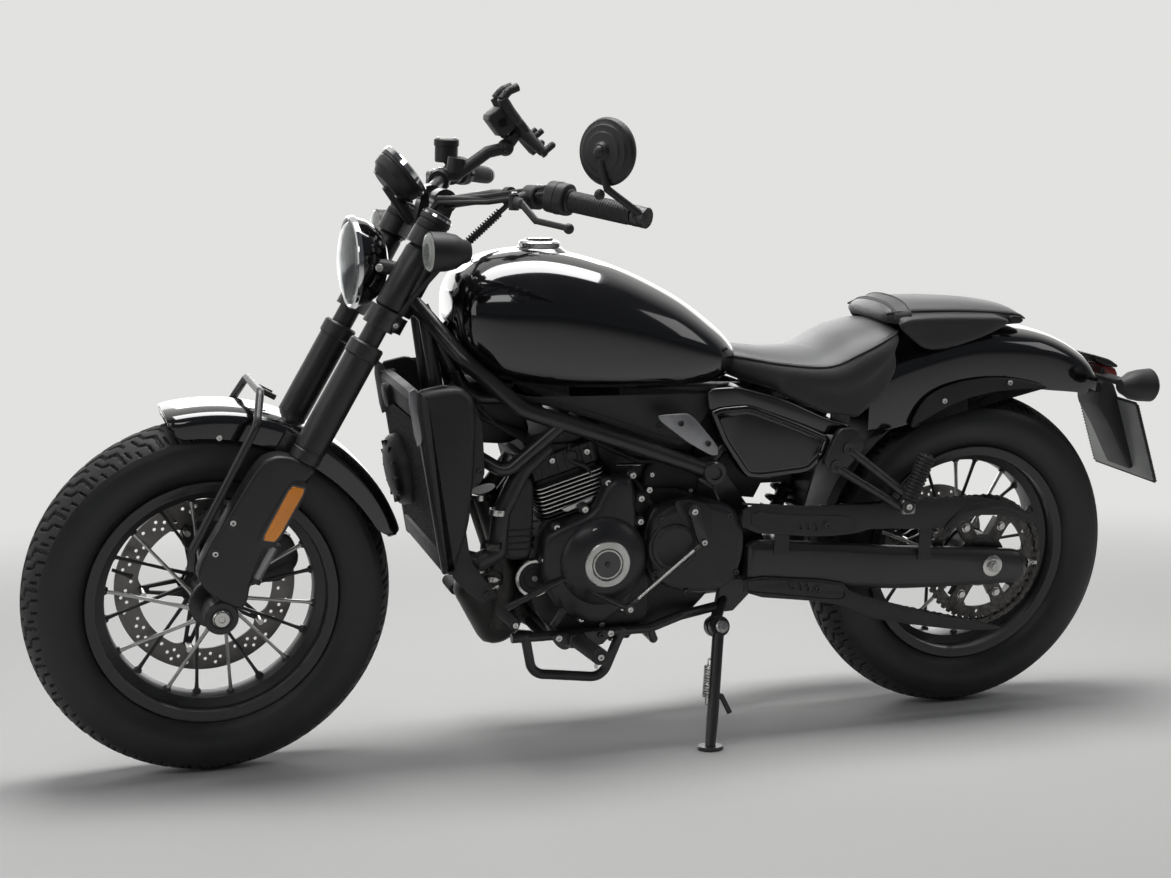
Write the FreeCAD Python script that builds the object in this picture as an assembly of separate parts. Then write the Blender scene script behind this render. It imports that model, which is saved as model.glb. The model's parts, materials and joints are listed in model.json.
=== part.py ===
import FreeCAD, Part
import math
import os

# Cruiser motorcycle on its side stand. Millimetres.
# Drawn on an upright machine: +X forward, +Y to the rider's left, +Z up, rear axle
# above x = 0. The steered pieces then turn about the stem and the whole leans over.

V = FreeCAD.Vector

# Stance
WHEELBASE = 1485.0
RAKE_DEG = 29.0
STEER_DEG = 2.4
LEAN_DEG = 8.4
ORIGIN_X = 701.5
ORIGIN_Y = 169.2
CONTACT_GAP = 0.3
RUNNING_GAP = 0.05

# Wheels
FRONT_TYRE_R = 320.0
FRONT_TYRE_HALF = 65.0
FRONT_CROWN_R = 85.0
REAR_TYRE_R = 323.0
REAR_TYRE_HALF = 75.0
REAR_CROWN_R = 105.0
BEAD_R = 206.0
FLANGE_R = 219.0
WELL_R = 184.0
FRONT_RIM_HALF = 50.0
REAR_RIM_HALF = 60.0
RIM_WALL = 5.0
SPOKE_R = 3.2
SPOKE_COUNT = 20
SPOKE_SWING_DEG = 19.0
FRONT_HUB_R = 32.0
FRONT_HUB_HALF = 52.0
REAR_HUB_R = 42.0
REAR_HUB_HALF = 55.0
HUB_FLANGE_T = 8.0
AXLE_R = 9.0
REAR_AXLE_R = 10.0
FRONT_DISC_R = 160.0
FRONT_DISC_IN_R = 118.0
FRONT_DISC_Y = -62.0
REAR_DISC_R = 110.0
REAR_DISC_IN_R = 78.0
REAR_DISC_Y = -78.0
DISC_T = 5.0
DISC_ARMS = 5

# Fork
FORK_HALF = 105.0
CLAMP_OFFSET = 45.0
STANCHION_R = 19.0
COVER_R = 27.5
LOWER_R = 24.0
FORK_TOP = 745.0
COVER_TOP = 528.0
LOWER_TOP = 300.0
CLAMP_LOW = (560.0, 595.0)
CLAMP_HIGH = (715.0, 745.0)
CAP_TOP = 785.0
CLAMP_WALL = 9.0
STEM_R = 17.0
HEAD_R = 30.0
LEG_IN = 84.0
LEG_OUT = 132.0

# Drive line
CHAIN_Y = 108.0
CHAIN_W = 16.0
CHAIN_H = 16.0
REAR_SPROCKET_R = 118.0
DRIVE_SPROCKET = (610.0, 395.0, 40.0)

# Engine
CASE_HALF = 110.0
CASE_REAR_HALF = 92.0
COVER_OUT = 150.0
CYLINDER_TILT_DEG = 17.0
SPAR_HALF = 130.0
RAIL_HALF = 121.0
PIVOT_PLATE = (78.0, 92.0)
SWING_PIVOT = (505.0, 350.0)
SWING_BOLT_R = 14.0
SHOCK_TOP = (300.0, 640.0)

# Stand
STAND_PIVOT = V(570.0, 134.0, 236.0)
STAND_TILT_DEG = 17.0
STAND_FOOT_X = 612.0
STAND_FOOT_Y = 228.0
STAND_TUBE_R = 11.0
STAND_BOLT_R = 8.0
STAND_EYE_R = 19.0
STAND_EYE_W = 20.0

RAKE = math.radians(RAKE_DEG)
LEAN = math.radians(LEAN_DEG)
SIDES = (1, -1)
FRONT_AXLE = V(WHEELBASE, 0, FRONT_TYRE_R)
REAR_AXLE = V(0, 0, REAR_TYRE_R)
UP = V(-math.sin(RAKE), 0, math.cos(RAKE))
AHEAD = V(math.cos(RAKE), 0, math.sin(RAKE))
STEM_BASE = FRONT_AXLE - AHEAD * CLAMP_OFFSET

os.makedirs("parts", exist_ok=True)


# Basic forms

def cyl(a, b, r):
    return Part.makeCylinder(r, (b - a).Length, a, b - a)


def tube(a, b, r_out, r_in):
    return cyl(a, b, r_out).cut(cyl(a, b, r_in))


def box(x0, x1, y0, y1, z0, z1):
    return Part.makeBox(x1 - x0, y1 - y0, z1 - z0, V(x0, y0, z0))


def slab(points, y0, y1):
    ring = [V(x, y0, z) for x, z in points]
    face = Part.Face(Part.makePolygon(ring + ring[:1]))
    return face.extrude(V(0, y1 - y0, 0))


def lathe(base, direction, profile):
    ring = [V(r, 0, t) for t, r in profile]
    face = Part.Face(Part.makePolygon(ring + ring[:1]))
    solid = face.revolve(V(0, 0, 0), V(0, 0, 1), 360)
    solid.Placement = FreeCAD.Placement(base, FreeCAD.Rotation(V(0, 0, 1), direction))
    return solid


def pipe(points, r, bend):
    edges = []
    start = points[0]
    for before, corner, after in zip(points, points[1:], points[2:]):
        back = (before - corner).normalize()
        on = (after - corner).normalize()
        half = back.getAngle(on) / 2
        reach = bend / math.tan(half)
        p, q = corner + back * reach, corner + on * reach
        middle = (back + on).normalize()
        m = corner + middle * (bend / math.sin(half) - bend)
        edges.append(Part.LineSegment(start, p).toShape())
        edges.append(Part.Arc(p, m, q).toShape())
        start = q
    edges.append(Part.LineSegment(start, points[-1]).toShape())
    path = Part.Wire(edges)
    section = Part.Wire([Part.makeCircle(r, points[0], points[1] - points[0])])
    return path.makePipeShell([section], True, False)


def join(shapes):
    first = shapes[0]
    return first.fuse(shapes[1:]).removeSplitter() if len(shapes) > 1 else first


def mirror_y(shape):
    return shape.mirror(V(0, 0, 0), V(0, 1, 0))


def both(shape):
    return Part.makeCompound([shape, mirror_y(shape)])


def loft_x(rows):
    """Rows of x, z_low, z_belly, z_top, half_low, half_belly."""
    wires = []
    for x, z_low, z_belly, z_top, half_low, half_belly in rows:
        low = V(x, half_low, z_low)
        belly = V(x, half_belly, z_belly)
        turn = V(x, half_low + 0.75 * (half_belly - half_low), z_low + 0.4 * (z_belly - z_low))
        flip = [V(p.x, -p.y, p.z) for p in (low, belly, turn)]
        wires.append(Part.Wire([
            Part.LineSegment(flip[0], low).toShape(),
            Part.Arc(low, turn, belly).toShape(),
            Part.Arc(belly, V(x, 0, z_top), flip[1]).toShape(),
            Part.Arc(flip[1], flip[2], flip[0]).toShape(),
        ]))
    return Part.makeLoft(wires, True, False)


def to_fork(shape):
    shape.rotate(V(0, 0, 0), V(0, 1, 0), -RAKE_DEG)
    shape.translate(FRONT_AXLE)
    return shape


def fork_point(ahead, y, up):
    return FRONT_AXLE + AHEAD * ahead + UP * up + V(0, y, 0)


def behind(back, y, z):
    """Point given by its distance behind the front axle."""
    return V(WHEELBASE - back, y, z)


def outline_behind(points):
    return [(WHEELBASE - back, z) for back, z in points]


# Parking pose

def steer(shape):
    shape.rotate(STEM_BASE, UP, STEER_DEG)
    return shape


def lean_vector(p):
    return FreeCAD.Rotation(V(1, 0, 0), -LEAN_DEG).multVec(p)


def steer_vector(p):
    return FreeCAD.Rotation(UP, STEER_DEG).multVec(p)


def wheel_low(centre, axis, r, crown):
    return centre.z - (r - crown) * math.sqrt(1 - axis.z * axis.z) - crown


front_centre = lean_vector(STEM_BASE + steer_vector(FRONT_AXLE - STEM_BASE))
front_axis = lean_vector(steer_vector(V(0, 1, 0)))
rear_centre = lean_vector(REAR_AXLE)
rear_axis = lean_vector(V(0, 1, 0))
FRONT_LOW = wheel_low(front_centre, front_axis, FRONT_TYRE_R, FRONT_CROWN_R)
REAR_LOW = wheel_low(rear_centre, rear_axis, REAR_TYRE_R, REAR_CROWN_R)
PITCH = math.atan((FRONT_LOW - REAR_LOW) / (front_centre.x - rear_centre.x))
LIFT = -REAR_LOW


def park(shape):
    shape.rotate(V(0, 0, 0), V(1, 0, 0), -LEAN_DEG)
    shape.rotate(V(0, 0, 0), V(0, 1, 0), math.degrees(PITCH))
    shape.translate(V(-ORIGIN_X, -ORIGIN_Y, LIFT))
    return shape


def floor_height(x, y):
    """Height of the floor under the leaning machine, in its own frame."""
    level = LIFT - x * math.sin(PITCH)
    return (y * math.sin(LEAN) - level) / math.cos(LEAN)


# Wheels

def tyre(centre, r, half, crown, rim_half):
    shoulder_y = half * 0.93
    shoulder_r = r - crown + math.sqrt(crown * crown - shoulder_y * shoulder_y)
    bead_y = rim_half - RIM_WALL - CONTACT_GAP
    wall_r = (shoulder_r + BEAD_R) / 2

    def at(y, radius):
        return V(0, y, radius)

    edges = [Part.LineSegment(at(-bead_y, BEAD_R), at(bead_y, BEAD_R)).toShape()]
    edges.append(Part.LineSegment(at(bead_y, BEAD_R), at(bead_y, FLANGE_R)).toShape())
    edges.append(Part.Arc(at(bead_y, FLANGE_R), at(half, wall_r),
                          at(shoulder_y, shoulder_r)).toShape())
    edges.append(Part.Arc(at(shoulder_y, shoulder_r), at(0, r),
                          at(-shoulder_y, shoulder_r)).toShape())
    edges.append(Part.Arc(at(-shoulder_y, shoulder_r), at(-half, wall_r),
                          at(-bead_y, FLANGE_R)).toShape())
    edges.append(Part.LineSegment(at(-bead_y, FLANGE_R), at(-bead_y, BEAD_R)).toShape())
    solid = Part.Face(Part.Wire(edges)).revolve(V(0, 0, 0), V(0, 1, 0), 360)
    solid.translate(centre)
    return solid


def cast_wheel(centre, rim_half, hub_r, hub_half, bore_r, start_deg):
    seat = BEAD_R - CONTACT_GAP
    wall = rim_half - RIM_WALL
    rim = lathe(centre, V(0, 1, 0), [
        (-rim_half, FLANGE_R), (-wall, FLANGE_R), (-wall, seat), (-28, seat),
        (-18, WELL_R + RIM_WALL), (18, WELL_R + RIM_WALL), (28, seat),
        (wall, seat), (wall, FLANGE_R), (rim_half, FLANGE_R),
        (rim_half, seat - RIM_WALL), (22, WELL_R), (-22, WELL_R), (-rim_half, seat - RIM_WALL)])
    flange_r = hub_r + 12
    hub = lathe(centre, V(0, 1, 0), [
        (-hub_half, bore_r), (-hub_half, flange_r), (-hub_half + HUB_FLANGE_T, flange_r),
        (-hub_half + 2 * HUB_FLANGE_T, hub_r), (hub_half - 2 * HUB_FLANGE_T, hub_r),
        (hub_half - HUB_FLANGE_T, flange_r), (hub_half, flange_r), (hub_half, bore_r)])
    pieces = [hub]
    for i in range(SPOKE_COUNT):
        turn = math.radians(360.0 * i / SPOKE_COUNT + start_deg)
        side = 1 if i % 2 else -1
        swing = math.radians(SPOKE_SWING_DEG) * side
        inner = V((flange_r - 6) * math.cos(turn - swing), side * (hub_half - HUB_FLANGE_T - 1),
                  (flange_r - 6) * math.sin(turn - swing))
        outer = V((WELL_R + 2) * math.cos(turn), side * 9, (WELL_R + 2) * math.sin(turn))
        pieces.append(cyl(centre + inner, centre + outer, SPOKE_R))
    return join([rim] + pieces)


def brake_disc(centre, y, r, r_in, hub_half, hub_r, bore_r):
    ring = tube(centre + V(0, y - DISC_T / 2, 0), centre + V(0, y + DISC_T / 2, 0), r, r_in)
    inner = -hub_half - CONTACT_GAP
    arms = [tube(centre + V(0, y - DISC_T / 2, 0), centre + V(0, inner, 0), hub_r, bore_r)]
    for i in range(DISC_ARMS):
        arm = box(hub_r - 6, r_in + 8, -9, 9, -2, 2)
        arm.rotate(V(0, 0, 0), V(1, 0, 0), 90)
        arm.rotate(V(0, 0, 0), V(0, 1, 0), -360.0 / DISC_ARMS * i)
        arm.translate(centre + V(0, y, 0))
        arms.append(arm)
    return join([ring] + arms)


def rear_sprocket():
    y = CHAIN_Y
    inner = REAR_HUB_HALF + CONTACT_GAP
    ring = tube(REAR_AXLE + V(0, y - 3, 0), REAR_AXLE + V(0, y + 3, 0), REAR_SPROCKET_R, REAR_SPROCKET_R - 22)
    arms = [tube(REAR_AXLE + V(0, inner, 0), REAR_AXLE + V(0, y + 3, 0), 50, REAR_AXLE_R + 6)]
    for i in range(6):
        arm = box(40, REAR_SPROCKET_R - 16, -9, 9, -3, 3)
        arm.rotate(V(0, 0, 0), V(1, 0, 0), 90)
        arm.rotate(V(0, 0, 0), V(0, 1, 0), 60 * i)
        arm.translate(REAR_AXLE + V(0, y, 0))
        arms.append(arm)
    return join([ring] + arms)


# Fork and bars

def fork_clamps():
    """Two clamps, each a web from the stem out to the fork tubes."""
    web = ((-2, 96), (-18, 96), (-66, 28), (-72, 10), (-72, -10), (-66, -28), (-18, -96), (-2, -96))
    pieces = []
    for low, high in (CLAMP_LOW, CLAMP_HIGH):
        for side in SIDES:
            pieces.append(cyl(V(0, side * FORK_HALF, low), V(0, side * FORK_HALF, high),
                              STANCHION_R + CLAMP_WALL))
        ring = [V(x, y, low + 3) for x, y in web]
        face = Part.Face(Part.makePolygon(ring + ring[:1]))
        pieces.append(face.extrude(V(0, 0, high - low - 6)))
    body = join(pieces)
    for side in SIDES:
        body = body.cut(cyl(V(0, side * FORK_HALF, 500), V(0, side * FORK_HALF, 800),
                            STANCHION_R + CONTACT_GAP))
    stem = cyl(V(-CLAMP_OFFSET, 0, CLAMP_LOW[0]), V(-CLAMP_OFFSET, 0, CLAMP_HIGH[1] + 14), STEM_R)
    return to_fork(join([body, stem]))


def fork_tubes():
    rows = []
    for side in SIDES:
        y = side * FORK_HALF
        rows.append(to_fork(join([
            cyl(V(0, y, LOWER_TOP - 60), V(0, y, FORK_TOP + 5), STANCHION_R),
            cyl(V(0, y, LOWER_TOP + CONTACT_GAP), V(0, y, COVER_TOP), COVER_R),
            cyl(V(0, y, COVER_TOP - 24), V(0, y, COVER_TOP), COVER_R + 3),
            cyl(V(0, y, FORK_TOP + CONTACT_GAP), V(0, y, CAP_TOP), COVER_R),
        ])))
    return Part.makeCompound(rows)


LEG_OUTLINE = ((78, 51), (74, 200), (70, 268), (52, 290), (24, 300), (-25, 300),
               (-13, 268), (-5, 210), (-9, 120), (-14, 80), (-31, 31), (0, 22), (43, 30))


def fork_lowers():
    legs = []
    for side in SIDES:
        y = side * FORK_HALF
        y0, y1 = sorted((side * LEG_IN, side * LEG_OUT))
        leg = join([
            slab(LEG_OUTLINE, y0, y1),
            cyl(V(0, y, 18), V(0, y, LOWER_TOP), LOWER_R),
            cyl(V(0, side * LEG_IN, 0), V(0, side * LEG_OUT, 0), 26),
        ])
        leg = leg.cut(cyl(V(0, y, LOWER_TOP - 62), V(0, y, LOWER_TOP + 5),
                          STANCHION_R + CONTACT_GAP))
        leg = leg.cut(cyl(V(0, -200, 0), V(0, 200, 0), AXLE_R))
        legs.append(to_fork(leg))
    return Part.makeCompound(legs)


def fork_reflectors():
    outline = ((5, 150), (-13, 158), (-13, 262), (7, 256))
    return both(to_fork(slab(outline, LEG_OUT, LEG_OUT + 6)))


def front_axle():
    return join([
        cyl(FRONT_AXLE + V(0, -LEG_OUT, 0), FRONT_AXLE + V(0, LEG_OUT, 0), AXLE_R),
        cyl(FRONT_AXLE + V(0, LEG_OUT, 0), FRONT_AXLE + V(0, LEG_OUT + 7, 0), 14),
        cyl(FRONT_AXLE + V(0, -LEG_OUT - 7, 0), FRONT_AXLE + V(0, -LEG_OUT, 0), 14),
    ])


FENDER_R = 351.0
FENDER_HALF = 76.0
FENDER_T = 3.0
FENDER_SKIRT_R = 297.0


def arch_face(half, r_skirt, r_shoulder, r_top, thick):
    """Closed arch section in the plane x = 0, height measured from the wheel axis."""
    def side(h, skirt, shoulder, top):
        return [V(0, h, skirt), V(0, h, shoulder), V(0, 0, top), V(0, -h, shoulder), V(0, -h, skirt)]
    o = side(half, r_skirt, r_shoulder, r_top)
    i = side(half - thick, r_skirt, r_shoulder - thick / 2, r_top - thick)
    edges = [
        Part.LineSegment(o[0], o[1]).toShape(), Part.Arc(o[1], o[2], o[3]).toShape(),
        Part.LineSegment(o[3], o[4]).toShape(), Part.LineSegment(o[4], i[4]).toShape(),
        Part.LineSegment(i[4], i[3]).toShape(), Part.Arc(i[3], i[2], i[1]).toShape(),
        Part.LineSegment(i[1], i[0]).toShape(), Part.LineSegment(i[0], o[0]).toShape(),
    ]
    return Part.Wire(edges)


def front_fender():
    start, end = 77.0, 161.0
    face = Part.Face(arch_face(FENDER_HALF, FENDER_SKIRT_R, FENDER_R - 22, FENDER_R, FENDER_T))
    face.rotate(V(0, 0, 0), V(0, 1, 0), 90 - start)
    shell = face.revolve(V(0, 0, 0), V(0, -1, 0), end - start)
    shell.translate(FRONT_AXLE)
    return shell


def fender_stay():
    r = 7.0
    half = LEG_OUT - 8
    run = [(84.5, half, 52), (99, half, 84), (105, half, 322), (114, 70, 368)]
    path = [fork_point(a, y, u) for a, y, u in run] + [fork_point(a, -y, u) for a, y, u in run[::-1]]
    posts = [cyl(fork_point(112, side * 20, 366), fork_point(74, side * 20, 366), 5) for side in SIDES]
    hoop = join([pipe(path, r, 26)] + posts).cut(fork_lowers()).cut(fork_reflectors())
    lug = to_fork(box(20, 44, FENDER_HALF + CONTACT_GAP, LEG_IN - CONTACT_GAP, 262, 330))
    return Part.makeCompound([hoop, both(lug)])


def front_caliper():
    y = FRONT_DISC_Y
    outline = ((-40, 60), (-34, 112), (-85, 152), (-132, 118), (-128, 70), (-84, 40))
    body = slab(outline, y - 26, y + 16)
    slot = tube(V(0, y - 5, 0), V(0, y + 5, 0), FRONT_DISC_R + 5, 1)
    ear = slab(((12, 60), (12, 110), (-50, 104), (-58, 60)), -LEG_IN + CONTACT_GAP, y - 10)
    return to_fork(join([body, ear]).cut(slot)).cut(fork_lowers())


LAMP_Z = 907.0
LAMP_X = WHEELBASE - 253.0
LAMP_R = 78.0


def headlight():
    base = V(LAMP_X, 0, LAMP_Z)
    shell = lathe(base, V(1, 0, 0), [(-56, 0), (-56, 34), (-44, 58), (-12, LAMP_R), (6, LAMP_R + 3),
                                     (6, LAMP_R - 3), (-4, LAMP_R - 6), (-4, 0)])
    ears = []
    for side in SIDES:
        ears.append(cyl(V(LAMP_X - 30, side * 55, LAMP_Z), V(LAMP_X - 62, side * 85, LAMP_Z), 11))
    return join([shell] + ears).cut(fork_tubes())


def headlight_lens():
    base = V(LAMP_X, 0, LAMP_Z)
    return lathe(base, V(1, 0, 0), [(-3.7, 0), (-3.7, LAMP_R - 6.5), (6, LAMP_R - 3.5),
                                    (16, LAMP_R - 20), (22, 35), (24, 0)])


DIAL = behind(345, 0, 1066)
DIAL_DIR = V(-0.77, 0, 0.64)


def instrument():
    can = lathe(DIAL, DIAL_DIR, [(-44, 0), (-44, 34), (-30, 46), (0, 52), (5, 52), (5, 0)])
    foot = cyl(DIAL - DIAL_DIR * 40, fork_point(-24, 0, CLAMP_HIGH[1] - 12), 11)
    return join([can, foot.cut(fork_clamps())])


BAR_R = 11.0
GRIP_R = 17.0
BAR_RUN = (behind(400, 0, 1018), behind(403, 75, 1018), behind(455, 165, 1038), behind(523, 290, 1045),
           behind(613, 404, 1029))


def handlebar():
    run = list(BAR_RUN)
    left = [V(p.x, p.y, p.z) for p in run[:0:-1]]
    right = [V(p.x, -p.y, p.z) for p in run[1:]]
    bar = pipe(left + right, BAR_R, 30)
    risers = []
    for side in SIDES:
        y0, y1 = sorted((side * 30, side * 60))
        risers.append(slab(((1117, 960), (1092, 946), (1065, 1018), (1103, 1018)), y0, y1))
        risers.append(cyl(behind(401, y0 - 1, 1018), behind(401, y1 + 1, 1018), 21))
    return join([bar] + risers).cut(fork_clamps())


def grips():
    d = (BAR_RUN[4] - BAR_RUN[3]).normalize()
    a = BAR_RUN[3] + d * 24
    b = BAR_RUN[4] + d * 3
    grip = tube(a, BAR_RUN[4] - d * 0.5, GRIP_R, BAR_R + CONTACT_GAP)
    end = cyl(BAR_RUN[4] + d * 0.3, b + d * 10, GRIP_R)
    return both(grip), both(end)


def bar_controls():
    d = (BAR_RUN[4] - BAR_RUN[3]).normalize()
    centre = BAR_RUN[3] + d * 8
    switch = tube(centre - d * 20, centre + d * 14, 24, BAR_R + CONTACT_GAP)
    switch = switch.fuse(box(-14, 22, -18, 18, -26, 22).translated(centre + V(-4, 0, 6)))
    switch = switch.cut(cyl(centre - d * 80, centre + d * 80, BAR_R + CONTACT_GAP))
    e = (BAR_RUN[3] - BAR_RUN[2]).normalize()
    hold = BAR_RUN[2] + e * 92
    perch = tube(hold - e * 14, hold + e * 14, 20, BAR_R + CONTACT_GAP)
    pivot = hold + V(34, 0, -8)
    arm = cyl(hold + V(16, 0, -2), pivot, 11)
    lever = pipe([pivot, behind(493, 262, 1022), behind(513, 330, 1014), behind(509, 392, 1006)], 6, 20)
    ball = Part.makeSphere(9, behind(509, 392, 1006))
    left = Part.makeCompound([switch, join([perch, arm, lever, ball])])
    right = mirror_y(left)
    cup = box(-22, 22, -16, 16, 0, 44).translated(V(hold.x + 12, -hold.y, hold.z + 22))
    neck = cyl(V(hold.x, -hold.y, hold.z + 15), V(hold.x + 10, -hold.y, hold.z + 30), 8)
    right = Part.makeCompound([right.Solids[0], join([right.Solids[1], neck, cup])])
    grip_pair = grips()[0]
    return Part.makeCompound([s.cut(grip_pair).cut(handlebar()) for s in (left, right)])


MIRROR_C = behind(560, 412, 1128)
MIRROR_BACK = V(0.85, 0.53, 0)


def mirror():
    d = (BAR_RUN[4] - BAR_RUN[3]).normalize()
    root = BAR_RUN[4] + d * 14
    disc = lathe(MIRROR_C, MIRROR_BACK, [(-8, 0), (-8, 52), (0, 53), (8, 40), (12, 18), (20, 12), (20, 0)])
    clamp = cyl(root - d * 0.7, root + d * 12, GRIP_R)
    knee = behind(547, 424, 1062)
    stalk = pipe([root + d * 4 + V(0, 6, 0), knee, behind(537, 427, 1110), MIRROR_C + MIRROR_BACK * 16],
                 6, 8)
    return join([disc, clamp, stalk]).cut(grips()[1])


BAR_RUN_RIGHT = (behind(403, -75, 1018), behind(455, -165, 1038))


def phone_holder():
    foot = behind(453, -165, 1038)
    stem = cyl(foot + V(0, 0, 8), behind(570, -150, 1095), 12)
    clamp = cyl(foot + V(-6, 14, 0), foot + V(6, -14, 0), 20).cut(
        cyl(BAR_RUN_RIGHT[0], BAR_RUN_RIGHT[1], BAR_R + CONTACT_GAP))
    plate = slab(((840, 1085), (900, 1060), (985, 1150), (930, 1215), (900, 1190), (930, 1150)),
                 -175, -125)
    return join([clamp, stem, plate]).cut(handlebar())




def front_signals():
    p = behind(357, 190, 947)
    profile = [(-74, 0), (-74, 16), (-48, 30), (-6, 34), (0, 34), (4, 26), (4, 0)]
    ball = lathe(p + V(22, 0, 0), V(1, 0, 0), profile)
    arm = cyl(fork_point(0, FORK_HALF + STANCHION_R + 6, 731), V(p.x - 3, 175, p.z + 3), 9)
    return both(join([ball, arm.cut(fork_clamps()).cut(fork_tubes())]))


def control_cables():
    brake = pipe([behind(473.8, -186, 1026.1), fork_point(-16, -140, 690), fork_point(0, -139.5, 560),
                  fork_point(4, -139.5, 440), fork_point(-38, -139.5, 320), fork_point(-44, -112, 240),
                  fork_point(-58, -88, 150)], 4, 30)
    clutch = pipe([behind(474.2, 186, 1025.5), fork_point(-38, 136, 700), fork_point(-18, 118, 596)],
                  4.5, 40)
    return Part.makeCompound([brake.cut(front_caliper()), clutch.cut(fork_tubes())])


# Chassis

MAIN_RUN = (behind(357, 14, 838), behind(435, 94, 742), behind(530, SPAR_HALF, 660), V(760, SPAR_HALF, 594),
            V(592, SPAR_HALF, 533))
TOP_RUN = (behind(373, 20, 830), behind(449, 60, 672), V(760, 88, 666), V(500, 90, 648), V(300, 82, 640),
           V(150, 70, 676), V(-60, 66, 700))
FRONT_RUN = (behind(375, 36, 812), behind(395, 44, 690), behind(433, 96, 588), behind(500, SPAR_HALF, 548),
             V(880, SPAR_HALF, 634))
PLATE_OUTLINE = ((612, 545), (572, 552), (474, 420), (454, 350), (470, 300), (520, 250), (556, 248),
                 (548, 300), (540, 380), (548, 450), (575, 505), (606, 516))
SEAT_PADS = ((350, 663.5), (430, 669.0))
STAND_AXIS = V(0, math.cos(math.radians(STAND_TILT_DEG)), math.sin(math.radians(STAND_TILT_DEG)))


def frame():
    head_low, head_high = CLAMP_LOW[1] + CONTACT_GAP, CLAMP_HIGH[0] - CONTACT_GAP
    head = to_fork(tube(V(-CLAMP_OFFSET, 0, head_low), V(-CLAMP_OFFSET, 0, head_high),
                        HEAD_R, STEM_R + RUNNING_GAP))
    pieces = []
    for side in SIDES:
        def s(points):
            return [V(p.x, side * p.y, p.z) for p in points]
        pieces.append(pipe(s(MAIN_RUN), 15, 50))
        pieces.append(pipe(s(TOP_RUN), 12, 50))
        pieces.append(pipe(s(FRONT_RUN), 12, 24))
        y0, y1 = sorted((side * PIVOT_PLATE[0], side * PIVOT_PLATE[1]))
        pieces.append(slab(PLATE_OUTLINE, y0, y1))
        pieces.append(cyl(V(592, side * 100, 533), V(592, side * (SPAR_HALF + 16), 533), 22))
        pieces.append(cyl(V(585, side * 85, 535), V(480, side * 90, 650), 11))
    # x, z, half length and radius of each cross tube
    for x, z, half, r in ((SWING_PIVOT[0], SWING_PIVOT[1], PIVOT_PLATE[1] + 3, SWING_BOLT_R),
                          (WHEELBASE - 429, 600, 92, 9), (SHOCK_TOP[0], SHOCK_TOP[1], 82, 9),
                          (-60, 700, 99.6, 9), (592, 533, 122, 12), (470, 648, 90, 10),
                          (WHEELBASE - 530, 660, SPAR_HALF, 9)):
        pieces.append(cyl(V(x, -half, z), V(x, half, z), r))
    p, n = STAND_PIVOT, STAND_AXIS
    eye_gap = 1.0
    pieces.append(cyl(p - n * 16, p - n * eye_gap, 20))
    pieces.append(cyl(p - n * 16, p + n * (STAND_EYE_W + 6), STAND_BOLT_R))
    pieces.append(cyl(p + n * (STAND_EYE_W + eye_gap), p + n * (STAND_EYE_W + 7), 12))
    pieces.append(cyl(p - n * 15, V(540, 84, 274), 11))
    for x, top in SEAT_PADS:
        pieces += [box(x, x + 24, y - 7, y + 7, 646, top) for y in (-82, 82)]
    bore = to_fork(cyl(V(-CLAMP_OFFSET, 0, 500), V(-CLAMP_OFFSET, 0, 800), STEM_R + RUNNING_GAP))
    return join([head] + pieces).cut(bore)


def lower_loop():
    y = RAIL_HALF
    loop = pipe([V(940, y, 244), V(925, y, 168), V(790, y, 150), V(752, y, 244)], 9, 30)
    rail = pipe([V(965, y, 238), V(700, y, 238), V(640, y, 258), V(560, 96, 262)], 9, 20)
    tie = [cyl(V(x, -y, z), V(x, y, z), 8) for x, z in ((905, 236), (690, 216))]
    drop = [cyl(V(690, side * y, 214), V(700, side * y, 240), 8) for side in SIDES]
    cradle = join([loop, rail, mirror_y(loop), mirror_y(rail)] + tie + drop)
    return cradle.cut(frame_shape).cut(engine_shape).cut(exhaust_shape)


CASE_OUTLINE = ((900, 455), (928, 420), (932, 320), (905, 262), (860, 232), (700, 225), (620, 240),
                (562, 300), (556, 380), (566, 450), (630, 494), (745, 500), (800, 470))
BARREL_BASE = V(838, 0, 446)
FIN_COUNT = 5
FIN_PITCH = 13.0
FIN_T = 4.5
FIN_OUT = 116.0


def engine():
    """Case, cylinder block with its fins, head, and the airbox behind it."""
    case = slab(CASE_OUTLINE, -CASE_HALF, CASE_REAR_HALF)
    flank = slab(CASE_OUTLINE, CASE_REAR_HALF, CASE_HALF).common(box(696, 1000, 0, 200, 0, 600))
    sump = slab(((880, 236), (860, 204), (720, 200), (690, 232)), -70, 70)
    cx, cz, r = DRIVE_SPROCKET
    output = cyl(V(cx, CASE_REAR_HALF - 4, cz), V(cx, CHAIN_Y + 4, cz), r - 0.5)
    block = [box(-66, 60, -100, 100, 0, 96), box(-72, 66, -104, 104, 96, 138),
             box(-60, 54, -92, 92, 138, 176)]
    for i in range(FIN_COUNT):
        z = 24 + FIN_PITCH * i
        block.append(box(-72, 66, -FIN_OUT, FIN_OUT, z, z + FIN_T))
    barrel = join(block)
    barrel.rotate(V(0, 0, 0), V(0, 1, 0), CYLINDER_TILT_DEG)
    barrel.translate(BARREL_BASE)
    airbox = slab(((800, 560), (812, 628), (700, 640), (612, 636), (600, 560), (640, 512), (760, 500)),
                  -66, 66)
    return join([case, flank, sump, output, barrel, airbox])


GENERATOR_OUTLINE = ((916, 432), (918, 349), (879, 281), (802, 253), (738, 296), (734, 384),
                     (736, 458), (748, 532), (790, 530), (819, 472), (883, 448))
SPROCKET_OUTLINE = ((724, 406), (706, 472), (628, 490), (540, 467), (520, 399), (540, 314),
                    (619, 301), (702, 329))
CRANK_C = (806, 381)


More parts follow.
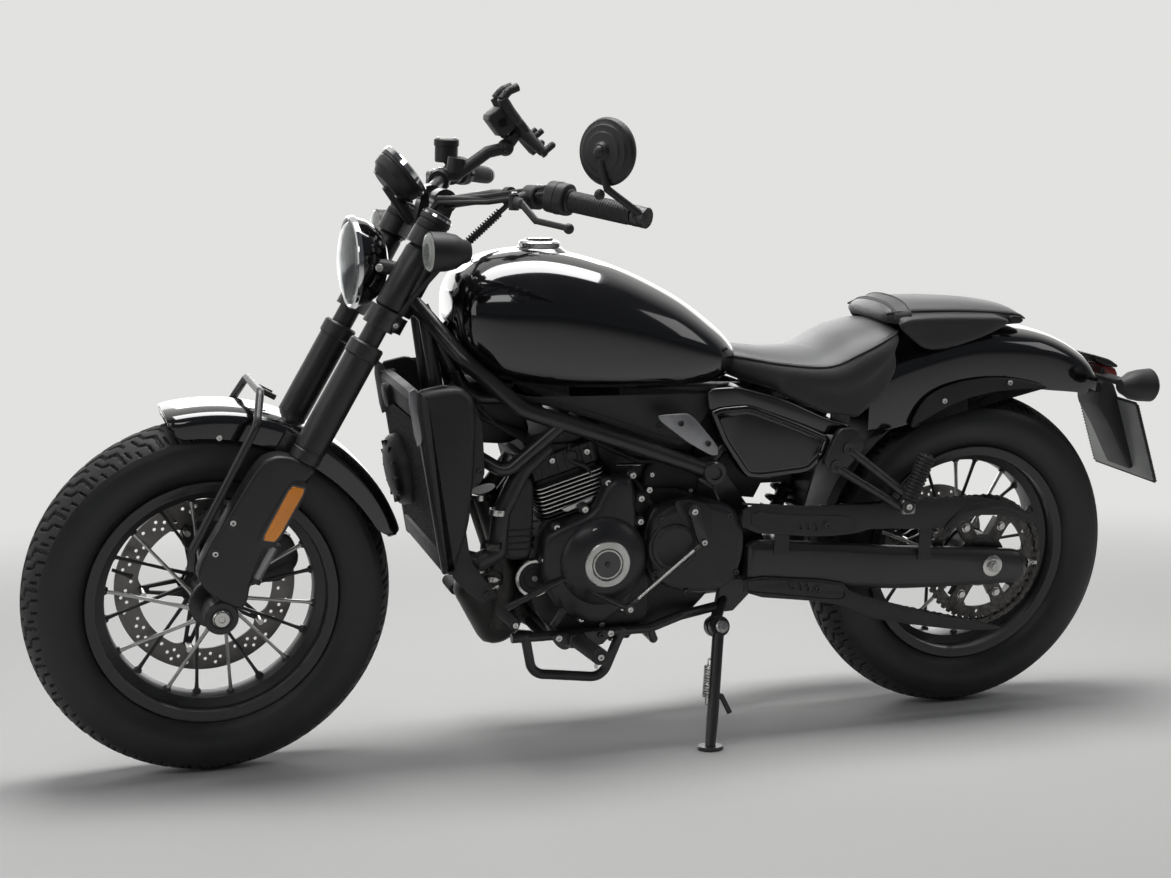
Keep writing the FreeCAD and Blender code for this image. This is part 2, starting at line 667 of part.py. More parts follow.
def engine_covers():
    y = CASE_HALF + CONTACT_GAP
    cx, cz = CRANK_C
    chain_side = CHAIN_Y + CHAIN_W / 2 + 3
    left = join([
        slab(GENERATOR_OUTLINE, y, COVER_OUT - 5),
        lathe(V(cx, COVER_OUT - 5, cz), V(0, 1, 0),
              [(-2, 0), (-2, 78), (14, 70), (24, 48), (26, 44), (26, 0)]),
        slab(SPROCKET_OUTLINE, chain_side, COVER_OUT),
        slab(((724, 406), (706, 472), (698, 474), (698, 328), (702, 329)), y, COVER_OUT),
        lathe(V(672, COVER_OUT, 392), V(0, 1, 0), [(-2, 0), (-2, 46), (6, 40), (6, 0)]),
    ])
    right = join([
        slab(((905, 440), (915, 340), (860, 262), (700, 250), (620, 300), (600, 400), (640, 480),
              (780, 500)), -COVER_OUT, -y),
        lathe(V(740, -COVER_OUT, 370), V(0, -1, 0), [(-2, 0), (-2, 88), (16, 80), (22, 60), (22, 0)]),
    ])
    return Part.makeCompound([left.cut(engine_shape), right.cut(engine_shape)])


RADIATOR_HALF = 150.0
CORE_FACE = outline_behind(((331, 690), (387, 372)))
RIB_COUNT = 14
RIB_PITCH = 15.5


def radiator():
    """Core with its cooling ribs, top and bottom tanks, lugs and the round fan housing in front."""
    top, low = CORE_FACE
    core = slab((top, low, (low[0] - 28, low[1] + 5), (top[0] - 28, top[1] + 5)),
                -RADIATOR_HALF, RADIATOR_HALF)
    lug = box(low[0] - 54, low[0] + 16, 84, 104, 590, 606)
    along = V(low[0] - top[0], 0, low[1] - top[1]).normalize()
    ahead = V(-along.z, 0, along.x)
    pieces = [core, both(lug)]
    tanks = ((top, (top[0] - 8, top[1] - 45)), ((low[0] + 8, low[1] + 45), low))
    for (x0, z0), (x1, z1) in tanks:
        outline = ((x0 - 3, z0), (x0 + 4, z0 - 1), (x1 + 4, z1 - 1), (x1 - 3, z1))
        pieces.append(slab(outline, -RADIATOR_HALF + 6, RADIATOR_HALF - 6))
    for i in range(RIB_COUNT):
        p = V(top[0] - 8, 0, top[1] - 45) + along * (RIB_PITCH * (i + 1))
        q = p + along * 4
        rib = ((p.x - 1, p.z), (p.x + 3.5, p.z - 0.6), (q.x + 3.5, q.z - 0.6), (q.x - 1, q.z))
        pieces.append(slab(rib, -RADIATOR_HALF + 8, RADIATOR_HALF - 8))
    hub = V((top[0] + low[0]) / 2, -62, (top[1] + low[1]) / 2 - 11)
    pieces.append(lathe(hub, ahead, [(-4, 0), (-4, 66), (12, 66), (24, 54), (30, 30), (32, 0)]))
    return join(pieces).cut(frame_shape)


SHROUD_OUTLINE = outline_behind((
    (327, 704), (385, 716), (429, 690), (451, 640), (457, 545), (413, 512), (433, 400), (485, 330),
    (455, 318), (395, 372)))
SHROUD_OUT = 176.0


def radiator_shrouds():
    """Side scoops, full at the rear and drawn in at the front edge."""
    inner = RADIATOR_HALF + CONTACT_GAP
    full = slab(SHROUD_OUTLINE, inner, SHROUD_OUT)
    front_edge = outline_behind(((315, 720), (377, 366), (397, 366), (353, 640), (357, 720)))
    nose = slab(front_edge, SHROUD_OUT - 9, SHROUD_OUT + 2)
    return both(full.cut(nose))


def coolant_hoses():
    hose = pipe([V(900, 96, 585), behind(519, 104, 566), behind(485, 138, 480), behind(473, 140, 400),
                 behind(485, 120, 345), behind(393, 100, 400)], 13, 24)
    return hose.cut(radiator()).cut(engine_shape).cut(frame_shape)


def front_fittings():
    """Ribbed canister, horn and their stays, ahead of the cylinder."""
    canister = [slab(((936, 534), (968, 538), (984, 520), (984, 400), (972, 384), (938, 384), (928, 398),
                      (928, 520)), 96, 124)]
    for z in (402, 414, 426):
        canister.append(box(926, 986, 94, 126, z, z + 5))
    stay = box(915, 940, 98, 110, 425, 450)
    horn = lathe(V(924, 118, 348), V(0, 1, 0), [(-26, 0), (-26, 22), (-12, 30), (0, 34), (3, 34), (3, 0)])
    bracket = box(918, 932, 100, 112, 345, 400)
    lump = join(canister + [stay, horn, bracket])
    return lump.cut(engine_shape).cut(coolant_hoses()).cut(engine_covers())


def exhaust():
    """Two header pipes into a collector, a link under the case and the silencer on the right."""
    out = []
    for side in SIDES:
        y = side * 45
        out.append(pipe([V(905, y, 560), V(1006, y, 520), V(1012, y * 0.8, 330), V(950, y * 0.6, 216),
                         V(800, -40 + y * 0.5, 180)], 20, 48))
    collector = cyl(V(1004, -6, 318), V(944, -12, 208), 46)
    link = pipe([V(820, -46, 178), V(590, -110, 190), V(450, -208, 262), V(380, -214, 276)], 30, 60)
    can = lathe(V(420, -214, 276), V(-1, 0, 0.1), [(0, 0), (0, 34), (26, 50), (380, 54), (400, 46),
                                                   (400, 30), (330, 30), (330, 0)])
    return join(out + [collector, link, can]).cut(engine_shape)


TANK_ROWS = (
    (1062, 796, 830, 860, 34, 66),
    (1040, 752, 820, 893, 62, 110),
    (985, 712, 808, 923, 84, 136),
    (890, 696, 800, 930, 98, 147),
    (770, 690, 780, 903, 98, 145),
    (650, 688, 752, 852, 88, 127),
    (565, 694, 735, 794, 66, 96),
    (520, 716, 734, 752, 34, 50),
)


CAP_Z = 932.5


def fuel_tank():
    neck = cyl(V(893, 0, 900), V(893, 0, CAP_Z), 40)
    saddles = [box(870, 904, 62, 86, 664, 712), box(690, 720, 76, 88, 656, 708)]
    return join([loft_x(TANK_ROWS), neck] + [both(s.cut(frame_shape)) for s in saddles])


def filler_cap():
    return lathe(V(893, 0, CAP_Z + CONTACT_GAP), V(0, 0, 1),
                 [(0, 0), (0, 38), (9, 38), (11, 34), (16, 12), (16, 0)])


def side_panels():
    outline = ((985, 706), (930, 690), (575, 689), (575, 668), (640, 575), (700, 590), (783, 622), (880, 655),
               (950, 672))
    plate = slab(outline, 104, 108)
    studs = [cyl(V(x, 90, z), V(x, 106, z), 9) for x, z in ((860, 664), (620, 652))]
    return both(join([plate] + studs).cut(frame_shape))


def gusset_plates():
    outline = ((712, 624), (668, 630), (622, 618), (590, 580), (592, 548), (612, 540), (650, 558))
    return both(slab(outline, SPAR_HALF + 16.3, SPAR_HALF + 22))


SIDE_COVER_OUT = 132.0


def side_covers():
    """Covers with a raised border round a recessed panel."""
    outline = ((600, 644), (578, 652), (520, 655), (417, 616), (352, 588), (362, 554), (395, 522),
               (493, 514), (523, 518), (572, 585))
    panel = ((586, 636), (520, 643), (422, 606), (368, 582), (374, 558), (400, 533), (492, 525), (516, 528),
             (560, 588))
    stud = cyl(V(515, 92, 636), V(515, 112, 636), 9)
    band = ((604, 686), (545, 688), (448, 662), (358, 622), (318, 612), (306, 600), (352, 588), (417, 614),
            (520, 650), (600, 640))
    cover = slab(outline, 108.3, SIDE_COVER_OUT).cut(slab(panel, SIDE_COVER_OUT - 4, SIDE_COVER_OUT + 1))
    return both(join([cover, slab(band, 108.3, SIDE_COVER_OUT - 8), stud]).cut(frame_shape))


SEAT_ROWS = (
    (560, 716, 726, 738, 28, 42),
    (525, 694, 716, 748, 54, 72),
    (445, 672, 700, 742, 84, 106),
    (360, 664, 694, 745, 104, 132),
    (300, 676, 704, 776, 108, 138),
    (240, 722, 740, 792, 98, 128),
    (200, 762, 772, 790, 66, 92),
)


# x, low edge, top edge and outer half width of the skirt beside the frame rails
SKIRT_ROWS = ((455, 668, 700, 108), (360, 631, 696, 130), (300, 622, 706, 134), (240, 652, 732, 126),
              (210, 698, 738, 110))
SKIRT_IN = 105.0


def rider_seat():
    seat = loft_x(SEAT_ROWS).cut(loft_x(TANK_ROWS))
    wires = []
    for x, low, top, out in SKIRT_ROWS:
        ring = [V(x, SKIRT_IN, low), V(x, out, low), V(x, out, top), V(x, SKIRT_IN - 12, top)]
        wires.append(Part.makePolygon(ring + ring[:1]))
    skirt = Part.makeLoft(wires, True, True)
    return join([seat, skirt, mirror_y(skirt)])


PAD_IN = 104.6
PILLION_ROWS = (
    (232, 796, 804, 816, 60, 82),
    (190, 790, 804, 832, 70, 96),
    (60, 785.5, 802, 832, 68, 94),
    (-50, 784.5, 796, 820, 60, 84),
    (-88, 786, 791, 798, 44, 64),
)


PAD_SIDE = ((-30, 792), (20, 768), (100, 744), (150, 740), (186, 764), (222, 796), (190, 806), (-20, 804))


def pillion_seat():
    """Pad with sides that come down over the fender's shoulders."""
    sides = slab(PAD_SIDE, PAD_IN, PAD_IN + 8).fuse(box(0, 190, 80, PAD_IN + 2, 790, 803))
    return join([loft_x(PILLION_ROWS), sides, mirror_y(sides)])


REAR_FENDER_ROWS = (
    (262, 590, 664, 688, 100),
    (190, 598, 696, 738, 102),
    (60, 644, 728, 781, 104),
    (-60, 662, 730, 781, 104),
    (-150, 656, 716, 764, 98),
    (-235, 646, 680, 720, 82),
    (-292, 640, 650, 664, 44),
)


def rear_fender():
    wires = []
    for x, skirt, shoulder, top, half in REAR_FENDER_ROWS:
        wire = arch_face(half, skirt, shoulder, top, 4)
        wire.translate(V(x, 0, 0))
        wires.append(wire)
    return Part.makeLoft(wires, True, False)


def fender_struts():
    outline = ((180, 598), (150, 656), (84, 685), (-17, 693), (-120, 672), (-117, 660), (-20, 660),
               (46, 650), (110, 628), (166, 592))
    return both(slab(outline, 105, 114))


TAIL_X = -292.0 - CONTACT_GAP


def tail_lamps():
    lamp = slab(((-262, 718), (-308, 706), (-330, 692), (-332, 668), (TAIL_X, 664), (TAIL_X, 680),
                 (-274, 702)), -42, 42)
    bar = cyl(V(-300, -130, 670), V(-300, 130, 670), 9)
    profile = [(-44, 0), (-44, 12), (-20, 26), (24, 33), (32, 28), (32, 0)]
    balls = [lathe(V(-300, side * 150, 672), V(-1, 0, 0), profile)
             for side in SIDES]
    return join([lamp, bar] + balls)


def plate_holder():
    stay = slab(((TAIL_X, 660), (-322, 660), (-350, 600), (-392, 470), (-380, 466), (-330, 560),
                 (TAIL_X, 610)), -40, 40)
    plate = slab(((-332, 626), (-338, 628), (-402, 460), (-396, 458)), -105, 105)
    return join([stay, plate])


def swingarm():
    x, z = SWING_PIVOT
    axle = REAR_TYRE_R
    beam = ((x + 15, z + 50), (x - 152, z + 36), (204, axle + 47), (40, axle + 35), (-62, axle + 25),
            (-84, axle + 7), (-84, axle - 27), (-62, axle - 41), (43, axle - 41), (198, axle - 37),
            (x - 158, z - 50), (x + 15, z - 38))
    arms = []
    for side in SIDES:
        y0, y1 = sorted((side * 126, side * 152))
        arm = slab(beam, y0, y1)
        arm = arm.cut(cyl(V(0, -200, REAR_TYRE_R), V(0, 200, REAR_TYRE_R), REAR_AXLE_R))
        arms.append(arm)
    inner = PIVOT_PLATE[0] - CONTACT_GAP
    cross = cyl(V(x, -inner, z), V(x, inner, z), 28)
    neck = box(430, x, -60, 60, z - 22, z + 22)
    yoke = box(400, 440, -130, 130, z - 24, z + 22)
    bolt = cyl(V(x, -inner - 1, z), V(x, inner + 1, z), SWING_BOLT_R + CONTACT_GAP)
    return join(arms + [cross, neck, yoke]).cut(bolt)


def rear_axle():
    return join([
        cyl(REAR_AXLE + V(0, -160, 0), REAR_AXLE + V(0, 160, 0), REAR_AXLE_R),
        cyl(REAR_AXLE + V(0, 152, 0), REAR_AXLE + V(0, 168, 0), 17),
        cyl(REAR_AXLE + V(0, -168, 0), REAR_AXLE + V(0, -152, 0), 17),
    ])


def rear_shock():
    a, b = V(420, 0, 380), V(SHOCK_TOP[0], 0, SHOCK_TOP[1])
    d = (b - a).normalize()
    seat_z = SWING_PIVOT[1] + 22 + CONTACT_GAP
    body = cyl(a, b - d * 14, 14).cut(box(350, 500, -40, 40, 300, seat_z))
    coil = cyl(a + d * 42, b - d * 40, 28)
    eye = tube(b - V(0, 15, 0), b + V(0, 15, 0), 19, 9 + CONTACT_GAP)
    return join([body, coil, eye])


GUARD_Y = (152.3, 157.0)


def chain_guards():
    upper = join([
        slab(((540, 476), (420, 462), (274, 458), (129, 463), (49, 462), (-31, 446), (-97, 412),
              (-96, 400), (-10, 425), (46, 428), (99, 411), (123, 404), (271, 414), (302, 406),
              (375, 402), (540, 420)), *GUARD_Y),
        box(440, 470, GUARD_Y[0], GUARD_Y[1], 372, 430),
        box(140, 166, GUARD_Y[0], GUARD_Y[1], 340, 430),
    ])
    lower = slab(((530, 338), (328, 315), (305, 290), (196, 257), (106, 230), (-30, 199), (-32, 190),
                  (59, 196), (160, 214), (259, 235), (335, 272), (530, 297)), *GUARD_Y)
    return Part.makeCompound([upper, lower])


def drive_chain():
    cx, cz, r0 = DRIVE_SPROCKET
    y0, y1 = CHAIN_Y - CHAIN_W / 2, CHAIN_Y + CHAIN_W / 2
    r1 = REAR_SPROCKET_R + CHAIN_H / 2 + 1

    def belt(a, b):
        d = math.hypot(cx, cz - REAR_TYRE_R)
        lead = math.atan2(cz - REAR_TYRE_R, cx)
        spread = math.acos((a - b) / d)
        pts = []
        for sign in (1, -1):
            ang = lead + sign * spread
            pts.append((V(a * math.cos(ang), y0, REAR_TYRE_R + a * math.sin(ang)),
                        V(cx + b * math.cos(ang), y0, cz + b * math.sin(ang))))
        back = V(-a * math.cos(lead), y0, REAR_TYRE_R - a * math.sin(lead))
        nose = V(cx + b * math.cos(lead), y0, cz + b * math.sin(lead))
        wire = Part.Wire([
            Part.LineSegment(pts[0][0], pts[0][1]).toShape(),
            Part.Arc(pts[0][1], nose, pts[1][1]).toShape(),
            Part.LineSegment(pts[1][1], pts[1][0]).toShape(),
            Part.Arc(pts[1][0], back, pts[0][0]).toShape(),
        ])
        return Part.Face(wire).extrude(V(0, y1 - y0, 0))
    return belt(r1 + CHAIN_H / 2, r0 + CHAIN_H).cut(belt(r1 - CHAIN_H / 2, r0))


def foot_controls():
    pegs = []
    for side in SIDES:
        plate = slab(((900, 246), (870, 222), (800, 216), (770, 246)),
                     *sorted((side * (RAIL_HALF + 9.3), side * (RAIL_HALF + 17))))
        peg = cyl(V(848, side * (RAIL_HALF + 10), 234), V(842, side * 262, 240), 14)
        pegs.append(join([plate, peg]))
    lever = join([
        cyl(V(640, COVER_OUT + CONTACT_GAP, 470), V(640, 174, 470), 12),
        cyl(V(640, 168, 470), V(618, 168, 410), 8),
        cyl(V(618, 168, 410), V(760, 168, 296), 4),
        cyl(V(760, 172, 296), V(1000, 168, 306), 7),
        cyl(V(1000, 160, 306), V(990, 232, 300), 9),
    ])
    pedal = join([
        cyl(V(890, -138.3, 236), V(890, -172, 236), 10),
        cyl(V(890, -166, 236), V(1000, -166, 250), 8),
        cyl(V(1000, -160, 250), V(1000, -225, 250), 11),
    ])
    return Part.makeCompound(pegs + [lever, pedal])


def pillion_pegs():
    lump = join([
        slab(((340, 558), (340, 648), (302, 648), (302, 558)), 94, 101).cut(frame_shape),
        cyl(V(322, 100, 572), V(322, 135, 572), 10),
        slab(((372, 560), (330, 596), (300, 560), (330, 516), (368, 520)), 133, 150),
        cyl(V(346, 142, 536), V(212, 174, 458), 9),
        cyl(V(312, 142, 566), V(216, 174, 476), 9),
        cyl(V(212, 164, 464), V(212, 190, 464), 15),
        cyl(V(214, 184, 452), V(176, 184, 556), 12),
    ])
    return both(lump)


def rear_caliper():
    y = REAR_DISC_Y
    outline = ((60, 385), (116, 372), (130, 410), (88, 442), (50, 425))
    body = slab(outline, y - 22, y + 14)
    slot = tube(REAR_AXLE + V(0, y - 5, 0), REAR_AXLE + V(0, y + 5, 0), REAR_DISC_R + 5, 1)
    arm = slab(((90, 372), (110, 340), (150, 345), (125, 400)), -126, y - 12)
    return join([body, arm]).cut(slot)


def side_stand():
    p, n = STAND_PIVOT, STAND_AXIS
    foot = V(STAND_FOOT_X, STAND_FOOT_Y, floor_height(STAND_FOOT_X, STAND_FOOT_Y))
    up = V(0, -math.sin(LEAN), math.cos(LEAN))
    top = p + n * (STAND_EYE_W / 2)
    pad = cyl(foot, foot + up * 7, 24)
    leg = cyl(foot + up * 5, top, STAND_TUBE_R)
    eye = cyl(p, p + n * STAND_EYE_W, STAND_EYE_R)
    tang = pipe([foot + (top - foot) * 0.45, V(572, 192, 132), V(566, 204, 90)], 5, 10)
    stand = join([pad, leg, eye, tang])
    return stand.cut(cyl(p - n * 5, p + n * (STAND_EYE_W + 5), STAND_BOLT_R + RUNNING_GAP)).cut(
        tube(p - n * 20, p, 30, 0.1)).cut(tube(p + n * STAND_EYE_W, p + n * 45, 30, 0.1))


def battery_box():
    """Box behind the side covers, on the frame's cross tubes."""
    outline = ((598, 628), (560, 636), (462, 606), (446, 520), (476, 462), (540, 470), (598, 520))
    return slab(outline, -62, 62).cut(frame_shape).cut(engine_shape)


NODES = []


def add(name, shape, steered=False):
    NODES.append((name, shape, steered))


frame_shape = frame()
engine_shape = engine()
exhaust_shape = exhaust()
grip_pair, end_pair = grips()
add("frame", frame_shape.copy())
add("lower_loop", lower_loop())
add("engine", engine_shape.copy())
add("engine_covers", engine_covers())
add("radiator", radiator())
add("radiator_shrouds", radiator_shrouds())
add("coolant_hoses", coolant_hoses())
add("front_fittings", front_fittings())
add("exhaust", exhaust_shape.copy())
add("fuel_tank", fuel_tank())
add("filler_cap", filler_cap())
add("side_panels", side_panels())
add("gusset_plates", gusset_plates())
add("side_covers", side_covers())
add("battery_box", battery_box())
add("rider_seat", rider_seat())
add("pillion_seat", pillion_seat())
add("rear_fender", rear_fender())
add("fender_struts", fender_struts())
add("tail_lamps", tail_lamps())
add("plate_holder", plate_holder())
add("swingarm", swingarm())
add("rear_axle", rear_axle())
add("rear_shock", rear_shock())
add("chain_guards", chain_guards())
add("drive_chain", drive_chain())
add("foot_controls", foot_controls())
add("pillion_pegs", pillion_pegs())
add("rear_caliper", rear_caliper())
add("side_stand", side_stand())
add("fork_clamps", fork_clamps(), True)
add("fork_tubes", fork_tubes(), True)
add("fork_lowers", fork_lowers(), True)
add("fork_reflectors", fork_reflectors(), True)
add("front_axle", front_axle(), True)
add("front_fender", front_fender(), True)
add("fender_stay", fender_stay(), True)
add("front_caliper", front_caliper(), True)
add("headlight", headlight(), True)
add("headlight_lens", headlight_lens(), True)
add("instrument", instrument(), True)
add("handlebar", handlebar(), True)
add("grips", Part.makeCompound([grip_pair, end_pair]), True)
add("bar_controls", bar_controls(), True)
add("mirror", mirror(), True)
add("phone_holder", phone_holder(), True)
add("front_signals", front_signals(), True)
add("control_cables", control_cables(), True)
add("front_tyre", tyre(FRONT_AXLE, FRONT_TYRE_R, FRONT_TYRE_HALF, FRONT_CROWN_R, FRONT_RIM_HALF), True)
add("front_wheel", cast_wheel(FRONT_AXLE, FRONT_RIM_HALF, FRONT_HUB_R, FRONT_HUB_HALF,
                              AXLE_R + RUNNING_GAP, -10.0), True)
add("front_disc", brake_disc(FRONT_AXLE, FRONT_DISC_Y, FRONT_DISC_R, FRONT_DISC_IN_R,
                             FRONT_HUB_HALF, 40, AXLE_R + 6), True)
add("rear_tyre", tyre(REAR_AXLE, REAR_TYRE_R, REAR_TYRE_HALF, REAR_CROWN_R, REAR_RIM_HALF))
add("rear_wheel", cast_wheel(REAR_AXLE, REAR_RIM_HALF, REAR_HUB_R, REAR_HUB_HALF,
                             REAR_AXLE_R + RUNNING_GAP, -4.0))
add("rear_sprocket", rear_sprocket())
add("rear_disc", brake_disc(REAR_AXLE, REAR_DISC_Y, REAR_DISC_R, REAR_DISC_IN_R,
                            REAR_HUB_HALF, 44, REAR_AXLE_R + 6))

for name, shape, steered in NODES:
    placed = park(steer(shape) if steered else shape)
    placed.exportStep("parts/" + name + ".step")
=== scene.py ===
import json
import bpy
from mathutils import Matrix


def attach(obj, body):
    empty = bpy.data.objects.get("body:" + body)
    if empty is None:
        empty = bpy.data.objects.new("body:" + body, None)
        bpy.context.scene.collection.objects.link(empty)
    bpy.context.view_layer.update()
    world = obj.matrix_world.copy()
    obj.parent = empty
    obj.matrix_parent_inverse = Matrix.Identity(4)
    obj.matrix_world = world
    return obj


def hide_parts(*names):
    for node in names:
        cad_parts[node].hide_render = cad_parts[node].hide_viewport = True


bl_info = {"name": "Cruiser Motorcycle", "version": (1, 0, 0),
    "blender": (4, 5, 0), "location": "3D View > Sidebar > Motorcycle",
    "description": "Finishes the solids of a parked cruiser motorcycle", "category": "Object",}

from math import acos, asin, atan, atan2, copysign, cos, degrees, exp, hypot, pi, radians, sin, sqrt, tan, tau

import bmesh
import bpy
import numpy as np
from mathutils import Matrix, Vector

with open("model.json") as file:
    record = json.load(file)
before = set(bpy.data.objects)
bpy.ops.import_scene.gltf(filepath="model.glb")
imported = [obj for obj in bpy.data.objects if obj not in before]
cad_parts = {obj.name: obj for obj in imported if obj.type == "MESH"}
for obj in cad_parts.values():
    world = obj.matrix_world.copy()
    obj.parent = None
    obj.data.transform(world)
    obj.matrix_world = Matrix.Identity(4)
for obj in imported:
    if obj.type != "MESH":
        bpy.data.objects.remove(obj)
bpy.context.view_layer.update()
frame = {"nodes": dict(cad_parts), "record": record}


def vec(*numbers):
    return Vector(numbers)


def unit(v):
    return v.normalized()


# Stance of the parked machine, in the millimetres of the upright one
WHEELBASE, RAKE, STEER, LEAN = 1485.0, radians(29.0), radians(2.4), radians(8.4)
ORIGIN_X, ORIGIN_Y = 701.5, 169.2
FRONT_R, FRONT_CROWN, REAR_R, REAR_CROWN = 320.0, 85.0, 323.0, 105.0
UP = vec(-sin(RAKE), 0, cos(RAKE))
AHEAD = vec(cos(RAKE), 0, sin(RAKE))
FRONT_AXLE, REAR_AXLE = vec(WHEELBASE, 0, FRONT_R), vec(0, 0, REAR_R)
STEM_BASE = FRONT_AXLE - AHEAD * 45.0


def move(v):
    return Matrix.Translation(Vector(v))


def stance():
    """Matrices from each drawing space, in millimetres, to the parked machine, in metres."""
    turn = move(STEM_BASE) @ Matrix.Rotation(STEER, 4, UP) @ move(-STEM_BASE)
    lean = Matrix.Rotation(-LEAN, 4, "X")

    def low(centre, axis, r, crown):
        return centre.z - (r - crown) * sqrt(1 - axis.z ** 2) - crown

    side = vec(0, 1, 0)
    front = lean @ turn @ FRONT_AXLE
    front_low = low(front, (lean @ turn).to_3x3() @ side, FRONT_R, FRONT_CROWN)
    rear = lean @ REAR_AXLE
    rear_low = low(rear, lean.to_3x3() @ side, REAR_R, REAR_CROWN)
    pitch = Matrix.Rotation(atan((front_low - rear_low) / (front.x - rear.x)), 4, "Y")
    body = Matrix.Scale(0.001, 4) @ move((-ORIGIN_X, -ORIGIN_Y, -rear_low)) @ pitch @ lean
    bars = body @ turn
    return {"bike": body, "bars": bars, "rear": body @ move(REAR_AXLE), "front": bars @ move(FRONT_AXLE),
        "fork": bars @ move(FRONT_AXLE) @ Matrix.Rotation(-RAKE, 4, "Y")}


SPACE = stance()


# Shape building, all in millimetres

class Shape:
    """Vertices and faces of one piece, with a finish for each face."""

    def __init__(self):
        self.verts, self.faces, self.finish, self.finishes = [], [], [], []

    def add(self, finish, *forms):
        if finish not in self.finishes:
            self.finishes.append(finish)
        for verts, faces in forms:
            start = sum(len(v) for v in self.verts)
            self.verts.append(np.asarray(verts, float).reshape(-1, 3))
            self.faces += [tuple(start + i for i in f) for f in faces]
            self.finish += [self.finishes.index(finish)] * len(faces)
        return self

    def bolts(self, rows, kind="socket", finish="bright steel"):
        return self.add(finish, bolts(rows, kind))

    def side_bolts(self, y, way, r, spots, finish="bright steel"):
        """Fasteners at each (x, z) of one level y, facing along Y the way given."""
        return self.bolts([((x, y, z), (0, way, 0), r) for x, z in spots], finish=finish)

    def repeat(self, form, matrices, finish):
        return self.add(finish, repeat(form, matrices, finish))


def grid_faces(rows, cols, close_rows=False, close_cols=True):
    faces = []
    for i in range(rows if close_rows else rows - 1):
        for j in range(cols if close_cols else cols - 1):
            a, b = i * cols + j, i * cols + (j + 1) % cols
            c, d = ((i + 1) % rows) * cols + (j + 1) % cols, ((i + 1) % rows) * cols + j
            faces.append((a, b, c, d))
    return faces


def loft(rings):
    """A closed skin through rings of points, its two ends filled in."""
    cols = len(rings[0])
    ends = [tuple(range(cols)), tuple(range((len(rings) - 1) * cols, len(rings) * cols))]
    return np.concatenate([np.asarray(r, float) for r in rings]), grid_faces(len(rings), cols) + ends


def axes_for(direction):
    """The unit direction and two axes across it, the first as near to +Y as it can be."""
    d = unit(Vector(direction))
    u = unit(vec(0, 1, 0) - d * d.y) if abs(d.y) < 0.999 else vec(1, 0, 0)
    return d, u, d.cross(u)


def lathe(base, direction, profile, steps, ring=False):
    """Profile of (along, radius). A ring profile is closed on itself, others end in caps."""
    d, u, w = axes_for(direction)
    base = Vector(base)
    verts = []
    for i in range(steps):
        a = tau * i / steps
        out = u * cos(a) + w * sin(a)
        verts += [base + d * t + out * r for t, r in profile]
    cols = len(profile)
    faces = grid_faces(steps, cols, True, ring)
    if not ring:
        if profile[0][1] > 1e-6:
            faces.append(tuple(i * cols for i in range(steps)))
        if profile[-1][1] > 1e-6:
            faces.append(tuple(i * cols + cols - 1 for i in range(steps)))
    return verts, faces


def rod(a, b, r, steps):
    a, b = Vector(a), Vector(b)
    return lathe(a, b - a, [(0, r), ((b - a).length, r)], steps)


def washer(a, b, r_out, r_in, steps=32):
    a, b = Vector(a), Vector(b)
    n = (b - a).length
    return lathe(a, b - a, [(0, r_in), (0, r_out), (n, r_out), (n, r_in)], steps, True)


def route(points, bend, step=12):
    """A polyline with its corners rounded to arcs of the radius given."""
    points = [Vector(p) for p in points]
    out = [points[0]]
    for before, corner, after in zip(points, points[1:], points[2:]):
        back, on = unit(before - corner), unit(after - corner)
        half = back.angle(on) / 2
        if half > radians(89.5):
            out.append(corner)
            continue
        reach = bend / tan(half)
        centre = corner + unit(back + on) * (bend / sin(half))
        p, q = corner + back * reach - centre, corner + on * reach - centre
        count = max(2, int(degrees(p.angle(q)) / step) + 1)
        out += [centre + p.slerp(q, i / count) for i in range(count + 1)]
    return out + [points[-1]]


def sweep(path, r, steps, flat=1.0, side=None):
    """A tube along a path; r is one radius or one for each point."""
    path = [Vector(p) for p in path]
    path = [p for i, p in enumerate(path) if i == 0 or (p - path[i - 1]).length > 1e-4]
    radii = list(r) if isinstance(r, (list, tuple)) else [r] * len(path)
    rings, u = [], None
    for i, p in enumerate(path):
        d = unit(path[min(i + 1, len(path) - 1)] - path[max(i - 1, 0)])
        if u is None:
            u = Vector(side) if side else axes_for(d)[1]
        u = unit(u - d * u.dot(d))
        w = d.cross(u)
        rings.append([p + (u * cos(a) + w * (flat * sin(a))) * radii[i]
            for a in (tau * k / steps for k in range(steps))])
    return loft(rings)


def plate(outline, y0, y1):
    """A flat plate from an outline of (x, z)."""
    return loft([[(x, y, z) for x, z in outline] for y in (y0, y1)])


def layers(outline, levels):
    """A plate built up in levels of (y, inset) of its outline."""
    return loft([[(x, y, z) for x, z in shrink(outline, by)] for y, by in levels])


def shrink(outline, by):
    """Outline of (x, z) moved inwards by the distance given."""
    pts = [Vector(p) for p in outline]
    area = sum(a.x * b.y - b.x * a.y for a, b in zip(pts, pts[1:] + pts[:1]))
    sign = 1 if area > 0 else -1
    out = []
    for i, p in enumerate(pts):
        e = unit(p - pts[i - 1])
        f = unit(pts[(i + 1) % len(pts)] - p)
        n, m = vec(-e.y, e.x) * sign, vec(-f.y, f.x) * sign
        k = n + m
        out.append(tuple(p + k * (by / max(0.35, 1 + n.dot(m)))))
    return out


def rounded(outline, rounds, keep):
    """Outline of (x, z) with its corners cut round."""
    pts = [Vector(p) for p in outline]
    for _ in range(rounds):
        pts = [q for a, b in zip(pts, pts[1:] + pts[:1]) for q in (a.lerp(b, keep), a.lerp(b, 1 - keep))]
    return [tuple(p) for p in pts]


def block(x0, x1, y0, y1, z0, z1):
    return loft([[(x, y0, z0), (x, y1, z0), (x, y1, z1), (x, y0, z1)] for x in (x0, x1)])


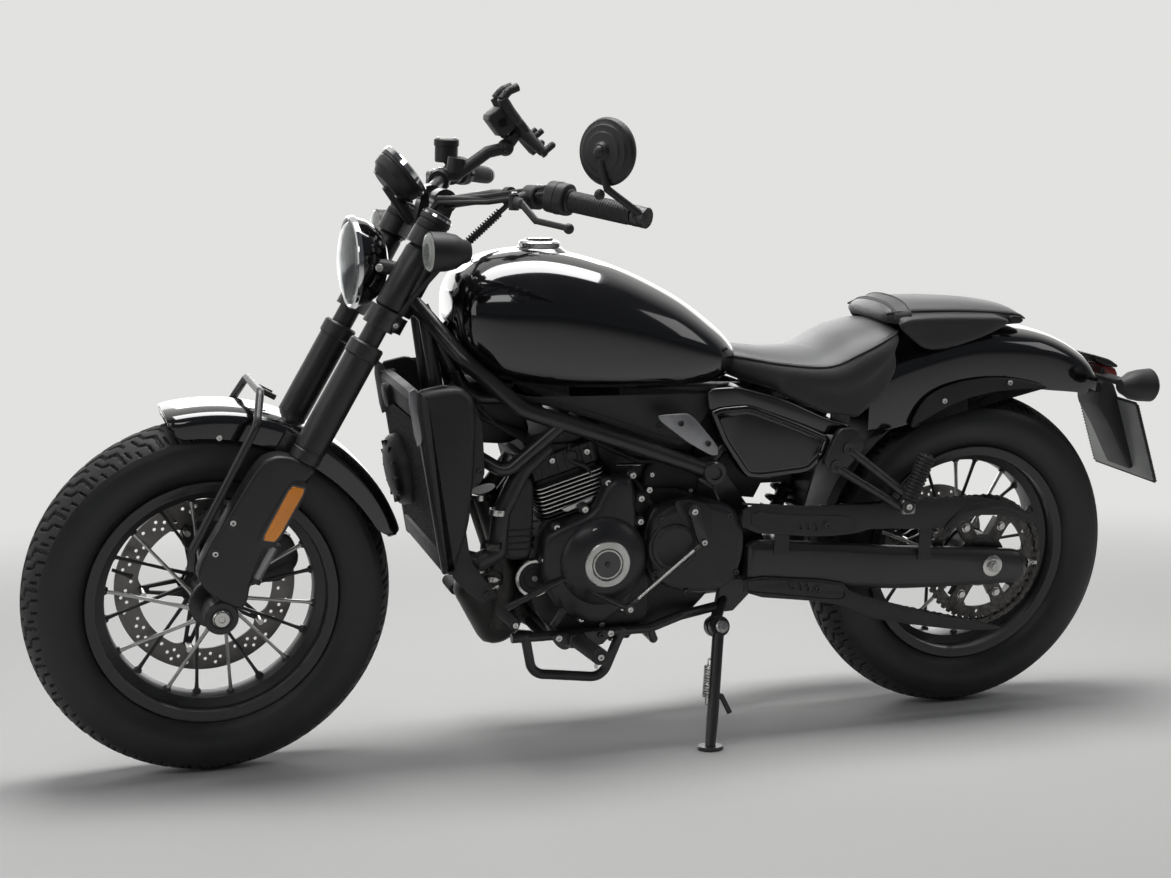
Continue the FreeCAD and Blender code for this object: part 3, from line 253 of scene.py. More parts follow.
def ball(centre, r, steps):
    rows = steps // 2
    profile = [(-r * cos(pi * i / rows), r * sin(pi * i / rows)) for i in range(rows + 1)]
    return lathe(centre, (0, 0, 1), profile, steps)


def placed(form, matrix):
    m = np.array(matrix)
    return np.asarray(form[0], float).reshape(-1, 3) @ m[:3, :3].T + m[:3, 3], form[1]


def join(*forms):
    verts, faces, start = [], [], 0
    for v, f in forms:
        v = np.asarray(v, float).reshape(-1, 3)
        verts.append(v)
        faces += [tuple(start + i for i in g) for g in f]
        start += len(v)
    return np.concatenate(verts), faces


def flip_y(form):
    return np.asarray(form[0], float).reshape(-1, 3) * (1, -1, 1), [tuple(reversed(f)) for f in form[1]]


def both(form):
    return join(form, flip_y(form))


def on_side(form, s):
    """The form, drawn for the left, on the side s."""
    return form if s > 0 else flip_y(form)


def sides(form_at):
    """The forms of the left side, 1, and the right side, -1."""
    return [form_at(s) for s in (1, -1)]


def axes_at(place, x, y, z):
    """Matrix that takes the three axes to the directions given, and the origin to the place."""
    return move(place) @ Matrix((x, y, z)).transposed().to_4x4()


def facing(place, direction, spin=0.0, size=1.0):
    """Matrix that takes +Z to the direction given."""
    d, u, w = axes_for(direction)
    return axes_at(place, u, w, d) @ Matrix.Rotation(spin, 4, "Z") @ Matrix.Scale(size, 4)


# Repeats through geometry nodes

def repeat_tree():
    tree = bpy.data.node_groups.new("Repeat on Points", "GeometryNodeTree")
    for label, kind in (("Geometry", "Geometry"), ("Pattern", "Object"), ("Size", "Float"),
            ("Finish", "Material")):
        tree.interface.new_socket(label, in_out="INPUT", socket_type="NodeSocket" + kind)
    tree.interface.items_tree["Size"].default_value = 1.0
    tree.interface.new_socket("Geometry", in_out="OUTPUT", socket_type="NodeSocketGeometry")
    start = add_node(tree, "NodeGroupInput").outputs
    pattern = add_node(tree, "GeometryNodeObjectInfo", {"Object": start["Pattern"]}).outputs
    turn = add_node(tree, "GeometryNodeInputNamedAttribute", {"Name": "turn"},
        data_type="FLOAT_VECTOR").outputs
    turn = add_node(tree, "FunctionNodeEulerToRotation", {"Euler": turn["Attribute"]}).outputs
    size = add_node(tree, "GeometryNodeInputNamedAttribute", {"Name": "size"}, data_type="FLOAT").outputs
    size = multiply(tree, size["Attribute"], start["Size"])
    spots = add_node(tree, "GeometryNodeInstanceOnPoints", {"Points": start["Geometry"],
        "Instance": pattern["Geometry"], "Rotation": turn["Rotation"], "Scale": size})
    real = add_node(tree, "GeometryNodeRealizeInstances", {"Geometry": spots.outputs["Instances"]}).outputs
    done = add_node(tree, "GeometryNodeSetMaterial",
        {"Geometry": real["Geometry"], "Material": start["Finish"]})
    add_node(tree, "NodeGroupOutput", {"Geometry": done.outputs["Geometry"]})
    return tree


def link_object(name, data):
    obj = bpy.data.objects.new(name, data)
    bpy.context.scene.collection.objects.link(obj)
    return obj


def plain_object(name, form):
    mesh = bpy.data.meshes.new(name)
    mesh.from_pydata([tuple(v) for v in form[0]], [], [tuple(f) for f in form[1]])
    return link_object(name, mesh)


def repeat(form, matrices, finish):
    """The form set at each matrix by geometry nodes, as one plain form."""
    tree = bpy.data.node_groups.get("Repeat on Points") or repeat_tree()
    pattern = plain_object("pattern", form)
    holder = plain_object("points", ([m.translation for m in matrices], []))
    turns = holder.data.attributes.new("turn", "FLOAT_VECTOR", "POINT")
    turns.data.foreach_set("vector", [a for m in matrices for a in m.to_euler("XYZ")])
    sizes = holder.data.attributes.new("size", "FLOAT", "POINT")
    sizes.data.foreach_set("value", [m.to_scale().x for m in matrices])
    modifier = holder.modifiers.new("Repeat", "NODES")
    modifier.node_group = tree
    keys = {s.name: s.identifier for s in tree.interface.items_tree if s.in_out == "INPUT"}
    modifier[keys["Pattern"]] = pattern
    modifier[keys["Size"]] = 1.0
    modifier[keys["Finish"]] = paint(finish)
    graph = bpy.context.evaluated_depsgraph_get()
    made = bpy.data.meshes.new_from_object(holder.evaluated_get(graph))
    verts = np.empty(len(made.vertices) * 3)
    made.vertices.foreach_get("co", verts)
    faces = [tuple(p.vertices) for p in made.polygons]
    for o in (holder, pattern):
        bpy.data.objects.remove(o)
    bpy.data.meshes.remove(made)
    return verts.reshape(-1, 3), faces


# Pieces

def piece(name, shape, replaces=(), space="bike", body="chassis", bevel=0.0, sharp=32, segments=2):
    """Makes the piece's object in the parked machine's frame and rides it on its body."""
    form = placed((np.concatenate(shape.verts), shape.faces), SPACE[space])
    obj = plain_object(name, (form[0].tolist(), form[1]))
    mesh = obj.data
    for f in shape.finishes:
        mesh.materials.append(paint(f))
    mesh.polygons.foreach_set("material_index", shape.finish)
    with_bmesh(mesh, join_doubles)
    mesh.shade_smooth()
    mesh.set_sharp_from_angle(angle=radians(sharp))
    if bevel:
        soften = obj.modifiers.new("Edges", "BEVEL")
        soften.width = bevel * 0.001
        soften.segments = segments
        soften.limit_method = "ANGLE"
        soften.angle_limit = radians(sharp)
        soften.harden_normals = True
        soften.use_clamp_overlap = True
    settle(obj)
    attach(obj, body)
    if replaces:
        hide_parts(*replaces)
    return obj


def with_bmesh(mesh, change):
    work = bmesh.new()
    work.from_mesh(mesh)
    change(work)
    work.to_mesh(mesh)
    work.free()


def join_doubles(work):
    bmesh.ops.remove_doubles(work, verts=work.verts, dist=2e-6)
    bmesh.ops.dissolve_degenerate(work, edges=work.edges, dist=2e-6)
    face_outwards(work)


def face_outwards(work):
    bmesh.ops.recalc_face_normals(work, faces=work.faces)


def settle(obj):
    """Applies every modifier, so the piece is a plain mesh."""
    if not obj.modifiers:
        return
    graph = bpy.context.evaluated_depsgraph_get()
    made = bpy.data.meshes.new_from_object(obj.evaluated_get(graph))
    obj.modifiers.clear()
    old, obj.data = obj.data, made
    bpy.data.meshes.remove(old)
    made.name = obj.name


# Shared effects: node groups that put out masks and heights only

def wire(tree, inputs, values):
    """Sets each input to a value, or links it to an output."""
    for socket, value in values.items():
        if isinstance(value, bpy.types.NodeSocket):
            tree.links.new(value, inputs[socket])
        else:
            inputs[socket].default_value = value


def add_node(tree, kind, values=None, **settings):
    node = tree.nodes.new(kind)
    for key, value in settings.items():
        setattr(node, key, value)
    wire(tree, node.inputs, values or {})
    return node


def new_group(name, inputs, outputs):
    """A shader node group with float sockets: the group, its inputs and its outputs to link."""
    tree = bpy.data.node_groups.new(name, "ShaderNodeTree")
    for label, value in inputs.items():
        socket = tree.interface.new_socket(label, in_out="INPUT", socket_type="NodeSocketFloat")
        socket.default_value = value
    for label in outputs:
        tree.interface.new_socket(label, in_out="OUTPUT", socket_type="NodeSocketFloat")
    return tree, add_node(tree, "NodeGroupInput").outputs, add_node(tree, "NodeGroupOutput").inputs


def math_node(tree, operation, a, b, clamp=False):
    return add_node(tree, "ShaderNodeMath", {0: a, 1: b}, operation=operation, use_clamp=clamp).outputs[0]


def multiply(tree, a, b, clamp=False):
    return math_node(tree, "MULTIPLY", a, b, clamp)


def ramp(tree, value, low=0.0, high=1.0, to_low=0.0, to_high=1.0):
    return add_node(tree, "ShaderNodeMapRange", {"Value": value, "From Min": low, "From Max": high,
        "To Min": to_low, "To Max": to_high}).outputs["Result"]


def blend(tree, factor, a, b):
    return add_node(tree, "ShaderNodeMix", {"Factor": factor, "A": a, "B": b},
        data_type="RGBA").outputs["Result"]


def one_axis(tree, kind, output, axis):
    """One axis of a node's vector output."""
    whole = add_node(tree, kind).outputs[output]
    return add_node(tree, "ShaderNodeSeparateXYZ", {0: whole}).outputs[axis]


def noise(tree, scale, detail, rough):
    where = add_node(tree, "ShaderNodeTexCoord").outputs["Object"]
    return add_node(tree, "ShaderNodeTexNoise",
        {"Vector": where, "Scale": scale, "Detail": detail, "Roughness": rough}).outputs["Fac"]


def grain_group():
    """Fine grain as a height, with slow patches of it for the roughness."""
    tree, start, end = new_group("Fine Grain", {"Scale": 900.0}, ("Height", "Patches"))
    slow = noise(tree, multiply(tree, start["Scale"], 0.02), 3.0, 0.5)
    wire(tree, end, {"Height": noise(tree, start["Scale"], 4.0, 0.6), "Patches": ramp(tree, slow, 0.3, 0.7)})
    return tree


def wear_group():
    """Mask that is high on proud edges, broken up by noise."""
    tree, start, end = new_group("Edge Wear", {"Amount": 0.5, "Scale": 90.0}, ("Mask",))
    proud = ramp(tree, add_node(tree, "ShaderNodeNewGeometry").outputs["Pointiness"], 0.512, 0.60)
    broken = ramp(tree, noise(tree, start["Scale"], 6.0, 0.7), 0.42, 0.66)
    wire(tree, end, {"Mask": multiply(tree, multiply(tree, proud, broken), start["Amount"], True)})
    return tree


def dust_group():
    """Mask of dust on faces that look up, and of road film low on the machine."""
    tree, start, end = new_group("Dust", {"Amount": 0.3}, ("Mask",))
    up = ramp(tree, one_axis(tree, "ShaderNodeNewGeometry", "Normal", "Z"), 0.1, 1.0)
    low = ramp(tree, one_axis(tree, "ShaderNodeTexCoord", "Object", "Z"), 0.45, 0.02)
    patches = ramp(tree, noise(tree, 18.0, 5.0, 0.65), 0.35, 0.75)
    mask = multiply(tree, math_node(tree, "MAXIMUM", up, multiply(tree, low, 0.6)), patches)
    wire(tree, end, {"Mask": multiply(tree, mask, start["Amount"], True)})
    return tree


EFFECTS = {"Fine Grain": grain_group, "Edge Wear": wear_group, "Dust": dust_group}


def effect(tree, name, **values):
    group = bpy.data.node_groups.get(name) or EFFECTS[name]()
    return add_node(tree, "ShaderNodeGroup", values, node_tree=group).outputs


# name: colour, metallic, roughness, coat, grain scale, grain depth, roughness spread, wear, wear colour, dust
FINISHES = {"gloss black": ((.004, .004, .005), 0, .10, 1.0, 240, .000004, .05, 0, (.1, .1, .1), .10),
    "panel black": ((.010, .010, .011), 0, .34, .4, 420, .00012, .10, 0, (.1, .1, .1), .12),
    "core black": ((.020, .020, .021), .2, .5, 0, 900, .00003, .10, .2, (.12, .12, .12), .25),
    "pipe black": ((.017, .0165, .016), .25, .44, 0, 600, .00005, .18, .25, (.12, .10, .08), .30),
    "arm black": ((.012, .012, .013), .1, .36, .3, 500, .00002, .08, .15, (.10, .10, .10), .15),
    "chain black": ((.060, .058, .055), 1, .38, 0, 900, .00003, .12, .3, (.25, .24, .22), .10),
    "frame black": ((.011, .011, .012), 0, .38, .25, 700, .00002, .12, .25, (.10, .10, .10), .22),
    "matte black": ((.013, .013, .014), 0, .50, 0, 1500, .00005, .10, .10, (.06, .06, .06), .28),
    "fork black": ((.014, .014, .015), .0, .42, .1, 1100, .00003, .10, .2, (.08, .08, .08), .15),
    "cover grey": ((.022, .022, .024), .35, .40, .1, 1300, .00004, .10, .25, (.14, .14, .14), .12),
    "engine black": ((.012, .012, .013), .2, .50, 0, 900, .00006, .12, .25, (.10, .10, .10), .30),
    "cast grey": ((.30, .30, .31), .85, .38, 0, 900, .00003, .10, 0, (.5, .5, .5), .10),
    "bright steel": ((.62, .61, .59), 1, .26, 0, 600, .00001, .12, 0, (.7, .7, .7), .12),
    "chrome": ((.75, .75, .76), 1, .08, 0, 500, .000004, .05, 0, (.8, .8, .8), .05),
    "machined": ((.52, .52, .50), 1, .30, 0, 1400, .00002, .10, 0, (.7, .7, .7), .10),
    "dark steel": ((.055, .054, .052), 1, .42, 0, 900, .00004, .15, .4, (.30, .28, .26), .25),
    "disc steel": ((.16, .155, .15), 1, .34, 0, 700, .00002, .14, .2, (.45, .43, .40), .10),
    "tyre rubber": ((.011, .011, .0115), 0, .60, 0, 900, .00005, .12, 0, (.05, .05, .05), .28),
    "tyre side": ((.010, .010, .0105), 0, .46, 0, 700, .00004, .12, 0, (.05, .05, .05), .16),
    "soft rubber": ((.012, .012, .0125), 0, .55, 0, 1200, .00005, .10, 0, (.05, .05, .05), .20),
    "hose grey": ((.024, .024, .026), .1, .42, .1, 900, .00003, .10, 0, (.08, .08, .08), .25),
    # seat top painted sheen: the same leather as seat side, its colour painted lighter for the sheen the
    # overhead light puts on the top
    "seat leather": ((.052, .052, .054), 0, .37, 0, 0, 0, .10, 0, (.05, .05, .05), .15),
    "seat side": ((.014, .014, .015), 0, .50, 0, 0, 0, .10, 0, (.05, .05, .05), .12),
    "amber": ((.95, .30, .01), 0, .18, .6, 500, .00001, .05, 0, (.9, .5, .1), .05),
    "red lens": ((.20, .006, .006), 0, .16, .6, 500, .00001, .05, 0, (.5, .1, .1), .05),
    "smoke lens": ((.030, .030, .031), 0, .24, .5, 500, .00001, .05, 0, (.1, .1, .1), .08),
    "lamp white": ((.78, .78, .76), 0, .30, .5, 300, .00002, .05, 0, (.9, .9, .9), 0),
    "reflector": ((.80, .80, .82), 1, .14, 0, 300, .00002, .05, 0, (.9, .9, .9), 0),
    "plate grey": ((.34, .35, .34), .3, .42, 0, 300, .00003, .15, 0, (.5, .5, .5), .35),
    "sealer grey": ((.11, .115, .115), 0, .60, 0, 900, .00003, .10, 0, (.3, .3, .3), .10),
    "dial face": ((.006, .006, .007), 0, .12, .8, 300, .000004, .05, 0, (.1, .1, .1), 0),
    "disc arm black": ((.012, .012, .013), .1, .42, .1, 1000, .00003, .10, .2, (.1, .1, .1), .12),}


def leather_height(tree):
    """Fine pebbled cells with creases between them."""
    where = add_node(tree, "ShaderNodeTexCoord").outputs["Object"]
    cells = add_node(tree, "ShaderNodeTexVoronoi", feature="DISTANCE_TO_EDGE")
    wire(tree, cells.inputs, {"Vector": where, "Scale": 620.0, "Randomness": 0.9})
    crease = ramp(tree, cells.outputs["Distance"], 0.0, 0.12)
    return math_node(tree, "ADD", crease, multiply(tree, noise(tree, 1800.0, 3.0, 0.6), 0.35))


def paint(name):
    """The finish's material, made on first use."""
    mat = bpy.data.materials.get(name)
    if not mat:
        mat = bpy.data.materials.new(name)
        mat.use_nodes = True
        tree = mat.node_tree
        values = glass(tree, name) if name in GLASSES else coating(tree, name)
        wire(tree, tree.nodes["Principled BSDF"].inputs, values)
    return mat


DUST_COLOUR = (.12, .115, .105, 1)


def coating(tree, name):
    """Shader inputs of a solid finish: its patches, edge wear, dust and grain."""
    colour, metallic, rough, coat, scale, depth, spread, wear, worn, dust = FINISHES[name]
    grain = effect(tree, "Fine Grain", Scale=float(scale or 500))
    patches = grain["Patches"]
    tone = blend(tree, patches, *((*(min(1, c * k) for c in colour), 1) for k in (0.82, 1.18)))
    roughness = ramp(tree, patches, to_low=max(0.02, rough - spread / 2), to_high=rough + spread / 2)
    if wear:
        tone = blend(tree, effect(tree, "Edge Wear", Amount=wear)["Mask"], tone, (*worn, 1))
    if dust:
        dusty = effect(tree, "Dust", Amount=dust)["Mask"]
        tone = blend(tree, dusty, tone, DUST_COLOUR)
        roughness = math_node(tree, "ADD", roughness, multiply(tree, dusty, 0.4), True)
    values = {"Base Color": tone, "Metallic": metallic, "Roughness": roughness, "Coat Weight": coat,
        "Coat Roughness": 0.03 if name == "gloss black" else 0.12}
    bump = {"Strength": 0.5, "Distance": depth, "Height": grain["Height"]}
    if name.startswith("seat"):
        values.update({"Sheen Weight": 0.2, "Sheen Roughness": 0.5})
        bump = {"Strength": 0.35, "Distance": 0.00022, "Height": leather_height(tree)}
    values["Normal"] = add_node(tree, "ShaderNodeBump", bump).outputs["Normal"]
    return values


# name: colour, roughness and how mirror-like it is
GLASSES = {"clear lens": ((.93, .95, .96), .05, 0), "mirror glass": ((.62, .63, .64), .03, 1),
    "signal lens": ((.80, .82, .80), .16, 0)}


def glass(tree, name):
    """Shader inputs of a clear or a mirror glass."""
    colour, rough, mirror = GLASSES[name]
    spots = ramp(tree, noise(tree, 60.0, 4.0, 0.6), to_low=rough, to_high=rough + 0.05)
    return {"Base Color": (*colour, 1), "Metallic": mirror, "Transmission Weight": 0.95 * (1 - mirror),
        "IOR": 1.45, "Roughness": spots}


def cut_plate(outlines, y0, y1):
    """A flat plate in (x, z) with holes: the first outline is the rim, the others are cut out."""
    curve = bpy.data.curves.new("cut", "CURVE")
    curve.dimensions = "2D"
    curve.fill_mode = "BOTH"
    curve.extrude = abs(y1 - y0) / 2
    for outline in outlines:
        line = curve.splines.new("POLY")
        line.points.add(len(outline) - 1)
        for p, (x, z) in zip(line.points, outline):
            p.co = (x, z, 0, 1)
        line.use_cyclic_u = True
    obj = link_object("cut", curve)
    made = bpy.data.meshes.new_from_object(obj.evaluated_get(bpy.context.evaluated_depsgraph_get()))
    middle = (y0 + y1) / 2
    verts = [(v.co.x, middle - v.co.z, v.co.y) for v in made.vertices]
    faces = [tuple(p.vertices) for p in made.polygons]
    bpy.data.objects.remove(obj)
    bpy.data.curves.remove(curve)
    bpy.data.meshes.remove(made)
    return verts, faces


def ring_points(r, count, centre=(0, 0), start=0.0, end=360.0, closed=True):
    n = count if closed else count - 1
    return [(centre[0] + r * cos(a), centre[1] + r * sin(a))
        for a in (radians(start + (end - start) * i / n) for i in range(count))]


def slot_hole(x, z, length, width, angle):
    c, s = cos(radians(angle)), sin(radians(angle))
    pts = [(length / 2 * k + width / 2 * cos(a), width / 2 * sin(a)) for k,
        first in ((1, -90), (-1, 90)) for a in (radians(first + 45 * i) for i in range(5))]
    return [(x + c * u - s * v, z + s * u + c * v) for u, v in pts]


# Fasteners: heads drawn along +Z on a seat at z = 0, one millimetre of radius scaled by size

def circle(r, z):
    return [(r * cos(radians(15 * i)), r * sin(radians(15 * i)), z) for i in range(24)]


def hexagon(r, z, start=0):
    """A hexagon with the 24 points of a circle, four to a side, beginning at the point given."""
    corner = [vec(r * cos(radians(60 * j)), r * sin(radians(60 * j))) for j in range(6)]
    return [(*corner[i // 4 % 6].lerp(corner[(i // 4 + 1) % 6], i % 4 / 4), z)
        for i in range(start, start + 24)]


def socket_head():
    return loft([circle(r, z) for z, r in ((0, 1.0), (0.62, 1.0), (0.72, 0.9), (0.72, 0.56))]
        + [hexagon(0.45, z, 2) for z in (0.70, 0.25)])


def hex_head():
    return loft([circle(1.12, z) for z in (0, 0.14)] + [hexagon(0.95 * k, z) for z,
        k in ((0.16, 1.0), (0.66, 1.0), (0.74, 0.88))])


HEADS = {"socket": socket_head, "hex": hex_head}


def bolts(rows, kind="socket"):
    """Rows of place, direction and radius, as fastener heads."""
    return repeat(HEADS[kind](), [facing(p, d, 0.3 * i, r) for i, (p, d, r) in enumerate(rows)],
        "bright steel")


# Tyres

# Groove lines as (along, across) of one pitch, with their width
TREAD = ((((-6, 4), (22, 9), (27, 28), (46, 33), (51, 62)), 5.5), (((38, 5), (58, 15), (61, 27)), 4.5),
    (((8, 22), (15, 42), (26, 46)), 4.2), (((30, 50), (34, 66)), 3.6), (((8, 54), (12, 68)), 3.2),
    (((60, 44), (64, 58)), 3.6),)


# node, body, radius, half width, radius of the crown and half width of the rim
TYRES = (("front_tyre", "front_wheel", FRONT_R, 65.0, FRONT_CROWN, 50.0),
    ("rear_tyre", "rear_wheel", REAR_R, 75.0, REAR_CROWN, 60.0))
TREAD_PITCH = 70.0


def groove_depth(s, a, pitch):
    """How deep the tread is cut at each point, from 0 to 1."""
    depth = np.zeros_like(s)
    for side, shift in ((1, 0.0), (-1, pitch / 2)):
        for line, width in TREAD:
            for wrap in (-pitch, 0, pitch, 2 * pitch):
                for (x0, y0), (x1, y1) in zip(line, line[1:]):
                    px, py = s - (x0 + shift - wrap), side * a - y0
                    dx, dy = x1 - x0, y1 - y0
                    t = np.clip((px * dx + py * dy) / (dx * dx + dy * dy), 0, 1)
                    d = np.hypot(px - t * dx, py - t * dy)
                    depth = np.maximum(depth, np.clip((width / 2 + 0.7 - d) / 1.4, 0, 1))
    return depth


def tyre_form(r, half, crown, rim_half, pitches, cut):
    shoulder = asin(0.93 * half / crown)
    reach = shoulder * crown
    pitch = tau * r / pitches
    along, across = 30, 62
    s = np.linspace(0, pitch, along + 1)
    a = np.linspace(-reach, reach, across + 1)
    S, A = np.meshgrid(s, a, indexing="ij")
    deep = groove_depth(S * (TREAD_PITCH / pitch), A, TREAD_PITCH) * cut
    deep = deep * np.clip((reach - np.abs(A)) / 3.0, 0, 1)
    radius = r - crown + (crown - deep) * np.cos(A / crown)
    y = (crown - deep) * np.sin(A / crown)
    turn = S / r
    rows = []
    for lift in (0, 1):
        R = radius if lift == 0 else r - crown + (crown - cut - 4) * np.cos(A / crown)
        Y = y if lift == 0 else (crown - cut - 4) * np.sin(A / crown)
        rows.append(np.stack([R * np.cos(turn), Y, R * np.sin(turn)], -1).reshape(-1, 3))
    cols = across + 1
    n = (along + 1) * cols
    faces = []
    for i in range(along):
        for j in range(across):
            faces.append((i * cols + j, i * cols + j + 1, (i + 1) * cols + j + 1, (i + 1) * cols + j))
        for j in (0, across):
            faces.append((i * cols + j, (i + 1) * cols + j, n + (i + 1) * cols + j, n + i * cols + j))
    lower = []
    keep = list(range(0, cols, 6)) + ([across] if across % 6 else [])
    for i in range(along):
        for j0, j1 in zip(keep, keep[1:]):
            lower.append((n + i * cols + j0, n + (i + 1) * cols + j0, n + (i + 1) * cols + j1,
                n + i * cols + j1))
    tile = (np.concatenate(rows), faces + lower)
    turns = [Matrix.Rotation(-tau * i / pitches, 4, "Y") for i in range(pitches)]
    band = repeat(tile, turns, "tyre rubber")
    bead_y, shoulder_y = rim_half - 5.3, crown * sin(shoulder)
    shoulder_r = r - crown + crown * cos(shoulder)
    wall_r = (shoulder_r + 206) / 2
    side = [(bead_y - 6, 207), (bead_y - 0.4, 208), (bead_y - 0.2, 219)]
    p0, p1, p2 = vec(bead_y, 219), vec(half, wall_r), vec(shoulder_y, shoulder_r)
    arc = three_point_arc(p0, p1, p2, 26)
    for i, p in enumerate(arc[1:]):
        t = i / 24
        bulge = 0.9 * exp(-((t - 0.16) / 0.035) ** 2) + 0.5 * exp(-((t - 0.86) / 0.03) ** 2)
        out = unit(p - vec(0, wall_r))
        side.append(tuple(p + out * min(bulge, 0.35)))
    side += [(shoulder_y - 3.0, shoulder_r - 3.6), (shoulder_y - 12, shoulder_r - 1.5)]
    top = [(crown * sin(k) * (crown - 5.5) / crown, r - crown + (crown - cut - 2.0) * cos(k))
        for k in (shoulder * f for f in (0.75, 0.4, 0))]
    right = side + top
    profile = right + [(-y_, r_) for y_, r_ in right[-2::-1]]
    carcass = lathe((0, 0, 0), (0, 1, 0), profile, 168, True)
    return band, carcass


def three_point_arc(a, m, b, count):
    """Points of the arc through three points of a plane."""
    d = 2 * (a.x * (m.y - b.y) + m.x * (b.y - a.y) + b.x * (a.y - m.y))
    aa, mm, bb = a.length_squared, m.length_squared, b.length_squared
    c = vec(aa * (m.y - b.y) + mm * (b.y - a.y) + bb * (a.y - m.y),
        aa * (b.x - m.x) + mm * (a.x - b.x) + bb * (m.x - a.x)) / d
    t0, tm, t1 = (atan2((p - c).y, (p - c).x) for p in (a, m, b))
    while tm - t0 > pi:
        tm -= tau
    while tm - t0 < -pi:
        tm += tau
    while (t1 - t0) * (tm - t0) < 0 or abs(t1 - t0) < abs(tm - t0):
        t1 += tau * (1 if tm > t0 else -1)
    r = (a - c).length
    return [c + vec(cos(t), sin(t)) * r for t in (t0 + (t1 - t0) * i / (count - 1) for i in range(count))]


def make_tyres(pitches, cut):
    for node, body, r, half, crown, rim_half in TYRES:
        band, carcass = tyre_form(r, half, crown, rim_half, pitches, cut)
        shape = Shape().add("tyre rubber", band).add("tyre side", carcass)
        piece(node + "_cut", shape, [node], body.split("_")[0], body, sharp=40)


# Wheels

SPOKES = 20


def spoke_form(inner, outer, wide, deep):
    """A cast spoke: an oval bar that flares into the hub and the rim."""
    a, b = Vector(inner), Vector(outer)
    d = unit(b - a)
    path = [a.lerp(b, t) for t in (0, 0.06, 0.14, 0.3, 0.6, 0.86, 0.94, 1.0)]
    grow = (1.7, 1.35, 1.08, 1.0, 0.94, 1.0, 1.25, 1.6)
    across = unit(d.cross(vec(0, 1, 0)))
    other = unit(d.cross(across))
    rings = []
    for p, g in zip(path, grow):
        rings.append([p + across * (wide * g * copysign(abs(cos(k)) ** 0.7, cos(k))) + other
            * (deep * g * copysign(abs(sin(k)) ** 0.7, sin(k))) for k in (tau * i / 16 for i in range(16))])
    return loft(rings)


def mirrored(profile):
    """A profile of (along, radius) with its other half; a point at along 0 stays single."""
    return profile + [(-t, r) for t, r in reversed(profile) if t]


def wheel_shape(rim_half, hub_r, hub_half, bore, offset):
    shape = Shape()
    seat, wall = 205.7, rim_half - 5
    rim = mirrored([(14, 182.5), (22, 184), (25, 190), (30, 199), (rim_half - 9, 199.5),
        (rim_half - 3, 200.7), (rim_half - 2, 207), (rim_half, 214), (rim_half, 217.5),
        (rim_half - 1.6, 219), (wall, 219), (wall, seat), (28, seat), (18, 189)])
    shape.add("frame black", lathe((0, 0, 0), (0, 1, 0), rim, 120, True))
    flange = hub_r + 12
    hub = mirrored([(hub_half, bore), (hub_half, flange - 2), (hub_half - 2, flange),
        (hub_half - 8, flange), (hub_half - 12, flange - 5), (hub_half - 18, hub_r), (0, hub_r - 4)])
    shape.add("frame black", lathe((0, 0, 0), (0, 1, 0), hub, 72, True))
    dark, bright = [], []
    for i in range(SPOKES):
        turn = radians(360 * i / SPOKES + offset)
        side = 1 if i % 2 else -1
        swing = radians(19) * side
        y_in, y_out = side * (hub_half - 9), side * 9
        inner = ((flange - 6) * cos(turn - swing), y_in, (flange - 6) * sin(turn - swing))
        outer = (186 * cos(turn), y_out, 186 * sin(turn))
        (bright if i % 2 else dark).append(spoke_form(inner, outer, 3.1, 3.6))
        boss = lathe((185.5 * cos(turn), y_out, 185.5 * sin(turn)), (-cos(turn), 0, -sin(turn)),
            [(-3, 9), (3, 8.4), (8, 5.6), (9, 0)], 16)
        dark.append(boss)
    shape.add("frame black", *dark).add("machined", *bright)
    valve = join(rod((178, 6, 0), (150, 14, 0), 3.2, 12), rod((152, 13.5, 0), (142, 16, 0), 4.4, 12))
    shape.add("soft rubber", placed(valve, Matrix.Rotation(radians(-20), 4, "Y")))
    return shape


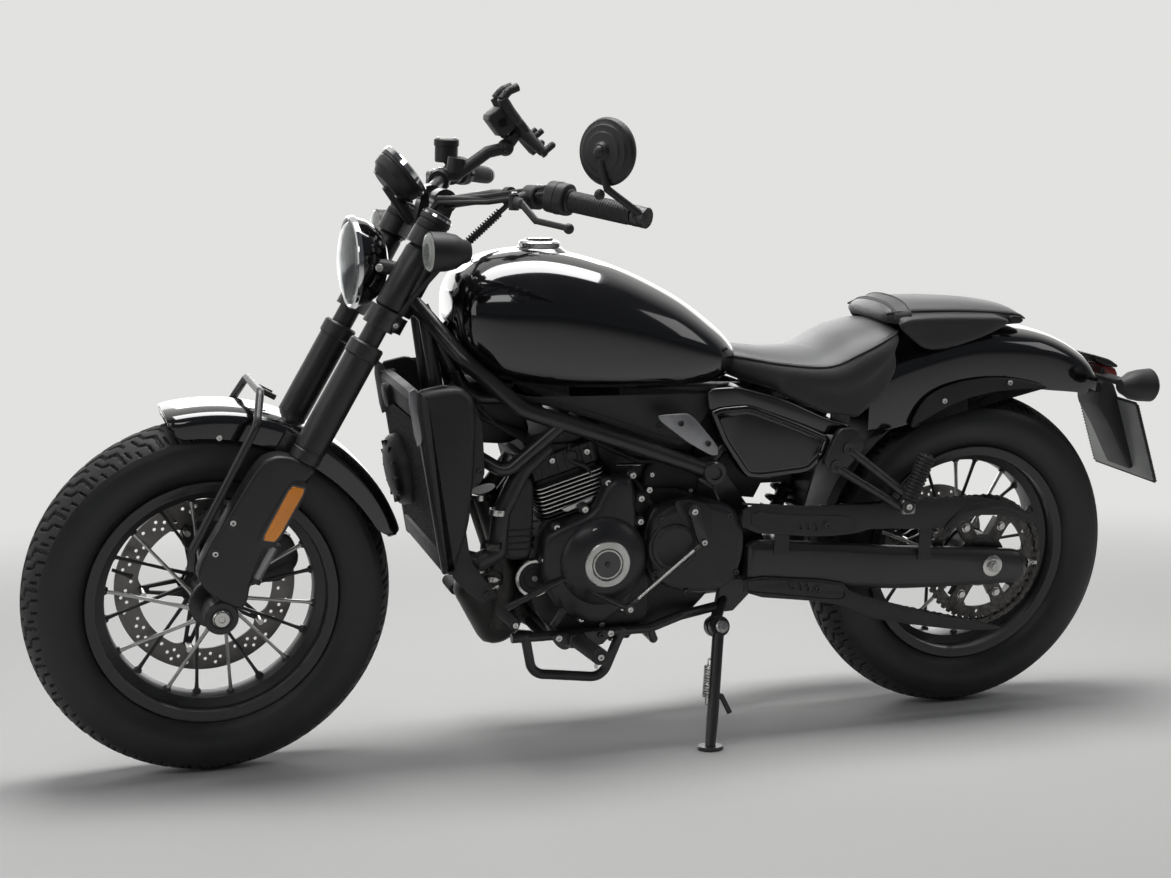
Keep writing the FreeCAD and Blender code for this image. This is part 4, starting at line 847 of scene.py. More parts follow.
def disc_shape(y, r, r_in, hub_half, hub_r, bore, count, side):
    """A drilled ring with its button-mounted carrier."""
    shape = Shape()
    holes = []
    rows = 3 if r > 130 else 2
    for i in range(count):
        a = tau * i / count
        for k in range(rows):
            t = (k + 0.5) / rows
            rr = r_in + 7 + (r - r_in - 14) * t
            bend = a + 0.07 * (k - 1) + (0.02 if i % 2 else 0)
            if (i + k) % 3 != 2:
                holes.append(ring_points(3.1, 12, (rr * cos(bend), rr * sin(bend))))
    inner = []
    for i in range(180):
        a = tau * i / 180
        wave = max(0, cos(5 * a)) ** 6
        inner.append(((r_in - 10 * wave) * cos(a), (r_in - 10 * wave) * sin(a)))
    shape.add("disc steel", cut_plate([ring_points(r, 144), inner] + holes, y - 2.4, y + 2.4))
    arms, buttons = [], []
    for i in range(5):
        a = 72 * i
        m = Matrix.Rotation(-radians(a), 4, "Y")
        arm = [(hub_r - 8, -20), (hub_r + 10, -16), (r_in - 14, -8), (r_in - 4, -7)]
        arm += [(r_in - 1, 0)] + [(x, -z) for x, z in reversed(arm)]
        gap = [(hub_r + 8, -8), (r_in - 22, -2.5), (r_in - 20, 0), (r_in - 22, 2.5), (hub_r + 8, 8),
            (hub_r + 4, 0)]
        arms.append(placed(cut_plate([arm, gap], y - 4.2 * side, y + 1.2 * side), m))
        buttons.append(facing(m @ vec(r_in - 7, y, 0), (0, side, 0), 0, 5.5))
    shape.add("disc arm black", *arms, washer((0, y - 3 * side, 0), (0, y + 3 * side, 0), hub_r + 2, bore),
        washer((0, y, 0), (0, copysign(hub_half, y), 0), hub_r - 4, bore))
    pin = lathe((0, 0, 0), (0, 0, 1),
        [(-7, 1.0), (0.9, 1.0), (1.0, 0.85), (1.0, 0.5), (0.7, 0.45), (0.7, 0)], 20)
    shape.repeat(pin, buttons, "bright steel")
    heads = [((hub_r - 12) * cos(radians(72 * i + 36)), y, (hub_r - 12) * sin(radians(72 * i + 36)))
        for i in range(5)]
    shape.bolts([((x, y + 3 * side, z), (0, side, 0), 5.5) for x, _, z in heads])
    return shape


def make_wheels():
    piece("front_wheel_cast", wheel_shape(50, 32, 52, 9.1, -10), ["front_wheel"], "front",
        "front_wheel")
    piece("rear_wheel_cast", wheel_shape(60, 42, 55, 10.1, -4), ["rear_wheel"], "rear",
        "rear_wheel")
    piece("front_disc_drilled", disc_shape(-62, 160, 120, 52.3, 44, 15.1, 36, -1),
        ["front_disc"], "front", "front_wheel", bevel=0.4, segments=1)
    piece("rear_disc_drilled", disc_shape(-78, 110, 80, 55.3, 44, 16.1, 26, -1),
        ["rear_disc"], "rear", "rear_wheel", bevel=0.4, segments=1)


# Fork and front fender

def slab(outline, y0, y1, r, steps):
    """A plate with quarter-round edges on both faces."""
    rings = []
    for k in range(steps + 1):
        a = pi / 2 * k / steps
        rings.append((y0 + r * (1 - cos(a)), shrink(outline, r * (1 - sin(a)))))
    for k in range(steps, -1, -1):
        a = pi / 2 * k / steps
        rings.append((y1 - r * (1 - cos(a)), shrink(outline, r * (1 - sin(a)))))
    return loft([[(x, y, z) for x, z in ring] for y, ring in rings])


def box_round(x0, x1, y0, y1, z0, z1, r=3.0):
    corner = [(x0 + r, z0), (x1 - r, z0), (x1, z0 + r), (x1, z1 - r), (x1 - r, z1), (x0 + r, z1),
        (x0, z1 - r), (x0, z0 + r)]
    return slab(corner, y0, y1, r * 0.7, 3)


LEG_OUTLINE = ((78, 51), (74, 200), (70, 268), (52, 290), (24, 300), (-25, 300), (-13, 268), (-5, 210),
    (-9, 120), (-14, 80), (-31, 31), (0, 22), (43, 30))


def leg_form():
    outline = rounded(LEG_OUTLINE, 2, 0.22)
    return join(slab(outline, 84, 132, 7, 5), lathe((0, 105, 18), (0, 0, 1),
        [(0, 20), (4, 24), (280, 24), (284, 22), (284, 19.6), (270, 19.5)], 48),
        lathe((0, 83, 0), (0, 1, 0), [(0, 24), (2, 27), (48, 29), (51, 27), (51, 19), (49.5, 17)], 48),
        slab(rounded(((2, 138), (-24, 146), (-25, 273), (12, 268), (14, 146)), 2, .2), 112, 133, 1.2, 2))


def make_fork():
    lower = Shape().add("fork black", both(leg_form()))
    seats = [(62, 156), (63, 96)]
    lower.add("fork black", both(join(*[washer((x, 128, z), (x, 133, z), 11, 6.5, 24) for x, z in seats])))
    for side in (1, -1):
        lower.side_bolts(side * 130, side, 5.2, seats)
        lower.bolts([((x, side * 118, 18), (0, 0, -1), 4) for x in (-18, 18)])
    lower.add("cast grey", rod((-22, 112, 82), (-22, 112, 148), 11.5, 32))
    lower.add("fork black", rod((-22, 112, 76), (-22, 112, 84), 14, 32),
        rod((-22, 112, 146), (-22, 112, 153), 13, 32))
    piece("fork_legs", lower, ["fork_lowers"], "fork", "steering")

    upper = Shape()
    for side in (1, -1):
        y = side * 105
        upper.add("fork black", lathe((0, y, 0), (0, 0, 1), [(240, 19), (560, 19), (715, 19), (747, 19)], 48))
        cover = [(300.4, 22), (300.4, 27), (306, 27.5), (318, 27.5), (319, 26.6), (322, 26.6), (323, 27.5),
            (500, 27.5), (503, 30.5), (525, 30.5), (528, 28), (528, 19.3)]
        upper.add("fork black", lathe((0, y, 0), (0, 0, 1), cover, 64), lathe((0, y, 0), (0, 0, 1),
            [(595.5, 19.2), (596, 21), (600, 24), (706, 24), (712, 21), (714.5, 19.2)], 48))
        cap = [(745.4, 26), (748, 27.5), (757, 27.5), (758, 26), (761, 26), (762, 27.5), (770, 27.3),
            (778, 24), (780, 19), (779, 12), (779, 0)]
        upper.add("soft rubber", lathe((0, y, 0), (0, 0, 1), cap, 64))
        upper.add("chrome",
            lathe((0, y, 0), (0, 0, 1), [(770.5, 25), (770.5, 27.6), (774.5, 26.9), (774.5, 24)], 64, True))
        upper.bolts([((0, y, 779), (0, 0, 1), 8)], "hex", "dark steel")
    piece("fork_uppers", upper, ["fork_tubes"], "fork", "steering")

    clamp = Shape()
    for low, high in ((560, 595), (715, 745)):
        z = (low + high) / 2
        clamp.bolts([((-20, s * 129, z), (0, s, 0), 4.5) for s in (1, -1)])
        clamp.add("frame black", *sides(lambda s: rod((-20, s * 92, z), (-20, s * 129.2, z), 8, 20)))
    clamp.add("bright steel", lathe((-45, 0, 744), (0, 0, 1), [(0, 24), (6, 24), (8, 22), (8, 20)], 48))
    clamp.bolts([((-45, 0, 751), (0, 0, 1), 14)], "hex", "dark steel")
    piece("clamp_bolts", clamp, space="fork", body="steering")

    marks = Shape()
    outline = rounded(((7, 149), (-20, 157), (-21, 264), (8, 258)), 2, 0.12)
    marks.add("sealer grey", both(slab(outline, 132.4, 134.6, 0.8, 2)))
    marks.add("amber", both(slab(shrink(outline, 2.2), 132.5, 138, 1.6, 3)))
    piece("reflector_lenses", marks, ["fork_reflectors"], "fork", "steering")

    axle = Shape()
    axle.add("bright steel", rod((0, -137, 0), (0, 137, 0), 9, 32))
    for side in (1, -1):
        axle.add("bright steel", lathe((0, side * 132, 0), (0, side, 0),
            [(0, 15), (3, 15), (5, 13), (7, 12.5), (7, 6), (1, 6)], 40))
        axle.bolts([((0, side * 133, 0), (0, side, 0), 6.5)], "hex")
        axle.add("frame black",
            lathe((0, side * 54, 0), (0, side, 0), [(0, 10), (0, 20), (28, 20), (28, 10)], 40, True))
    piece("axle_front", axle, ["front_axle"], "front", "steering")

    body = Shape()
    outline = rounded(((-38, 66), (-34, 110), (-62, 142), (-90, 150), (-128, 118), (-126, 74), (-84, 44)),
        2, 0.2)
    body.add("cover grey", slab(outline, -88, -67, 4, 3)).add("cover grey", slab(outline, -57.5, -46, 4, 3))
    body.add("cover grey", slab(((-44, 112), (-66, 138), (-92, 148), (-96, 140), (-60, 110)), -70,
        -55, 1.5, 2), *[lathe((x, -87, z), (0, -1, 0), [(0, 17), (5, 16), (7, 12), (7, 0)], 40) for x,
        z in ((-68, 104), (-100, 98))])
    body.bolts([((-46, -88, 84), (0, -1, 0), 5), ((-112, -88, 124), (0, -1, 0), 5)])
    body.add("cover grey", slab(((12, 62), (12, 106), (-50, 102), (-56, 64)), -83.5, -74, 2, 2))
    body.bolts([((-4, -83, 84), (0, -1, 0), 5.5)])
    piece("caliper_front", body, ["front_caliper"], "fork", "steering")

    piece("fender_front", Shape().add("gloss black", fender_form()), ["front_fender"],
        "front", "steering", sharp=50)
    extra = Shape()
    for side in (1, -1):
        extra.side_bolts(side * 76.5, side, 5, ((-8, 302), (-62, 300)))
    piece("fender_bolts", extra, space="front", body="steering")


def fender_form():
    """Arched skin over the front tyre, with a rolled edge and rounded ends."""
    start, end, steps = 77.0, 161.0, 64
    rows = []
    for i in range(steps + 1):
        t = i / steps
        a = radians(start + (end - start) * t)
        tail = min(1.0, t / 0.05, (1 - t) / 0.07)
        ease = sqrt(max(0.0, 1 - (1 - tail) ** 2))
        skirt = 351 - 6 - (50 - 14 * abs(2 * t - 0.95) ** 2.2) * (0.25 + 0.75 * ease)
        half = 76.0 * (0.90 + 0.10 * ease)
        row = []
        for lift, turnover in ((0.0, 1), (3.0, -1)):
            section = []
            for k in range(25):
                b = pi * k / 24
                y = half * copysign(abs(cos(b)) ** 0.62, cos(b))
                r = 351 - 26 * (1 - sin(b) ** 0.9)
                section.append((y * (1 - lift / 76), r - lift))
            section = [(section[0][0], skirt)] + section + [(section[-1][0], skirt)]
            if lift == 0:
                section[0] = (section[0][0] + 1.0, skirt)
                section[-1] = (section[-1][0] - 1.0, skirt)
            row += section[::turnover]
        rows.append([(r * cos(a), y, r * sin(a)) for y, r in row])
    return loft(rows)


# Lamps and dial on the fork

def make_lamps():
    c, d = (1232, 0, 907), (1, 0, 0)
    shell = Shape()
    shell.add("gloss black", lathe(c, d, [(-56, 0), (-56, 30), (-53, 40), (-46, 54), (-34, 66), (-18, 75),
        (-4, 78), (4, 79), (4, 74), (-6, 72), (-30, 60), (-50, 30), (-52, 0)], 72))
    shell.add("chrome", lathe(c, d, [(-1, 74), (-1, 81), (2, 81.5), (7, 80.5), (9, 77), (7, 73.5)], 72, True))
    shell.add("reflector", lathe(c, d, [(4, 73.5), (-8, 71.5), (-24, 60), (-34, 42), (-37, 24), (-36, 0),
        (-40, 0), (-41, 26), (-38, 46), (-28, 64), (-10, 75), (4, 76)], 72))
    shell.add("cover grey", lathe(c, d, [(-34, 26), (-4, 27), (0, 24), (-2, 21), (-30, 20)], 48, True),
        *[block(1200, 1226, y - 1.2, y + 1.2, 855, 959) for y in (-36, 36)])
    shell.add("reflector", lathe(c, d, [(-32, 0), (-10, 18), (-4, 20), (0, 14), (2, 0)], 40))
    shell.add("matte black", *sides(lambda s: lathe((1196, s * 62, 907), (-0.73, s * 0.68, 0),
        [(0, 13), (18, 13), (22, 11), (38, 11)], 28)))
    shell.bolts([((1204, s * 76, 907), (0, s, 0), 7) for s in (1, -1)])
    shell.bolts([((1236, 0, 828.5), (0, 0, -1), 3)])
    piece("lamp_shell", shell, ["headlight"], "bars", "steering")
    dome = [(2, 73.2), (7, 72.2), (14, 62), (19, 44), (22.5, 22), (23.5, 0), (20.5, 0), (19.5, 22),
        (16, 43), (11, 60), (5, 69.5), (1, 70)]
    piece("lamp_lens", Shape().add("clear lens", lathe(c, d, dome, 72)), ["headlight_lens"],
        "bars", "steering", sharp=60)

    place, out = (1140, 0, 1066), (-0.77, 0, 0.64)
    dial = Shape()
    dial.add("matte black", lathe(place, out, [(-44, 0), (-44, 30), (-40, 36), (-34, 40), (-30, 46),
        (-16, 49), (-15, 47.5), (-12, 47.5), (-11, 50), (-4, 50.5), (-2, 48), (-2, 0)], 72))
    dial.add("chrome",
        lathe(place, out, [(-5, 48), (-5, 52), (3, 52), (5, 50), (5, 46.5), (2, 46), (-1, 46)], 72, True))
    dial.add("dial face",
        lathe(place, out, [(-1.8, 46.3), (1.4, 46.2), (2.4, 30), (3, 0), (-1.8, 0)][::-1], 64))
    ticks = []
    m = facing(place, out)
    for i in range(28):
        a = radians(-225 + 270 * i / 27)
        ticks.append(m @ Matrix.Rotation(a, 4, "Z") @ move((39, 0, 2.4)))
    dial.repeat(block(-3, 3, -0.6, 0.6, 0, 0.5), ticks, "sealer grey")
    dial.add("matte black", rod((1172, 0, 1040), (1128, 0, 978), 11, 24))
    dial.bolts([(m @ vec(32 * cos(a), 32 * sin(a), -44), -Vector(out), 3.4) for a in (0.6, 2.7, 4.8)])
    piece("dial_unit", dial, ["instrument"], "bars", "steering")

    lights = Shape()
    for s in (1, -1):
        p = (1150, s * 190, 947)
        lights.add("matte black", lathe(p, d, [(-73, 0), (-73, 15), (-70, 18), (-60, 21), (-48, 29),
            (-30, 32.5), (-6, 33.6), (-4, 33.8), (-4, 31), (-14, 30), (-14, 0)], 48))
        lights.add("lamp white", lathe(p, d, [(-15, 0), (-15, 24), (-5, 30), (-5, 27), (-9, 0)], 40))
        lights.add("signal lens",
            lathe(p, d, [(-7, 31.6), (-3, 32.6), (1, 29), (3.6, 18), (4, 0), (2.4, 0), (-7, 29)], 48))
        lights.add("soft rubber", sweep([(1127, s * 178, 948), (1122, s * 160, 951), (1116, s * 133, 958)],
            [8, 9, 10.5], 20), washer((1122, s * 148, 955), (1120, s * 144, 956), 12.5, 4, 24))
    piece("signal_lamps", lights, ["front_signals"], "bars", "steering")


# Handlebar fittings

BAR = [Vector(p) for p in ((1082, 75, 1018), (1030, 165, 1038), (962, 290, 1045), (872, 404, 1029))]
GRIP_DIR = unit(BAR[3] - BAR[2])
BAR_DIR = unit(BAR[2] - BAR[1])


def flip(v):
    return vec(v[0], -v[1], v[2])


def grip_profile(length):
    rows = [(0, 12), (0, 19.5), (3, 20), (5, 18.5), (6, 16.6)]
    count = int((length - 14) / 4.6)
    for i in range(count):
        x = 8 + i * 4.6
        rows += [(x, 16.7), (x + 0.8, 17.4), (x + 2.6, 17.4), (x + 3.4, 16.7)]
    return rows + [(length - 3, 16.8), (length - 1, 16), (length, 12)]


def make_bars():
    grips = Shape()
    a = BAR[2] + GRIP_DIR * 24
    length = (BAR[3] - a).length - 0.4
    for turn in (Vector, flip):
        base, d = turn(a), turn(GRIP_DIR)
        grips.add("soft rubber", lathe(base, d, grip_profile(length), 40))
        end = turn(BAR[3] + GRIP_DIR * 0.4)
        grips.add("frame black", lathe(end, d,
            [(0, 15.5), (1, 17), (9.5, 17), (12.5, 15.5), (12.5, 8), (10.5, 7.4), (10.5, 0)], 48))
        grips.bolts([(turn(BAR[3] + GRIP_DIR * 10.6), d, 5)])
    piece("grip_pair", grips, ["grips"], "bars", "steering")

    hold = BAR[1] + BAR_DIR * 92
    box = Shape()
    for turn, is_left in ((Vector, True), (flip, False)):
        m = facing(turn(BAR[2] + GRIP_DIR * 6), turn(GRIP_DIR))
        case = rounded(((-24, -19), (-10, -25), (14, -25), (25, -16), (27, 4), (20, 22), (4, 28), (-14, 26),
            (-25, 10)), 2, 0.25)
        swap = Matrix(((1, 0, 0, 0), (0, 0, -1, 0), (0, 1, 0, 0), (0, 0, 0, 1)))
        box.add("matte black", placed(slab(case, -18, 18, 3, 3), m @ swap))
        box.add("soft rubber", placed(slab(shrink(case, -0.8), -0.5, 0.5, 0.2, 1), m @ swap))
        for k, (up, size) in enumerate(((8, 5), (-6, 4))):
            spot = turn(BAR[2] + GRIP_DIR * (2 + 5 * k) + vec(-22, -14, up))
            box.add("red lens" if (k == 0 and not is_left) else "soft rubber", box_at(spot, size, 4))
        box.add("matte black", lathe(turn(hold - BAR_DIR * 14), turn(BAR_DIR),
            [(0, 12), (0, 18), (2, 20), (26, 20), (28, 18), (28, 12)], 40))
        pivot = hold + vec(34, 0, -8)
        box.add("matte black",
            sweep([turn(p) for p in (hold + vec(12, 0, 0), hold + vec(24, 0, -4), pivot)], [12, 11, 11],
            20), rod(turn(pivot + vec(0, 0, -13)), turn(pivot + vec(0, 0, 13)), 8.5, 24))
        box.bolts([(turn(pivot + vec(0, 0, 13)), (0, 0, 1), 5), (turn(hold + vec(-8, 0, 18)), (0, 0, 1), 4)])
        path = route([turn(p)
            for p in (pivot, vec(992, 262, 1022), vec(972, 330, 1014), vec(976, 388, 1007))], 40, 6)
        n = len(path)
        box.add("matte black", sweep(path, [9.5 - 4.6 * (i / n) ** 0.7 for i in range(n)], 20, 0.55,
            (0, 0, 1)), ball(turn(vec(976, 391, 1006.5)), 8.6, 24))
    cup = hold + vec(12, 0, 44)
    box.add("matte black", lathe(flip(cup), (0, 0, 1),
        [(-22, 0), (-22, 20), (-20, 22), (8, 22), (9, 24), (20, 24), (22, 22), (22, 0)], 48),
        rod(flip(hold + vec(2, 0, 14)), flip(hold + vec(11, 0, 26)), 8, 24))
    box.bolts([(flip(cup + vec(s * 14, s * 8, 22)), (0, 0, 1), 3.4) for s in (1, -1)])
    for k, (y, z) in enumerate(((0, 15), (9, 12), (-9, 14), (0, 21))):
        low = vec(1150 - 6 * k, 62 - 10 * k, 905 - 8 * k)
        path = route([BAR[2] + vec(6, -6 + y, z - 3), BAR[1] + vec(8, y, z + 2), BAR[0] + vec(14, y, z + 6),
            vec(1136, 66 - 7 * k, 1014 - 4 * k), low + vec(2, 2, 34), low], 26, 8)
        box.add("soft rubber", sweep(path, 4.4 if k else 5.2, 14))
    box.add("soft rubber", *[washer(p - BAR_DIR * 5, p + BAR_DIR * 5, 15.4, 11.2, 28)
        for p in (BAR[1].lerp(BAR[2], 0.25), BAR[1].lerp(BAR[2], 0.62))])
    piece("bar_fittings", box, ["bar_controls"], "bars", "steering")
    make_mirror()
    make_phone_holder()


def box_at(spot, half, deep):
    x, y, z = spot
    return box_round(x - deep, x + deep, y - half, y + half, z - half * 0.7, z + half * 0.7, 1.2)


def make_mirror():
    c, back = vec(925, 412, 1128), unit(vec(0.85, 0.53, 0))
    shape = Shape()
    shape.add("matte black",
        lathe(c, back, [(-6, 0), (-6, 49), (-8, 50), (-8, 51.5), (-4, 53), (0, 53), (5, 50), (7, 43),
        (8, 42), (9, 41), (10, 33), (11, 31), (12, 30), (13, 20), (14, 16), (20, 12), (20, 0)], 80))
    shape.add("mirror glass", lathe(c, back, [(-6.5, 0), (-6.5, 49.2), (-5.5, 49.2), (-5.5, 0)], 64))
    root = BAR[3] + GRIP_DIR * 14
    shape.add("frame black",
        lathe(root, GRIP_DIR, [(-0.6, 12), (-0.6, 16), (0.6, 17), (10.6, 17), (12, 15.6), (12, 0)], 40))
    path = route([root + GRIP_DIR * 4 + vec(0, 6, 0), (938, 424, 1062), (948, 427, 1110), c + back * 16],
        14, 8)
    shape.add("matte black", sweep(path, 6, 20, 1.0), ball(c + back * 17, 10.5, 24),
        ball((939, 424, 1063), 8.5, 20))
    piece("mirror_round", shape, ["mirror"], "bars", "steering")


def make_phone_holder():
    shape = Shape()
    foot = vec(1032, -165, 1038)
    d = unit(foot - vec(1082, -75, 1018))
    shape.add("matte black", washer(foot - d * 11, foot + d * 11, 19, 11.3, 36))
    shape.bolts([(foot + vec(0, -4, 19), (0, 0, 1), 4.4)])
    arm = route([foot + vec(-4, 0, 12), (1010, -162, 1062), (936, -152, 1074), (913, -150, 1098)], 18, 10)
    shape.add("matte black", sweep(arm, 11.5, 24), ball((1004, -161, 1064), 14, 28),
        washer((1006, -161, 1050), (1002, -161, 1078), 16, 7, 32))
    x_dir, n = vec(-0.637, 0, -0.771), vec(-0.771, 0, 0.637)
    m = axes_at((885, -150, 1139), x_dir, vec(0, -1, 0), n)
    forms = [lathe((0, 0, 0), (0, 0, 1), [(-12, 0), (-12, 19), (-9, 25), (5, 26), (8, 22), (8, 0)], 40),
        rod((6, 0, -10), (14, 0, -40), 11, 28), ball((14, 0, -46), 16, 28), washer((3, 0, -26), (7, 0, -34),
        15.5, 10, 32), lathe((14, 0, -46), (0, 1, 0), [(-24, 0), (-24, 8), (24, 8), (24, 0)], 24),
        box_round(-56, -6, -22, 22, -44, -8, 6), rod((-30, -22, -26), (-30, 22, -26), 9, 24)]
    for s in (1, -1):
        forms += [sweep([(4, s * 6, -2), (30, s * 18, -2), (60, s * 31, 0)], [13, 12, 9], 18),
            sweep([(-4, s * 6, -3), (-36, s * 16, -4), (-66, s * 22, 0)], [14, 13, 10], 18),
            sweep(route([(-64, s * 22, -2), (-76, s * 21, 8), (-76, s * 19, 26), (-62, s * 18, 37)],
            10, 10), 8, 16), lathe((60, s * 31, -6), (0, 0, 1),
            [(0, 0), (0, 8), (8, 8.4), (12, 6.6), (30, 6.4), (33, 4), (33, 0)], 24),
            lathe((30, s * 18, -6), (0, 0, 1), [(0, 0), (0, 9), (9, 9), (10, 5.8), (32, 5.6), (34, 0)], 24)]
    shape.add("matte black", placed(join(*forms), m))
    shape.add("bright steel",
        placed(bolts([((x, y, 7.5), (0, 0, 1), 3.4) for x, y in ((-14, 0), (8, 12), (8, -12))]), m))
    piece("phone_clamp", shape, ["phone_holder"], "bars", "steering")


# Tank, seats, rear fender and covers. Rows are x, low, belly, top and both half widths, low edge and belly

TANK_ROWS = ((1064, 798, 830, 858, 34, 64), (1042, 752, 820, 893, 62, 110), (985, 712, 808, 923, 84, 136),
    (890, 696, 800, 931, 98, 147), (770, 690, 780, 905, 98, 145), (650, 688, 752, 852, 88, 127),
    (565, 694, 735, 794, 66, 96), (519, 716, 734, 750, 34, 50))
SEAT_ROWS = ((560, 716, 726, 738, 28, 42), (525, 694, 716, 750, 54, 72), (445, 672, 700, 742, 84, 106),
    (360, 664, 690, 745, 104, 132), (300, 676, 704, 776, 108, 138), (240, 722, 740, 793, 98, 128),
    (198, 760, 772, 790, 66, 92))
PILLION_ROWS = ((234, 796, 804, 818, 60, 82), (190, 790, 804, 834, 70, 96), (60, 786, 802, 834, 68, 94),
    (-50, 785, 796, 822, 60, 84), (-90, 786, 791, 799, 44, 64))


def row_at(rows, t):
    """The row at t from 0 to 1 along a smooth curve through the rows."""
    p = np.array(rows, float)
    p = np.vstack([2 * p[0] - p[1], p, 2 * p[-1] - p[-2]])
    k = min(int(t * (len(rows) - 1)), len(rows) - 2)
    f = t * (len(rows) - 1) - k
    a, b, c, d = p[k:k + 4]
    return b + 0.5 * f * (c - a + f * (2 * a - 5 * b + 4 * c - d + f * (3 * (b - c) + d - a)))


def row_at_x(rows, x):
    p = np.array(rows, float)[::-1]
    return [float(np.interp(x, p[:, 0], p[:, i])) for i in range(6)]


def bow(a, power):
    return copysign(abs(a) ** power, a)


def hull_point(row, degrees, out=0.0):
    """A point on the upper half of a hull's section: 0 at the left belly, 90 on top."""
    x, _, belly, top, _, half = row
    a = radians(degrees)
    return (x, (half + out) * bow(cos(a), 0.85), belly + (top + out - belly) * sin(a) ** 0.9)


def hull_ring(row, cols):
    x, low, belly, _, half_low, half = row
    ring = [hull_point(row, 180 * k / cols) for k in range(cols + 1)]
    lower = []
    for k in range(1, 7):
        a = pi / 12 * k
        lower.append((half_low + (half - half_low) * bow(cos(a), 0.8), belly - (belly - low) * sin(a) ** 0.8))
    ring += [(x, -y, z) for y, z in lower] + [(x, y, z) for y, z in reversed(lower)]
    return ring


def hull(rows, count, cols, tip):
    """A rounded body through the rows, its ends turned in to a radius."""
    rings = [np.array(hull_ring(row_at(rows, i / count), cols)) for i in range(count + 1)]
    sign = 1 if rows[0][0] > rows[-1][0] else -1
    ends = []
    for ring, way in ((rings[0], sign), (rings[-1], -sign)):
        mid = ring.mean(axis=0)
        reach = np.abs(ring - mid)[:, 1:].max(axis=0).min()
        part = []
        for k in (1, 2, 3, 4):
            a = pi / 2 * k / 4
            grown = mid + (ring - mid) * (1 - (1 - cos(a)) * min(0.85, tip / reach))
            grown[:, 0] += way * (sin(a) - 1) * tip * 0.6 + way * 0.2
            part.append(grown)
        ends.append(part)
    inner = [r for r in rings if abs(r[0][0] - rings[0][0][0]) > tip * 0.6
        and abs(r[0][0] - rings[-1][0][0]) > tip * 0.6]
    return loft(ends[0][::-1] + inner + ends[1])


def edge_run(rows, side, out, up, start, end, count):
    line = [row_at(rows, start + (end - start) * i / count) for i in range(count + 1)]
    return [(r[0], side * (r[4] + out), r[1] + up) for r in line]


def make_tank():
    tank = Shape().add("gloss black", hull(TANK_ROWS, 90, 40, 12))
    for side in (1, -1):
        tank.add("gloss black", sweep(edge_run(TANK_ROWS, side, 3, 1.5, 0.03, 0.98, 80), 3.2, 12, 0.7))
    tank.add("gloss black",
        lathe((893, 0, 900), (0, 0, 1), [(0, 56), (22, 54), (27, 48), (29, 43), (32.4, 41), (32.4, 0)], 72))
    tank.add("frame black", both(join(block(870, 904, 62, 86, 666, 712), block(690, 720, 76, 88, 657, 708))))
    knob = [(0, 9), (3.5, 9), (6, 6.5), (6, 3.2), (4, 3), (4, 0)]
    tank.add("bright steel", *sides(lambda s: lathe((1021, s * 107, 850), (.35, s * .88, .3), knob, 28)))
    piece("tank", tank, ["fuel_tank"], sharp=60)

    cap = Shape().add("chrome", lathe((893, 0, 932.8), (0, 0, 1),
        [(0, 0), (0, 36), (1, 37), (8, 37), (10, 35.5), (11.5, 33), (12, 28), (11, 26), (11, 0)], 72))
    ribs = [facing((893, 0, 937), (0, 0, 1)) @ Matrix.Rotation(tau * i / 60, 4, "Z") @ move((37, 0, 0))
        for i in range(60)]
    cap.repeat(block(-1.6, 1.0, -1.0, 1.0, -3.4, 3.4), ribs, "chrome")
    cap.add("bright steel", box_round(868, 918, -7, 7, 942, 949, 3))
    piece("cap", cap, ["filler_cap"])


def smooth_faces(obj, rounds):
    def change(work):
        for _ in range(rounds):
            bmesh.ops.smooth_vert(work, verts=work.verts, factor=0.5, use_axis_x=True, use_axis_y=True,
                use_axis_z=True)
    with_bmesh(obj.data, change)


def swell(obj, hold, reach, pressure, frames):
    """Lets a cover fill out over its padding by cloth simulation; hold gives each point's grip, 0 to 1."""
    start = np.array([v.co for v in obj.data.vertices])
    grip = obj.vertex_groups.new(name="held")
    for i, p in enumerate(start):
        grip.add([i], hold(p), "REPLACE")
    cloth = obj.modifiers.new("Cover", "CLOTH")
    cloth.settings.use_pressure = True
    cloth.settings.uniform_pressure_force = pressure
    cloth.settings.effector_weights.gravity = 0.0
    cloth.settings.vertex_group_mass = "held"
    cloth.settings.pin_stiffness = 1.0
    cloth.point_cache.frame_start, cloth.point_cache.frame_end = 1, frames
    scene = bpy.context.scene
    for f in range(1, frames + 1):
        scene.frame_set(f)
    settle(obj)
    scene.frame_set(1)
    end = np.array([v.co for v in obj.data.vertices])
    step = end - start
    length = np.linalg.norm(step, axis=1, keepdims=True)
    end = start + step * np.minimum(1.0, reach / np.maximum(length, 1e-9))
    obj.data.vertices.foreach_set("co", end.ravel())
    obj.vertex_groups.clear()


